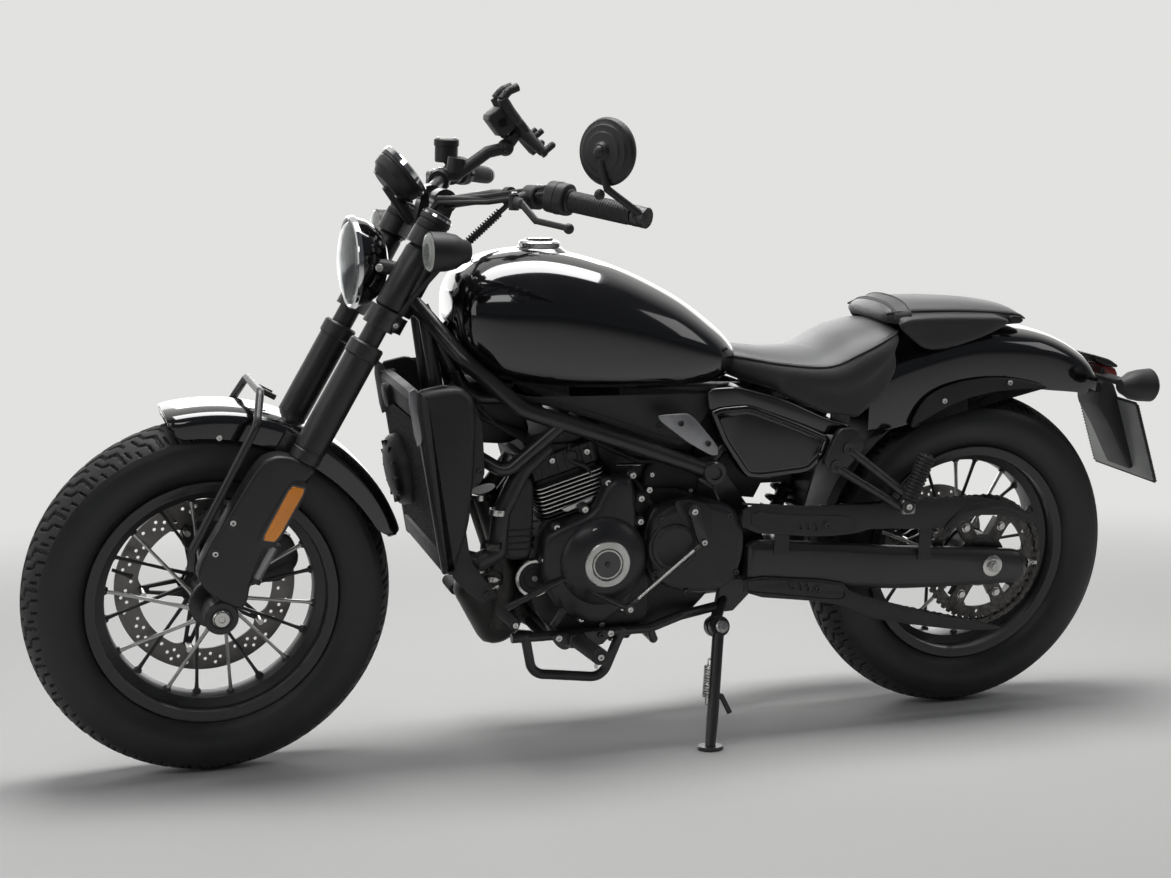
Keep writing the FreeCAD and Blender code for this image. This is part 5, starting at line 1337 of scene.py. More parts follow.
def make_pad(name, rows, extra, seam, node, voxel, pressure):
    """A padded piece: its forms joined by remeshing, swelled, and split into a top and sides at the seam."""
    forms = join(hull(rows, 60, 28, 12), *extra)
    m = SPACE["bike"]
    back = m.inverted()
    obj = plain_object(name, placed(forms, m))
    with_bmesh(obj.data, face_outwards)
    remesh = obj.modifiers.new("Remesh", "REMESH")
    remesh.mode = "VOXEL"
    remesh.voxel_size = voxel
    settle(obj)
    smooth_faces(obj, 4)

    def angle(p):
        q = back @ Vector(p)
        r = row_at_x(rows, q.x)
        y, z = min(1.0, abs(q.y) / r[5]), (q.z - r[2]) / max(1.0, r[3] - r[2])
        return degrees(atan2(max(0.0, z) ** 1.1, y ** 1.18)) if z > 0 else -10.0

    def hold(p):
        a = angle(p)
        q = back @ Vector(p)
        return 1.0 if abs(a - seam) < 3.5 or a < 4 or abs(q.x - rows[0][0]) < 12 else 0.0

    swell(obj, hold, 0.007, pressure, 18)
    smooth_faces(obj, 2)
    obj.data.materials.clear()
    # Faces above the seam get the leather painted lighter for the sheen of the overhead light, the others the
    # darker side leather
    for finish in ("seat leather", "seat side"):
        obj.data.materials.append(paint(finish))
    for f in obj.data.polygons:
        f.material_index = 0 if angle(f.center) > seam else 1
    sub = obj.modifiers.new("Smooth", "SUBSURF")
    sub.levels = sub.render_levels = 1
    settle(obj)
    obj.data.shade_smooth()
    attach(obj, "chassis")
    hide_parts(node)
    return obj


def seam_run(rows, degrees, out):
    start, end, count = 0.04, 0.97, 60
    line = [row_at(rows, start + (end - start) * i / count) for i in range(count + 1)]
    return [hull_point(r, degrees, out) for r in line]


def stitches(path, gap, size):
    """Short thread blocks along a path."""
    spots = [Vector(p) for p in path]
    out, carry = [], 0.0
    for a, b in zip(spots, spots[1:]):
        d = b - a
        while carry < d.length:
            out.append(facing(a + d * (carry / d.length), d))
            carry += gap
        carry -= d.length
    return repeat(block(-size, size, -size, size, -gap * 0.32, gap * 0.32), out, "seat side")


def make_seats(pressure):
    skirt = [(455, 668, 698, 107.5), (360, 631, 696, 129), (300, 622, 706, 133), (242, 666, 732, 125),
        (213, 706, 738, 109)]
    sides = loft([[(x, 94, low), (x, out - 4, low), (x, out, low + 6), (x, out, top - 6), (x, out - 5, top),
        (x, 92, top)] for x, low, top, out in skirt])
    make_pad("saddle", SEAT_ROWS, [sides, flip_y(sides)], 30, "rider_seat", 0.0048, pressure)
    lobe = slab(rounded(((-30, 794), (20, 770), (100, 746), (150, 742), (184, 765), (220, 796), (190, 810),
        (-20, 808)), 2, 0.25), 96, 112, 4, 3)
    bar = block(0, 190, 70, 106, 788, 808)
    make_pad("pillion_pad", PILLION_ROWS, [lobe, flip_y(lobe), bar, flip_y(bar)], 24, "pillion_seat",
        0.0048, pressure)
    trim = Shape()
    for rows, a in ((SEAT_ROWS, 30), (PILLION_ROWS, 24)):
        line = seam_run(rows, a, 0.6)
        for turn in (1, -1):
            path = [(x, turn * y, z) for x, y, z in line]
            trim.add("seat side", sweep(path, 2.0, 8),
                stitches([(x, y * 0.955, z + 2.4) for x, y, z in path], 6.0, 0.55))
    belt = []
    for x, out in ((183, 3.6), (184, 5.2), (214, 5.2), (215, 3.6), (215, 0), (183, 0)):
        r = row_at_x(PILLION_ROWS, x)
        belt.append([(x, y, max(z, 786)) for x, y, z in (hull_point(r, a, out) for a in range(0, 181, 6))])
    cols = len(belt[0])
    verts = np.concatenate([np.array(b) for b in belt])
    faces = grid_faces(len(belt), cols, True, False) + [tuple(i * cols for i in range(6)),
        tuple(i * cols + cols - 1 for i in range(6))]
    trim.add("seat side", (verts, faces))
    for x in (187, 211):
        r = row_at_x(PILLION_ROWS, x)
        trim.add("seat leather", stitches([hull_point(r, a, 5.4) for a in range(2, 179, 4)], 5.0, 0.6))
    tab = slab(rounded(((-62, 790), (-62, 804), (-36, 806), (-36, 792)), 2, .2), 82, 92, 1, 2)
    trim.add("matte black", both(tab))
    piece("seat_seams", trim)


# x, skirt edge, shoulder, top and half width of the rear fender
ARCH_ROWS = ((262, 590, 664, 688, 100), (190, 598, 696, 738, 102), (60, 644, 728, 781, 104), (-60, 662, 730,
    781, 104), (-150, 656, 716, 764, 98), (-235, 646, 680, 720, 82), (-290, 641, 650, 664, 44))


def arch_ring(row, inset):
    """Half ring from the left skirt edge over the top to the right one."""
    x, skirt, shoulder, top, half = row
    half, top, shoulder = half - inset, top - inset, shoulder - inset * 0.5
    ring = [(x, half - 1.2 * (inset == 0), skirt), (x, half, skirt + 4)]
    for k in range(25):
        a = pi * k / 24
        ring.append((x, half * bow(cos(a), 0.62), shoulder + (top - shoulder) * sin(a) ** 0.85))
    return ring + [(x, -half, skirt + 4), (x, -half + 1.2 * (inset == 0), skirt)]


def make_rear_fender():
    rows = [row_at([(*r, 0) for r in ARCH_ROWS], i / 60)[:5] for i in range(61)]
    rings = [arch_ring(r, 0) + arch_ring(r, 3.2)[::-1] for r in rows]
    fender = Shape().add("gloss black", loft(rings))
    piece("fender_rear", fender, ["rear_fender"], sharp=50)

    strut = Shape()
    outline = rounded(((180, 600), (150, 656), (84, 684), (-17, 692), (-118, 671), (-116, 661), (-20, 661),
        (46, 651), (110, 629), (168, 594)), 3, 0.25)
    strut.add("matte black", both(slab(outline, 104.4, 114, 3.6, 4)))
    for x, z in ((110, 647), (-31, 679)):
        for s in (1, -1):
            strut.add("matte black", washer((x, s * 113, z), (x, s * 115, z), 8.5, 3, 28))
            strut.bolts([((x, s * 114, z), (0, s, 0), 5.5)])
    piece("strut_pair", strut, ["fender_struts"])


def make_covers():
    cover = Shape()
    outline = ((600, 644), (578, 652), (520, 655), (417, 616), (352, 588), (362, 554), (395, 522),
        (493, 514), (523, 518), (572, 585))
    panel = rounded(((586, 636), (520, 643), (422, 606), (368, 582), (374, 558), (400, 533), (492, 525),
        (516, 528), (560, 588)), 2, 0.12)
    outer = rounded(outline, 2, 0.12)
    band = rounded(((604, 686), (545, 688), (448, 662), (358, 622), (318, 612), (306, 600), (352, 588),
        (417, 614), (520, 650), (600, 640)), 2, 0.15)
    rim = [[(x, y, z) for x, z in o] for y, o in ((108.6, outer), (126, outer), (130.2, shrink(outer, 1.4)),
        (131.8, shrink(outer, 4)), (131.6, shrink(outer, 9)))]
    inner = [[(x, y, z) for x, z in shrink(outer, 9 + k)] for y, k in ((129.6, 2), (128.4, 3), (128.4, 9))]
    cover.add("gloss black", both(loft(rim + inner)))
    cover.add("panel black", both(slab(shrink(panel, 4), 120, 129.0, 1.2, 3)))
    cover.add("gloss black", both(slab(band, 108.6, 124, 5, 4)))
    cover.add("frame black", *sides(lambda s: rod((515, s * 92, 636), (515, s * 112, 636), 9, 20)))
    piece("side_cover_pair", cover, ["side_covers"], sharp=40)

    under = Shape()
    outline = rounded(((985, 706), (930, 691), (575, 689), (575, 668), (640, 576), (700, 590), (783, 622),
        (880, 655), (950, 672)), 2, 0.12)
    under.add("matte black", both(slab(outline, 103.6, 108, 1.8, 3)),
        both(slab(shrink(outline, 12), 107, 109.4, 1.2, 2)), *[rod((x, s * 90, z), (x, s * 106, z), 9, 20)
        for s in (1, -1) for x, z in ((860, 664), (620, 652))])
    for s in (1, -1):
        under.side_bolts(s * 109, s, 5, ((690, 618), (600, 672)), finish="dark steel")
    piece("under_tank_panels", under, ["side_panels"])

    gusset = Shape()
    outline = rounded(((710, 646), (653, 648), (638, 638), (590, 584), (590, 568), (604, 568), (650, 594),
        (704, 634)), 2, .15)
    y = 146.0
    for s in (1, -1):
        form = slab(outline, y + 0.3, y + 6, 1.6, 3)
        gusset.add("cast grey", on_side(form, s))
        for x, z in ((665, 630), (611, 591)):
            gusset.add("cast grey", washer((x, s * (y + 5), z), (x, s * (y + 6.6), z), 9.5, 6, 28))
            gusset.bolts([((x, s * (y + 5.4), z), (0, s, 0), 5.4)], finish="dark steel")
        gusset.add("frame black", lathe((592, s * 130, 533), (0, s, 0),
            [(0, 22), (18, 22), (21, 20), (21, 12), (14, 10), (14, 0)], 40))
    piece("gusset_pair", gusset, ["gusset_plates"])


# Engine, cooling and exhaust

CASE = ((900, 455), (928, 420), (932, 320), (905, 262), (860, 232), (700, 226), (620, 241), (563, 300),
    (557, 380), (567, 450), (630, 494), (745, 499), (800, 470))
CRANK = (802, 380)
BARREL = move((838, 0, 446)) @ Matrix.Rotation(radians(17), 4, "Y")


def tile(x, hy, z0, z1, r, edge):
    """A plate lying flat, with rounded corners: centre and half size along, half size across, two levels."""
    cx, hx = x
    ring = []
    for sx, sy, start in ((1, 1, 0), (-1, 1, 90), (-1, -1, 180), (1, -1, 270)):
        for k in range(5):
            a = radians(start + 22.5 * k)
            ring.append((cx + sx * (hx - r) + r * cos(a), sy * (hy - r) + r * sin(a)))
    def level(z, by):
        return [(px - by * (px - cx) / hx, py - by * py / hy, z) for px, py in ring]
    if not edge:
        return loft([level(z0, 0), level(z1, 0)])
    return loft([level(z0, edge), level(z0 + edge, 0), level(z1 - edge, 0), level(z1, edge)])


def make_engine():
    engine = Shape()
    case = rounded(CASE, 1, 0.14)
    engine.add("engine black", slab(case, -110, 92, 7, 4))
    front = [(900, 455), (928, 420), (932, 320), (905, 262), (860, 232), (698, 227), (697, 496), (745, 499),
        (800, 470)]
    engine.add("engine black", slab(rounded(front, 1, 0.14), 60, 110, 5, 3))
    for y in (-96, 0, 86):
        engine.add("engine black", slab(case, y - 3, y + 3, 1, 1))
    engine.add("engine black", slab(((880, 238), (862, 205), (720, 201), (690, 236)), -70, 70, 8, 3),
        *[block(x, x + 5, -66, 66, 199, 206) for x in range(735, 860, 18)],
        rod((610, 88, 395), (610, 112, 395), 39.4, 48), placed(join(tile((-3, 63), 100, 0, 96, 14, 2),
        tile((-3, 69), 104, 96, 138, 16, 3), tile((-3, 57), 92, 138, 176, 20, 6)), BARREL))
    spots = [BARREL @ move((-3, 0, 14 + 7.6 * i)) for i in range(10)]
    engine.repeat(tile((0, 69), 116, 0, 3.6, 18, 0.8), spots, "engine black")
    engine.repeat(tile((0, 69.6), 116.6, 0.9, 2.8, 18, 0), spots[3:], "machined")
    engine.add("machined",
        slab(rounded(((877, 474), (812, 499), (819, 483), (866, 467)), 1, .12), 106, 119.5, 1.4, 2))
    engine.add("engine black",
        placed(join(*[block(-58 + 16 * i, -54 + 16 * i, -107, 107, 100, 136) for i in range(8)]), BARREL))
    for s in (1, -1):
        engine.side_bolts(s * 104.5, s, 5.5, ((892, 561), (827, 575)))
        m = BARREL @ move((26, s * 86, 158))
        engine.add("engine black",
            placed(lathe((0, 0, 0), (0, s, 0), [(0, 20), (10, 20), (14, 16), (14, 0)], 36), m))
        engine.add("dark steel",
            placed(bolts([((x, s * 90, 157), (0, s, 0), 4) for x in (-44, -14, 46)]), BARREL))
    box = rounded(((800, 560), (812, 628), (700, 640), (612, 636), (600, 560), (640, 512), (760, 500)), 1,
        0.16)
    engine.add("matte black", slab(box, -66, 66, 12, 4))
    engine.add("bright steel",
        sweep(route([(772, 108, 548), (752, 112, 560), (726, 110, 548)], 12, 12), 5.5, 16, 0.6))
    engine.add("soft rubber",
        sweep(route([(764, 70, 520), (730, 96, 540), (704, 104, 512), (700, 106, 470)], 20, 10), 6, 14),
        sweep(route([(860, 100, 590), (846, 122, 566), (846, 120, 540), (800, 104, 505)], 18, 10), 4, 12))
    engine.bolts([((707, 112, 500), (0, 1, 0), 6), ((790, 111, 248), (0, 1, 0), 5)])
    piece("engine_body", engine, ["engine"], sharp=35)
    make_engine_covers()
    make_fittings()


def make_fittings():
    """Thick coolant hose, and the coil, loom and trays behind the frame tubes."""
    hose = Shape()
    way = [(900, 96, 585), (966, 104, 566), (1000, 138, 480), (1012, 140, 400), (1000, 120, 345),
        (1092, 100, 400)]
    hose.add("hose grey", sweep(route(way, 24, 8), 17, 32))
    hose.add("soft rubber",
        lathe((951, 112, 552), (0, 1, 0), [(0, 15), (8, 15), (10, 13), (10, 9.5), (4, 9), (4, 0)], 36))
    for a, b in (((968, 106, 562), (0.42, 0.4, -1)), ((1010, 139, 420), (0.1, 0, -1)),
            ((1002, 124, 352), (-0.2, -0.3, -1))):
        p, d = Vector(a), unit(Vector(b))
        hose.add("dark steel", washer(p - d * 5, p + d * 5, 18.4, 16, 40))
    piece("coolant_hose", hose, ["coolant_hoses"])

    parts = Shape()
    parts.add("matte black", slab(rounded(((916, 600), (938, 668), (1036, 702), (1060, 640), (1030, 588),
        (962, 582)), 1, .16), -56, 56, 10, 4))
    parts.add("engine black", slab(rounded(((596, 470), (592, 545), (640, 566), (700, 540), (712, 490),
        (690, 466)), 1, .16), -70, 78, 8, 3))
    parts.add("soft rubber", box_round(846, 900, 70, 98, 566, 590, 3),
        lathe((856, 92, 568), (0, 1, 0), [(0, 12), (14, 12), (17, 9), (17, 0)], 32))
    for k, y in enumerate((62, 70, 78, -66, -74)):
        line = [(1070 - 4 * k, y, 722), (1040 - 9 * k, y + 4, 640), (1010 - 6 * k, y, 600 - 5 * k),
            (930, y * 1.1, 602 - 6 * k)]
        parts.add("soft rubber", sweep(route(line, 30, 8), 4.2 - 0.3 * (k % 3), 12))
    for y in (66, -66):
        parts.add("soft rubber", sweep(route([(880, y, 640), (850, y * 1.3, 610), (800, y * 1.35, 560),
            (720, y * 1.2, 520), (640, y, 540)], 26, 8), 5, 14))
    parts.side_bolts(57, 1, 4.6, ((950, 648), (1028, 676), (1016, 604)))
    parts.side_bolts(79, 1, 4.6, ((612, 486), (612, 530), (690, 520)))
    piece("loom_and_coil", parts)


GENERATOR = ((916, 432), (918, 349), (879, 281), (802, 253), (738, 296), (734, 384), (736, 458), (746, 536),
    (794, 532), (819, 474), (883, 450))
SPROCKET = ((724, 406), (706, 472), (628, 490), (540, 467), (520, 399), (540, 314), (619, 301), (702, 329))


def make_engine_covers():
    cover = Shape()
    outline = rounded(GENERATOR, 2, 0.2)
    cover.add("cover grey",
        layers(outline, ((110.4, 0), (126, 0), (133, 1.2), (139, 4), (143.5, 9), (145.4, 16))))
    cx, cz = CRANK
    dome = [(-8, 84), (-1, 83), (4, 80), (9, 75), (14, 67.5), (18.5, 58), (21.5, 50), (22.5, 44), (22.5, 0)]
    cover.add("cover grey", lathe((cx, 145, cz), (0, 1, 0), dome, 96))
    cover.add("machined", lathe((cx, 166, cz), (0, 1, 0),
        [(0, 29.5), (0, 43), (3.6, 42.4), (4.6, 41), (4.6, 31), (3.8, 29.5)], 96, True))
    cover.add("gloss black", lathe((cx, 166, cz), (0, 1, 0), [(0, 0), (0, 30), (2.6, 30), (2.6, 0)], 72))
    cover.add("machined", washer((cx, 168, cz), (cx, 169.6, cz), 27.2, 24.4, 72))
    cover.bolts([((cx, 168.2, cz), (0, 1, 0), 5)], "hex", "dark steel")
    rim = [(794, 525), (746, 537), (728, 492), (728, 448), (837, 477), (890, 445), (912, 385), (878, 331),
        (838, 268), (758, 284)]
    for x, z in rim:
        near = vec(x, z).lerp(vec(cx, cz), 0.02)
        cover.add("cover grey",
            lathe((near.x, 112, near.y), (0, 1, 0), [(0, 11), (18, 10.5), (21, 8), (21, 0)], 28))
        cover.bolts([((near.x, 132.6, near.y), (0, 1, 0), 5.8)])
    cover.add("cover grey", lathe((822, 146, 436), (0, 1, 0), [(-2, 15), (8, 14), (10, 12.5), (10, 0)], 40))
    cover.add("bright steel",
        lathe((822, 155, 436), (0, 1, 0), [(0, 10), (3, 10), (4.4, 8.6), (4.4, 3.2), (3, 3), (3, 0)], 40))

    outline = rounded(SPROCKET, 2, 0.22)
    cover.add("cover grey", layers(outline, ((119.4, 0), (132, 0), (140, 2), (146, 6), (149.5, 13),
        (150, 20))), slab(rounded(((726, 406), (708, 470), (690, 474), (690, 328), (704, 330)), 1, .2),
        110.5, 136, 6, 3), lathe((668, 148, 400), (0, 1, 0),
        [(0, 50), (2.4, 49), (2.6, 44), (4.6, 43.5), (7, 41), (7.6, 36), (6.2, 33), (6.2, 0)], 72))
    well = rounded(((672, 486), (640, 488), (600, 474), (594, 420), (612, 404), (632, 414), (664, 462)), 2,
        0.2)
    cover.add("matte black", slab(well, 146, 151, 1.2, 2))
    for x, z in ((694, 452), (560, 452), (542, 344), (640, 312), (703, 352)):
        cover.bolts([((x, 147.6, z), (0, 1, 0), 5.2)], finish="dark steel")

    right = rounded(((905, 440), (915, 340), (860, 262), (700, 250), (620, 300), (600, 400), (640, 480),
        (780, 500)), 2, 0.2)
    cover.add("cover grey", loft([[(x, -y, z) for x, z in shrink(right, by)] for y,
        by in ((110.4, 0), (130, 0), (140, 2), (146, 7), (149.4, 16))]), lathe((740, -148, 370), (0, -1, 0),
        [(-4, 94), (2, 93), (9, 89), (16, 80), (20, 66), (22, 58), (21, 52), (19, 50), (19, 0)], 96))
    cover.add("machined", washer((740, -166, 370), (740, -170.5, 370), 50, 36, 72))
    for i in range(9):
        a = tau * i / 9
        x, z = 752 + 142 * cos(a), 374 + 104 * sin(a)
        cover.bolts([((x, -147, z), (0, -1, 0), 5.4)])
    piece("cover_pair", cover, ["engine_covers"], sharp=28)


def make_cooling(fins):
    top, low = vec(1154, 0, 690), vec(1098, 0, 372)
    down = unit(low - top)
    ahead = vec(-down.z, 0, down.x)
    m = axes_at((top + low) / 2, ahead, vec(0, 1, 0), -down)
    half = (low - top).length / 2
    core = Shape()
    core.add("core black", placed(block(-27, -3, -138, 138, 46 - half, half - 46), m))
    cells = [m @ move((0, 0, -half + 48 + (2 * half - 96) * (i + 0.5) / fins)) for i in range(fins)]
    core.repeat(block(-3.6, 0.4, -137, 137, -0.5, 0.5), cells, "core black")
    columns = [m @ move((0, -132 + 12 * i, 0)) for i in range(23)]
    core.repeat(block(-3.2, 1.2, -1.2, 1.2, 47 - half, half - 47), columns, "core black")
    for z0, z1 in ((half - 47, half - 1), (1 - half, 47 - half)):
        core.add("matte black", placed(box_round(-27.5, 2.6, -145, 145, z0, z1, 8), m))
    for s in (1, -1):
        y0, y1 = sorted((s * 137, s * 149.8))
        core.add("matte black", placed(box_round(-28, 1.6, y0, y1, 2 - half, half - 2, 2.4), m))
        core.add("cast grey",
            placed(block(0.8, 2.6, s * 146.8 - 1.2, s * 146.8 + 1.2, 6 - half, half - 6), m))
    core.add("frame black", both(box_round(1044, 1110, 85, 103, 590, 606, 2)))
    core.add("matte black", placed(lathe((4, -60, half - 30), (1, 0, 0),
        [(-6, 0), (-6, 19), (2, 19), (4, 22), (9, 22), (11, 18), (11, 0)], 36), m))
    hub = vec(1126, -62, 520)
    core.add("matte black", lathe(hub, ahead,
        [(-4, 67), (2, 67), (14, 66), (20, 62), (26, 50), (30, 36), (31, 20), (32, 0)], 64))
    spokes = [facing(hub + ahead * 27.5, ahead) @ Matrix.Rotation(tau * i / 12, 4,
        "Z") @ move((40, 0, -3.5)) for i in range(12)]
    core.repeat(block(-22, 20, -1.5, 1.5, -3, 3), spokes, "matte black")
    piece("radiator_unit", core, ["radiator"], sharp=40)

    cowl = Shape()
    base = rounded(((1156, 702), (1100, 715), (1057, 689), (1035, 640), (1029, 546), (1071, 512),
        (1053, 400), (1001, 331), (1030, 319), (1090, 373)), 2, 0.12)
    face = rounded(((1152, 700), (1134, 706), (1078, 712), (1052, 690), (1047, 655), (1050, 548),
        (1057, 466), (1086, 374), (1098, 380), (1112, 440)), 2, 0.16)
    form = layers(face, ((152, 0), (160, 0.5), (167, 2.5), (172, 6.5), (175, 13)))
    cowl.add("matte black", both(join(slab(base, 150.4, 161, 3, 3), form)))
    wing = rounded(((1166, 700), (1152, 708), (1128, 668), (1140, 610), (1150, 606)), 1, 0.2)
    cowl.add("cast grey", both(slab(wing, 148, 154, 1.4, 2)))
    for s in (1, -1):
        cowl.side_bolts(s * 161, s, 5, ((1040, 560), (1022, 338)), finish="dark steel")
    piece("shroud_pair", cowl, ["radiator_shrouds"], sharp=40)

    parts = Shape()
    can = rounded(((936, 534), (968, 538), (984, 520), (984, 400), (972, 384), (938, 384), (928, 398),
        (928, 520)), 2, .2)
    parts.add("matte black", slab(can, 96, 124, 10, 4), *[slab(rounded(((927, z), (985.6, z),
        (985.6, z + 5), (927, z + 5)), 1, .2), 94.6, 125.6, 2, 2) for z in (402, 414, 426, 438)])
    parts.add("frame black", block(915, 940, 98, 110, 425, 450), block(918, 932, 100, 112, 345, 400))
    horn = [(-26, 0), (-26, 22), (-16, 27), (-11, 31), (-8, 31), (-6, 33.6), (1, 34), (3, 32), (3, 29),
        (0.5, 27), (1.6, 20), (-0.4, 18), (1, 12), (2.4, 8), (2.4, 0)]
    parts.add("engine black", lathe((924, 118, 348), (0, 1, 0), horn, 64))
    parts.add("bright steel",
        lathe((924, 118, 348), (0, 1, 0), [(1, 29), (1, 34.6), (3.4, 34.2), (3.4, 29.4)], 64, True))
    parts.bolts([((924, 120, 348), (0, 1, 0), 5)])
    for a, b in (((966, 100, 566), (-6, 0, -60)), ((1000, 138, 480), (6, 0, -60)),
            ((1000, 122, 345), (6, -10, -50))):
        d = unit(Vector(b))
        p = Vector(a)
        parts.add("bright steel", washer(p - d * 5, p + d * 5, 14.6, 12.4, 40),
            box_round(p.x - 4, p.x + 4, p.y + 10, p.y + 19, p.z - 4, p.z + 4, 1.5))
    piece("canister_horn_clips", parts, ["front_fittings"])


def make_exhaust():
    pipes = Shape()
    for s in (1, -1):
        y = s * 45
        path = route([(905, y, 560), (1006, y, 520), (1012, y * 0.8, 330), (950, y * 0.6, 216),
            (800, -40 + y * 0.5, 180)], 48, 5)
        pipes.add("pipe black", sweep(path, 20, 28))
        shield = route([(1002, y, 500), (1011.5, y * 0.8, 335), (960, y * 0.64, 232)], 60, 5)
        pipes.add("pipe black", sweep(shield, 22.5, 28))
        for p, d in (((1006, y, 488), (0, 0, 1)), ((1011, y * .81, 350), (0, 0, 1))):
            pipes.add("bright steel",
                washer(Vector(p) - Vector(d) * 5, Vector(p) + Vector(d) * 5, 24.4, 20, 40))
    pipes.add("pipe black", lathe((1004, -6, 318), unit(vec(-60, -6, -110)),
        [(-14, 26), (-6, 38), (6, 45), (20, 46), (104, 46), (118, 43), (128, 34), (134, 20), (134, 0)], 56),
        sweep(route([(820, -46, 178), (590, -110, 190), (450, -208, 262), (380, -214, 276)], 60, 5), 30,
        36))
    d = unit(vec(-1, 0, 0.1))
    can = [(0, 0), (0, 33), (8, 36), (24, 49), (30, 51), (34, 51), (36, 49), (40, 49.5), (370, 53.5),
        (374, 54), (380, 54), (390, 51), (400, 46), (401, 42), (400, 32), (392, 30), (330, 30), (330, 0)]
    pipes.add("pipe black", lathe((420, -214, 276), d, can, 72))
    pipes.add("machined", lathe((420, -214, 276), d, [(374, 53.6), (374, 55), (382, 54.4), (382, 52)], 72,
        True), lathe((420, -214, 276), d, [(396, 30.4), (396, 33), (402, 33), (402, 30.4)], 56, True))
    piece("exhaust_pipes", pipes, ["exhaust"], sharp=35)


# Rear end, foot controls and stand

def helix(a, b, r, wire, turns, per_turn=16, steps=8):
    """A coil of wire round the line from a to b."""
    _, u, w = axes_for(Vector(b) - Vector(a))
    count = int(turns * per_turn)
    path = []
    for i in range(count + 1):
        t = tau * i / per_turn
        path.append(Vector(a).lerp(Vector(b), i / count) + (u * cos(t) + w * sin(t)) * r)
    return sweep(path, wire, steps)


def ribbed(a, b, r, rib, pitch):
    """A rubber sleeve with ribs round it."""
    length = (Vector(b) - Vector(a)).length
    rows = [(0, 0), (0, r - 2), (1.5, r)]
    for i in range(int((length - 6) / pitch)):
        x = 3 + i * pitch
        rows += [(x, r - rib), (x + 0.8, r), (x + pitch - 2.2, r), (x + pitch - 1.4, r - rib)]
    return lathe(a, Vector(b) - Vector(a), rows + [(length - 1.5, r), (length, r - 2), (length, 0)], 28)


BEAM = ((520, 400), (353, 386), (204, 370), (40, 358), (-62, 348), (-84, 330), (-84, 296), (-62, 282),
    (43, 282), (198, 286), (347, 300), (520, 312))


def make_swingarm():
    arm = Shape()
    beam = rounded(BEAM, 1, 0.1)
    arm.add("arm black",
        both(layers(beam, ((126.5, 3), (129, 0), (141, 0), (146, 2.5), (151, 11), (152, 14)))),
        rod((505, -77.7, 350), (505, 77.7, 350), 28, 40), block(430, 505, -60, 60, 328, 372),
        box_round(400, 440, -130, 130, 326, 372, 5), both(block(30, 44, 110, 128, 300, 340)))
    piece("swingarm_beams", arm, ["swingarm"], sharp=28)

    axle = Shape().add("bright steel", rod((0, -160, 323), (0, 160, 323), 10, 32))
    for s in (1, -1):
        axle.add("bright steel",
            lathe((0, s * 151.6, 323), (0, s, 0), [(0, 0), (0, 21), (3, 21), (3.6, 20), (3.6, 0)], 40))
        axle.bolts([((0, s * 155, 323), (0, s, 0), 13)], "hex")
        axle.add("machined", rod((0, s * 160, 323), (0, s * 168, 323), 9, 28))
        axle.add("bright steel", rod((-80, s * 139, 321), (-108, s * 139, 319), 4, 16))
        axle.bolts([((-84, s * 139, 321), (-1, 0, 0), 9), ((-94, s * 139, 320), (-1, 0, 0), 7)], "hex")
        near, far, r = (56, 70, 24) if s < 0 else (112, 126, 22)
        axle.add("frame black", rod((0, s * near, 323), (0, s * far, 323), r, 32))
    piece("rear_axle_set", axle, ["rear_axle"])

    shock = Shape()
    a, b = vec(420, 0, 380), vec(300, 0, 640)
    d = unit(b - a)
    shock.add("matte black", rod(a, b - d * 14, 13, 28), rod(a + d * 20, a + d * 44, 30, 40),
        rod(b - d * 50, b - d * 36, 30, 40))
    shock.add("pipe black", helix(a + d * 46, b - d * 52, 24.5, 4.6, 8, 20, 10))
    shock.add("matte black", washer(b + vec(0, -15, 0), b + vec(0, 15, 0), 19, 9.4, 32))
    piece("shock_absorber", shock, ["rear_shock"])


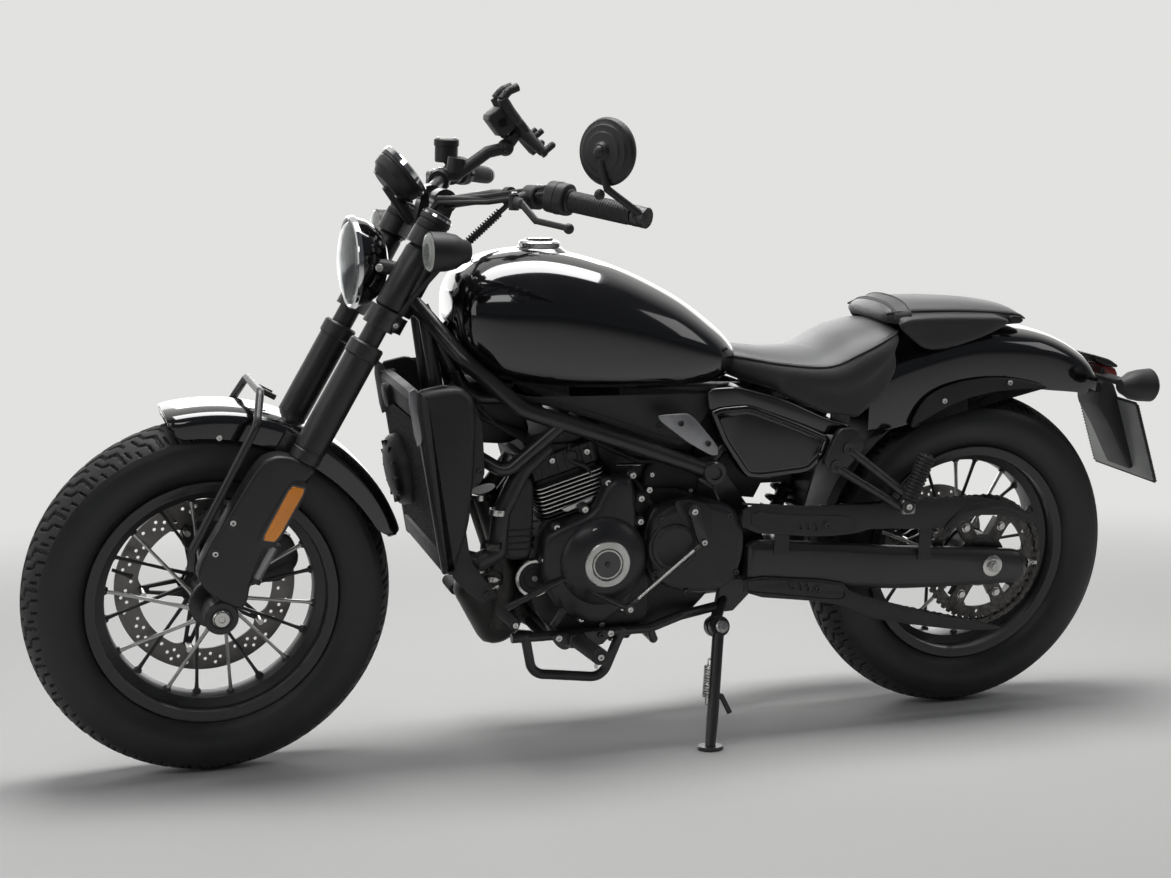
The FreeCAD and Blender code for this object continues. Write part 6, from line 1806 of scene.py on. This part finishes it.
def make_drive(teeth):
    """Chain links round both sprockets, and the rear sprocket's toothed plate and carrier."""
    r1, r0, cx, cz = 127.0, 48.0, 610.0, 72.0
    reach = hypot(cx, cz)
    lead, spread = atan2(cz, cx), acos((r1 - r0) / reach)
    path = []
    for i in range(121):
        t = lead + spread + (tau - 2 * spread) * i / 120
        path.append((r1 * cos(t), r1 * sin(t)))
    for i in range(61):
        t = lead - spread + 2 * spread * i / 60
        path.append((cx + r0 * cos(t), cz + r0 * sin(t)))
    pts = [vec(x, 108, z + REAR_R) for x, z in path]
    pts.append(pts[0])
    lengths = np.cumsum([0] + [(b - a).length for a, b in zip(pts, pts[1:])])
    links = 2 * round(lengths[-1] / 15.875 / 2)

    def spot(s):
        k = min(int(np.searchsorted(lengths, s % lengths[-1], "right")) - 1, len(pts) - 2)
        return pts[k].lerp(pts[k + 1], (s % lengths[-1] - lengths[k]) / (lengths[k + 1] - lengths[k]))

    inner, outer = [], []
    for i in range(links):
        a, b = spot(lengths[-1] * i / links), spot(lengths[-1] * (i + 1) / links)
        x = unit(b - a)
        m = axes_at((a + b) / 2, x, vec(0, 1, 0), x.cross(vec(0, 1, 0)))
        (inner if i % 2 else outer).append(m)
    bar = mirrored([(2, -4.2), (6.6, -5.6), (10, -4), (11.5, 0), (10, 4), (6.6, 5.6), (2, 4.2)])
    pins = join(*[rod((x, -7.9, 0), (x, 7.9, 0), 2.4, 8) for x in (7.9, -7.9)])
    rolls = join(*[rod((x, -3.6, 0), (x, 3.6, 0), 3.8, 8) for x in (7.9, -7.9)])
    chain = Shape()
    chain.repeat(join(plate(bar, 5.6, 7.2), plate(bar, -7.2, -5.6), pins), outer, "chain black")
    chain.repeat(join(plate(bar, 3.7, 5.3), plate(bar, -5.3, -3.7), rolls), inner, "chain black")
    piece("chain_links", chain, ["drive_chain"])

    rim = []
    for i in range(teeth):
        for part, r in ((0.0, 122.4), (0.16, 122.0), (0.3, 118.2), (0.5, 117.0), (0.7, 118.2), (0.84, 122.0)):
            a = tau * (i + part) / teeth
            rim.append((r * cos(a), r * sin(a)))
    gaps = []
    for i in range(6):
        start = 60 * i + 9
        outer_arc = ring_points(96, 9, (0, 0), start, start + 42, False)
        inner_arc = ring_points(53, 7, (0, 0), start + 36, start + 6, False)
        gaps.append(rounded(outer_arc + inner_arc, 1, 0.2))
    holes = [ring_points(4, 12, (106 * cos(radians(60 * i + 30)), 106 * sin(radians(60 * i + 30))))
        for i in range(6)]
    gear = Shape().add("dark steel", cut_plate([rim] + gaps + holes, 105.4, 110.6))
    gear.add("frame black", lathe((0, 55.4, 0), (0, 1, 0), [(0, 16.6), (0, 50), (26, 50), (34, 48),
        (52, 48), (56, 45), (56, 30), (52, 26), (52, 16.6)], 64, True))
    webs = [Matrix.Rotation(radians(60 * i), 4, "Y") @ move((66, 92, 0)) for i in range(6)]
    gear.repeat(block(-22, 24, -12, 13, -7, 7), webs, "frame black")
    for i in range(6):
        a = radians(60 * i)
        gear.bolts([((78 * cos(a), 110.5, 78 * sin(a)), (0, 1, 0), 8)], "hex")
    piece("sprocket_and_carrier", gear, ["rear_sprocket"], "rear", "rear_wheel", sharp=30)


def make_guards():
    guard = Shape()
    upper = rounded(((538, 475), (420, 463), (274, 459), (129, 464), (49, 463), (-31, 447), (-96, 412),
        (-95, 401), (-10, 425), (46, 428), (99, 411), (123, 404), (271, 414), (302, 406), (375, 403),
        (538, 421)), 1, 0.2)
    lower = rounded(((528, 337), (328, 315), (305, 290), (196, 257), (106, 230), (-29, 199), (-31, 191),
        (59, 196), (160, 214), (259, 235), (335, 272), (528, 298)), 1, 0.2)
    guard.add("matte black", slab(upper, 152.3, 157, 1.6, 2), slab(lower, 152.3, 157, 1.6, 2),
        block(440, 470, 152.4, 154.6, 374, 425), block(140, 166, 152.4, 154.6, 346, 425))
    panels = ((((520, 462), (448, 450), (322, 442), (306, 428), (306, 412), (327, 408), (466, 420), (520,
        428)), ((424, 430), (408, 428), (392, 426)), (366, 426)), (((522, 332), (334, 311), (318, 290),
        (322, 280), (345, 280), (500, 304), (522, 306)), ((433, 315), (417, 312), (401, 309)), (378, 303)))
    for outline, slots, (bx, bz) in panels:
        cuts = [slot_hole(x, z, 13, 6, 62) for x, z in slots]
        guard.add("matte black", cut_plate([rounded(outline, 1, 0.2)] + cuts, 156.6, 159.2),
            washer((bx, 157, bz), (bx, 160.4, bz), 9.5, 6.5, 28))
        guard.bolts([((bx, 158, bz), (0, 1, 0), 5.6)], finish="dark steel")
    arch = [(126, 388), (113, 412), (82, 442), (38, 456), (-22, 450), (-82, 422), (-90, 408), (-51, 421),
        (-15, 439), (35, 440), (74, 426), (98, 400), (112, 384)]
    guard.add("matte black", slab(rounded(arch, 2, 0.25), 156, 159.6, 1.4, 2))
    guard.bolts([((104, 159.2, 400), (0, 1, 0), 4)], finish="dark steel")
    edge = ((538, 475), (420, 463), (274, 459), (129, 464), (49, 463), (-31, 447))
    guard.add("matte black", sweep([(x, 153.6, z) for x, z in edge], 2.2, 8))
    piece("guard_plates", guard, ["chain_guards"])

    caliper = Shape()
    body = rounded(((60, 387), (116, 374), (129, 410), (88, 441), (51, 425)), 2, 0.2)
    caliper.add("cover grey", slab(body, -99.6, -84, 4, 3), slab(body, -72, -64.4, 3, 3),
        slab(((92, 439), (127, 411), (121, 402), (86, 428)), -85, -71, 1, 1),
        slab(((90, 374), (110, 341), (149, 346), (125, 399)), -125.6, -92, 3, 3))
    caliper.side_bolts(-99, -1, 5.5, ((72, 400), (112, 398)))
    piece("caliper_rear", caliper, ["rear_caliper"])


def make_pegs():
    pegs = Shape()
    for s in (1, -1):
        bracket = rounded(((346, 608), (308, 609), (291, 572), (306, 550), (338, 517), (374, 541),
            (369, 556)), 2, 0.15)
        form = slab(bracket, 133, 149.6, 4, 3)
        pegs.add("frame black", on_side(form, s), block(302, 340, *sorted((s * 94, s * 101)), 590, 646),
            rod((322, s * 96, 572), (322, s * 135, 572), 10, 20))
        runs = (((326, 144, 570), (216, 172, 484)), ((350, 144, 536), (222, 172, 458)))
        for a, b in runs:
            a, b = vec(a[0], s * a[1], a[2]), vec(b[0], s * b[1], b[2])
            pegs.add("frame black", rod(a, b, 8.6, 28), ball(a, 9, 20), ball(b, 9, 20))
            out = vec(0, s, 0)
            pegs.add("frame black", washer(a + out * 4, a + out * 9.6, 11.6, 7.4, 32))
            pegs.bolts([(a + out * 5.4, (0, s, 0), 7)], finish="dark steel")
        pegs.add("frame black", rod((214, s * 164, 462), (214, s * 190, 462), 13, 32))
        pegs.bolts([((214, s * 190, 462), (0, s, 0), 6)])
        pegs.add("cast grey", box_round(198, 226, *sorted((s * 174, s * 188)), 446, 474, 3))
        pegs.add("soft rubber", ribbed((210, s * 181, 470), (177, s * 181, 556), 16.5, 2.2, 7))
        pegs.add("frame black", rod((177, s * 181, 556), (176, s * 181, 559), 10, 24))
    piece("pillion_peg_pair", pegs, ["pillion_pegs"], sharp=35)

    feet = Shape()
    base = rounded(((900, 246), (872, 221), (800, 215), (768, 247)), 1, 0.15)
    for s in (1, -1):
        form = slab(base, 130.4, 138, 2, 2)
        feet.add("frame black", on_side(form, s))
        for x, z in ((881, 238), (838, 222), (800, 238), (782, 240)):
            feet.bolts([((x, s * 138, z), (0, s, 0), 6)],
                finish="bright steel" if x in (881, 782) else "dark steel")
        feet.add("frame black", box_round(832, 864, *sorted((s * 138, s * 156)), 222, 248, 4))
        feet.add("soft rubber", ribbed((848, s * 156, 235), (842, s * 260, 240), 15, 2.0, 6.5))
        feet.bolts([((842, s * 260, 240), (0, s, 0), 6)])
        feet.add("bright steel", rod((842, s * 238, 226), (842, s * 238, 212), 3, 12))
    feet.add("frame black", rod((640, 150.4, 470), (640, 172, 470), 11, 28),
        slab(rounded(((652, 476), (634, 482), (608, 414), (610, 404), (626, 402)), 2, .2), 163, 171, 2, 2),
        rod((760, 166, 296), (760, 179, 296), 9, 24))
    feet.add("bright steel", rod((618, 168, 411), (760, 168, 297), 3.0, 16))
    feet.add("dark steel", rod((636, 168, 396.5), (618, 168, 411), 5.4, 16),
        rod((742, 168, 311.5), (760, 168, 297), 5.4, 16))
    feet.bolts([((640, 171.6, 470), (0, 1, 0), 6), ((618, 171, 411), (0, 1, 0), 5.5),
        ((760, 178.6, 296), (0, 1, 0), 5)])
    feet.add("frame black", sweep(route([(760, 172, 296), (880, 171, 299), (1000, 168, 306)], 60), 7, 20,
        0.8), sweep([(890, 138.4, 268), (890, 156, 280), (886, 171, 299)], [9, 8, 7.6], 20))
    feet.add("soft rubber", ribbed((999, 164, 306), (990, 231, 300), 9.6, 1.2, 5))
    feet.bolts([((990, 231, 300), (0, 1, 0), 5)])
    feet.add("frame black", rod((890, -138.3, 236), (890, -174, 236), 10, 28),
        sweep([(890, -166, 236), (946, -168, 240), (1000, -166, 250)], [9, 8, 7], 20))
    feet.add("soft rubber", ribbed((1000, -158, 250), (1000, -225, 250), 11.5, 1.4, 5))
    piece("foot_control_set", feet, ["foot_controls"], sharp=35)


def make_stand():
    m = SPACE["bike"]
    drop = m @ vec(612, 228, 0)
    foot = vec(612, 228, -drop.z / (m @ vec(612, 228, 1) - drop).z)
    up = vec(0, -sin(LEAN), cos(LEAN))
    axis = vec(0, cos(radians(17)), sin(radians(17)))
    p = vec(570, 134, 236)
    top = p + axis * 10
    run = top - foot
    stand = Shape()
    stand.add("frame black", lathe(foot, up, [(0, 0), (0, 22.5), (1.5, 24), (5, 24), (7, 22.5), (7, 0)],
        48), sweep([foot + up * 5, foot + run * 0.25, foot + run * 0.7, top], [9.5, 11, 11, 11], 28),
        lathe(p, axis, [(0, 8.1), (0, 18), (1.5, 19), (18.5, 19), (20, 18), (20, 8.1)], 40, True),
        sweep(route([foot + run * 0.45, (572, 192, 132), (566, 204, 90)], 10, 15), 5, 16))
    low, high = foot + run * 0.42 + vec(16, 0, 0), foot + run * 0.68 + vec(16, 0, 0)
    stand.add("bright steel", helix(low, high, 6.2, 1.7, 12))
    for end, way in ((low, -1), (high, 1)):
        stand.add("bright steel",
            sweep([end, end + unit(run) * 12 * way, end + unit(run) * 16 * way - vec(16, 0, 0)], 1.8, 8))
    piece("stand_leg", stand, ["side_stand"], "bike", "side_stand", sharp=35)
    bolt = Shape().add("bright steel",
        lathe(p + axis * 26, axis, [(0, 0), (0, 12.5), (2, 12.5), (5, 10), (6, 0)], 32))
    bolt.bolts([(p + axis * 29, axis, 8)], "hex")
    piece("stand_pivot_bolt", bolt)


def make_tail():
    tail = Shape()
    shade = rounded(((-263, 718), (-308, 706), (-329, 693), (-326, 688), (-294, 694), (-275, 703)), 1, 0.15)
    lens = rounded(((-293, 694), (-324, 688), (-331, 676), (-331, 669), (-293, 665)), 1, 0.15)
    tail.add("matte black", slab(shade, -42, 42, 4, 3)).add("red lens", slab(lens, -38, 38, 3, 3))
    tail.add("matte black", block(-298, -293, -40, 40, 664, 690))
    tail.add("soft rubber", rod((-300, -130, 670), (-300, 130, 670), 8.8, 28))
    for s in (1, -1):
        p = (-328, s * 150, 672)
        d = (-1, 0, 0)
        tail.add("matte black", lathe(p, d, [(-71, 0), (-71, 13), (-68, 16), (-60, 20), (-48, 27.4),
            (-30, 31), (-6, 32.8), (-4, 33), (-4, 30), (-14, 29), (-14, 0)], 48))
        tail.add("lamp white", lathe(p, d, [(-15, 0), (-15, 24), (-5, 30), (-5, 27), (-9, 0)], 40))
        tail.add("smoke lens",
            lathe(p, d, [(-7, 31), (-3, 31.8), (1, 28.4), (3.6, 18), (4, 0), (2, 0), (-7, 28.6)], 48))
    piece("tail_light_set", tail, ["tail_lamps"], sharp=40)

    holder = Shape()
    stay = ((-292.6, 659), (-322, 659), (-350, 600), (-390, 478), (-381, 474), (-330, 560), (-292.6, 611))
    holder.add("matte black", slab(rounded(stay, 1, 0.12), -40, 40, 4, 3))
    top, low = vec(-335, 0, 627), vec(-399, 0, 459)
    down = unit(low - top)
    out = vec(down.z, 0, -down.x)
    m = axes_at((top + low) / 2, vec(0, 1, 0), -down, out)
    half = (low - top).length / 2
    turn = Matrix(((1, 0, 0, 0), (0, 0, 1, 0), (0, -1, 0, 0), (0, 0, 0, 1)))
    hold = m @ turn
    rim = rounded(((-105, -half), (105, -half), (105, half), (-105, half)), 2, 0.04)
    holder.add("matte black", placed(slab(rim, -3.0, 1.6, 1, 2), hold))
    holder.add("plate grey", placed(slab(shrink(rim, 4), -1, 2.4, 0.8, 2), hold))
    teeth = [m @ move((x, s * (half - 1.4), 0)) for x in range(-98, 99, 7) for s in (1, -1)]
    teeth += [m @ move((s * 103.4, z, 0)) for z in range(-84, 85, 7) for s in (1, -1)]
    holder.repeat(block(-1.8, 1.8, -1.8, 1.8, -3.2, 3.2), teeth, "matte black")
    holder.bolts([(m @ vec(x, 62, 2.2), out, 4.5) for x in (-70, 70)])
    piece("plate_and_stay", holder, ["plate_holder"])

    arch = Shape()
    rows = []
    for i in range(19):
        a = radians(14 + 62 * i / 18)
        rows.append([(r * cos(a), y, REAR_R + r * sin(a)) for r, y in ((352, -78), (352, 78), (340, 88),
            (336, 86), (348, 75), (348, -75), (336, -86), (340, -88))])
    arch.add("matte black", loft(rows))
    flap = ((0, 0, 96), (14, -46, 92), (20, -92, 80), (18, -128, 60))
    arch.add("matte black", loft([[(352 + x + side * 2, y, 560 + z) for side, y in ((1, -w), (1, w),
        (-1, w), (-1, -w))] for x, z, w in flap]), box_round(392, 470, -52, 52, 486, 512, 6))
    piece("inner_mudguard", arch)

    wrap = Shape()
    a, b = vec(1010.8, 186, 1025.5), vec(1112.4, 136, 913.8)
    wrap.add("soft rubber", helix(a.lerp(b, 0.12), a.lerp(b, 0.80), 6.6, 1.5, 20, 12, 6))
    piece("cable_wrap", wrap, space="bars", body="steering")
# Finishes of the solids that stay as they are
SOLID_FINISH = {"frame_black": "frame black", "engine_grey": "engine black", "cover_grey": "cover grey",
    "core_black": "matte black", "matte_black": "matte black", "hose_rubber": "soft rubber",
    "exhaust_black": "matte black", "gloss_black": "gloss black", "satin_silver": "cast grey",
    "seat_leather": "seat leather", "lamp_black": "matte black", "bright_steel": "bright steel",
    "chain_steel": "dark steel", "fork_black": "fork black", "amber_lens": "amber",
    "clear_lens": "clear lens", "grip_rubber": "soft rubber", "tyre": "tyre rubber",
    "wheel_black": "frame black", "disc_steel": "disc steel"}


def finish_solids():
    """Gives each solid that still shows the finish of its slot."""
    slots = {s["node"]: s["material_slot"] for s in frame["record"]["subparts"]}
    for name, obj in frame["nodes"].items():
        mat = paint(SOLID_FINISH[slots[name]])
        if not obj.data.materials:
            obj.data.materials.append(mat)
        for place in obj.material_slots:
            place.material = mat


# Stage

def lamp(name, place, aim, size, power):
    light = bpy.data.lights.new(name, "AREA")
    light.shape = "RECTANGLE"
    light.size, light.size_y = size
    light.energy = power
    aimed = (Vector(aim) - Vector(place)).to_track_quat("-Z", "Y").to_matrix().to_4x4()
    link_object(name, light).matrix_world = move(place) @ aimed


BACKDROP = (.76, .76, .745)
FLOOR_Z = -0.0005


def backdrop_material(colour):
    """Pale floor that keeps its shadows near the object and fades into the background further out."""
    mat = bpy.data.materials.new("pale floor")
    mat.use_nodes = True
    tree = mat.node_tree
    shader, out = tree.nodes["Principled BSDF"], tree.nodes["Material Output"]
    wire(tree, shader.inputs, {"Base Color": (*colour, 1), "Roughness": 0.9, "Specular IOR Level": 0.2})
    where = add_node(tree, "ShaderNodeTexCoord").outputs["Object"]
    far = add_node(tree, "ShaderNodeVectorMath", {0: where}, operation="LENGTH").outputs["Value"]
    fade = add_node(tree, "ShaderNodeMapRange", {"Value": far, "From Min": 1.3, "From Max": 4.6},
        interpolation_type="SMOOTHSTEP").outputs["Result"]
    fac = multiply(tree, fade, add_node(tree, "ShaderNodeLightPath").outputs["Is Camera Ray"])
    glow = add_node(tree, "ShaderNodeEmission", {"Color": (*BACKDROP, 1)}).outputs[0]
    mix = add_node(tree, "ShaderNodeMixShader", {"Fac": fac, 1: shader.outputs["BSDF"], 2: glow})
    wire(tree, out.inputs, {"Surface": mix.outputs[0]})
    return mat


# name: place, aim, size of the lamp and its share of the main lamp's power
LAMPS = {"key": ((1.8, 3.4, 3.0), (0, 0, 0.5), (2.4, 1.0), 0.55), "side": ((-3.4, 1.8, 2.2),
    (-0.2, 0, 0.5), (1.2, 1.6), 0.22), "front": ((3.8, 0.9, 1.5), (0.3, 0, 0.6), (2.2, 2.2), 0.45),
    "back": ((-0.4, -3.2, 2.4), (0, 0, 0.6), (2.6, 1.0), 0.7), "wall": ((-1.2, -4.6, 1.7), (-0.2, 0, 0.6),
    (7.0, 3.0), 2.0), "top": ((0.0, -0.2, 3.4), (0, 0, 0), (3.2, 1.4), 3.2),}


def make_stage(lamp_power, floor_tone):
    scene = bpy.context.scene
    scene.view_settings.view_transform = "Standard"
    scene.world = bpy.data.worlds.new("studio")
    light_world(scene.world)
    floor = plain_object("floor",
        ([(x, y, FLOOR_Z) for x, y in ((-40, -40), (40, -40), (40, 40), (-40, 40))], [(0, 1, 2, 3)]))
    floor.data.materials.append(backdrop_material(floor_tone))
    for name, (place, aim, size, share) in LAMPS.items():
        lamp(name, place, aim, size, lamp_power * share)
    add_camera()


def light_world(world):
    """Faint sky light; the eye, and gloss and glass that look away from the camera, see the backdrop."""
    world.use_nodes = True
    tree = world.node_tree
    tree.nodes.clear()
    sky = add_node(tree, "ShaderNodeBackground", {"Color": (.86, .90, 1.0, 1), "Strength": 0.09}).outputs[0]
    seen = add_node(tree, "ShaderNodeBackground", {"Color": (*BACKDROP, 1)}).outputs[0]
    ray = add_node(tree, "ShaderNodeLightPath").outputs
    behind = ramp(tree, one_axis(tree, "ShaderNodeTexCoord", "Generated", "Y"), 0.15, -0.35)
    shown = multiply(tree, ray["Is Glossy Ray"], behind)
    for kind in ("Is Transmission Ray", "Is Camera Ray"):
        shown = math_node(tree, "ADD", shown, ray[kind], True)
    mix = add_node(tree, "ShaderNodeMixShader", {"Fac": shown, 1: sky, 2: seen})
    add_node(tree, "ShaderNodeOutputWorld", {"Surface": mix.outputs[0]})


def add_camera():
    """The photograph's view: 1171 by 878, focal length 1690.5 of its pixels."""
    yaw, pitch, roll = (radians(a) for a in (-18.11, 3.81, -0.99))
    d = vec(sin(yaw) * cos(pitch), -cos(yaw) * cos(pitch), -sin(pitch))
    r = vec(-cos(yaw), -sin(yaw), 0)
    u = r.cross(d)
    right, up = r * cos(roll) + u * sin(roll), u * cos(roll) - r * sin(roll)
    data = bpy.data.cameras.new("camera")
    data.sensor_fit = "HORIZONTAL"
    data.sensor_width = 36.0
    data.lens = 1690.5 * 36.0 / 1171.0
    data.clip_start = 0.05
    cam = link_object("camera", data)
    cam.matrix_world = axes_at((1.0703, 2.9022, 0.7787), right, up, -d)
    bpy.context.scene.camera = cam


# Settings, operators and panel

class WheelSettings(bpy.types.PropertyGroup):
    """Tyres and chain."""
    tread_pitches: bpy.props.IntProperty(name="Tread pitches",
        description="Repeats of the tread round a tyre", default=28, min=12, max=48)
    tread_depth: bpy.props.FloatProperty(name="Tread depth",
        description="Depth of the tread grooves in millimetres", default=5.0, min=1.0, max=8.0)
    sprocket_teeth: bpy.props.IntProperty(name="Sprocket teeth", description="Teeth of the rear sprocket",
        default=50, min=30, max=60)


class EngineSettings(bpy.types.PropertyGroup):
    """Engine and cooling."""
    core_fins: bpy.props.IntProperty(name="Core fins", description="Cooling fins down the radiator's core",
        default=70, min=20, max=120)


class SeatSettings(bpy.types.PropertyGroup):
    """Seat covers."""
    pressure: bpy.props.FloatProperty(name="Pressure",
        description="How hard the padding pushes the cover out", default=4.0, min=0.0, max=10.0)
    fill: bpy.props.FloatProperty(name="Fill", description="How full the padding is", subtype="FACTOR",
        default=0.8, min=0.0, max=1.0)


class StageSettings(bpy.types.PropertyGroup):
    """Floor and lamps."""
    lamp_power: bpy.props.FloatProperty(name="Lamp power", description="Power of the main lamp in watts",
        default=38.0, min=0.0, unit="POWER")
    floor_tone: bpy.props.FloatVectorProperty(name="Floor", description="Colour of the floor",
        subtype="COLOR", size=3, default=(.52, .52, .51), min=0, max=1)


class MOTORCYCLE_OT_wheels(bpy.types.Operator):
    """Build the tyres, cast wheels and brake discs"""
    bl_idname = "motorcycle.wheels"
    bl_label = "Wheels"

    def execute(self, context):
        settings = context.scene.motorcycle_wheels
        make_tyres(settings.tread_pitches, settings.tread_depth)
        make_wheels()
        return {"FINISHED"}


class MOTORCYCLE_OT_fork(bpy.types.Operator):
    """Build the fork, front fender and front caliper"""
    bl_idname = "motorcycle.fork"
    bl_label = "Fork"

    def execute(self, context):
        make_fork()
        return {"FINISHED"}


class MOTORCYCLE_OT_lamps(bpy.types.Operator):
    """Build the front lamps and the dial"""
    bl_idname = "motorcycle.lamps"
    bl_label = "Lamps and Dial"

    def execute(self, context):
        make_lamps()
        return {"FINISHED"}


class MOTORCYCLE_OT_bars(bpy.types.Operator):
    """Build the grips, levers, mirror and holder"""
    bl_idname = "motorcycle.bars"
    bl_label = "Bar Fittings"

    def execute(self, context):
        make_bars()
        return {"FINISHED"}


class MOTORCYCLE_OT_body(bpy.types.Operator):
    """Build the tank, covers and rear fender"""
    bl_idname = "motorcycle.body"
    bl_label = "Body"

    def execute(self, context):
        make_tank()
        make_rear_fender()
        make_covers()
        return {"FINISHED"}


class MOTORCYCLE_OT_seats(bpy.types.Operator):
    """Build the padded seats with their seams"""
    bl_idname = "motorcycle.seats"
    bl_label = "Seats"

    def execute(self, context):
        settings = context.scene.motorcycle_seats
        make_seats(settings.pressure)
        return {"FINISHED"}


class MOTORCYCLE_OT_engine(bpy.types.Operator):
    """Build the engine with its covers, cooling and exhaust"""
    bl_idname = "motorcycle.engine"
    bl_label = "Engine"

    def execute(self, context):
        make_engine()
        make_cooling(context.scene.motorcycle_engine.core_fins)
        make_exhaust()
        return {"FINISHED"}


class MOTORCYCLE_OT_drive(bpy.types.Operator):
    """Build the swingarm, chain, sprocket, guards and rear caliper"""
    bl_idname = "motorcycle.drive"
    bl_label = "Rear Drive"

    def execute(self, context):
        make_swingarm()
        make_drive(context.scene.motorcycle_wheels.sprocket_teeth)
        make_guards()
        return {"FINISHED"}


class MOTORCYCLE_OT_pegs(bpy.types.Operator):
    """Build the pegs, foot controls and side stand"""
    bl_idname = "motorcycle.pegs"
    bl_label = "Pegs and Stand"

    def execute(self, context):
        make_pegs()
        make_stand()
        return {"FINISHED"}


class MOTORCYCLE_OT_tail(bpy.types.Operator):
    """Build the rear lamps, plate holder and small parts"""
    bl_idname = "motorcycle.tail"
    bl_label = "Tail"

    def execute(self, context):
        make_tail()
        return {"FINISHED"}


class MOTORCYCLE_OT_finish(bpy.types.Operator):
    """Give the solids that still show their finishes"""
    bl_idname = "motorcycle.finish"
    bl_label = "Solid Finishes"

    def execute(self, context):
        finish_solids()
        return {"FINISHED"}


class MOTORCYCLE_OT_stage(bpy.types.Operator):
    """Set up the floor, lamps and camera"""
    bl_idname = "motorcycle.stage"
    bl_label = "Stage"

    def execute(self, context):
        settings = context.scene.motorcycle_stage
        make_stage(settings.lamp_power, settings.floor_tone)
        return {"FINISHED"}


OPERATORS = (MOTORCYCLE_OT_wheels, MOTORCYCLE_OT_fork, MOTORCYCLE_OT_lamps, MOTORCYCLE_OT_bars,
    MOTORCYCLE_OT_body, MOTORCYCLE_OT_seats, MOTORCYCLE_OT_engine, MOTORCYCLE_OT_drive, MOTORCYCLE_OT_pegs,
    MOTORCYCLE_OT_tail, MOTORCYCLE_OT_finish, MOTORCYCLE_OT_stage)
SETTINGS = {"motorcycle_wheels": WheelSettings, "motorcycle_engine": EngineSettings,
    "motorcycle_seats": SeatSettings, "motorcycle_stage": StageSettings}


class MOTORCYCLE_PT_panel(bpy.types.Panel):
    """Settings and build steps of the motorcycle"""
    bl_idname = "MOTORCYCLE_PT_panel"
    bl_label = "Motorcycle"
    bl_space_type = "VIEW_3D"
    bl_region_type = "UI"
    bl_category = "Motorcycle"

    def draw(self, context):
        for key, kind in SETTINGS.items():
            box = self.layout.box()
            for name in kind.__annotations__:
                box.prop(getattr(context.scene, key), name)
        for operator in OPERATORS:
            self.layout.operator(operator.bl_idname)


def register():
    for kind in (*SETTINGS.values(), *OPERATORS, MOTORCYCLE_PT_panel):
        bpy.utils.register_class(kind)
    for key, kind in SETTINGS.items():
        setattr(bpy.types.Scene, key, bpy.props.PointerProperty(type=kind))


def unregister():
    for key in SETTINGS:
        delattr(bpy.types.Scene, key)
    for kind in (MOTORCYCLE_PT_panel, *reversed(OPERATORS), *reversed(SETTINGS.values())):
        bpy.utils.unregister_class(kind)


def main():
    register()
    bpy.ops.motorcycle.wheels()
    bpy.ops.motorcycle.fork()
    bpy.ops.motorcycle.lamps()
    bpy.ops.motorcycle.bars()
    bpy.ops.motorcycle.body()
    bpy.ops.motorcycle.seats()
    bpy.ops.motorcycle.engine()
    bpy.ops.motorcycle.drive()
    bpy.ops.motorcycle.pegs()
    bpy.ops.motorcycle.tail()
    bpy.ops.motorcycle.finish()
    bpy.ops.motorcycle.stage()


if __name__ == "__main__":
    main()
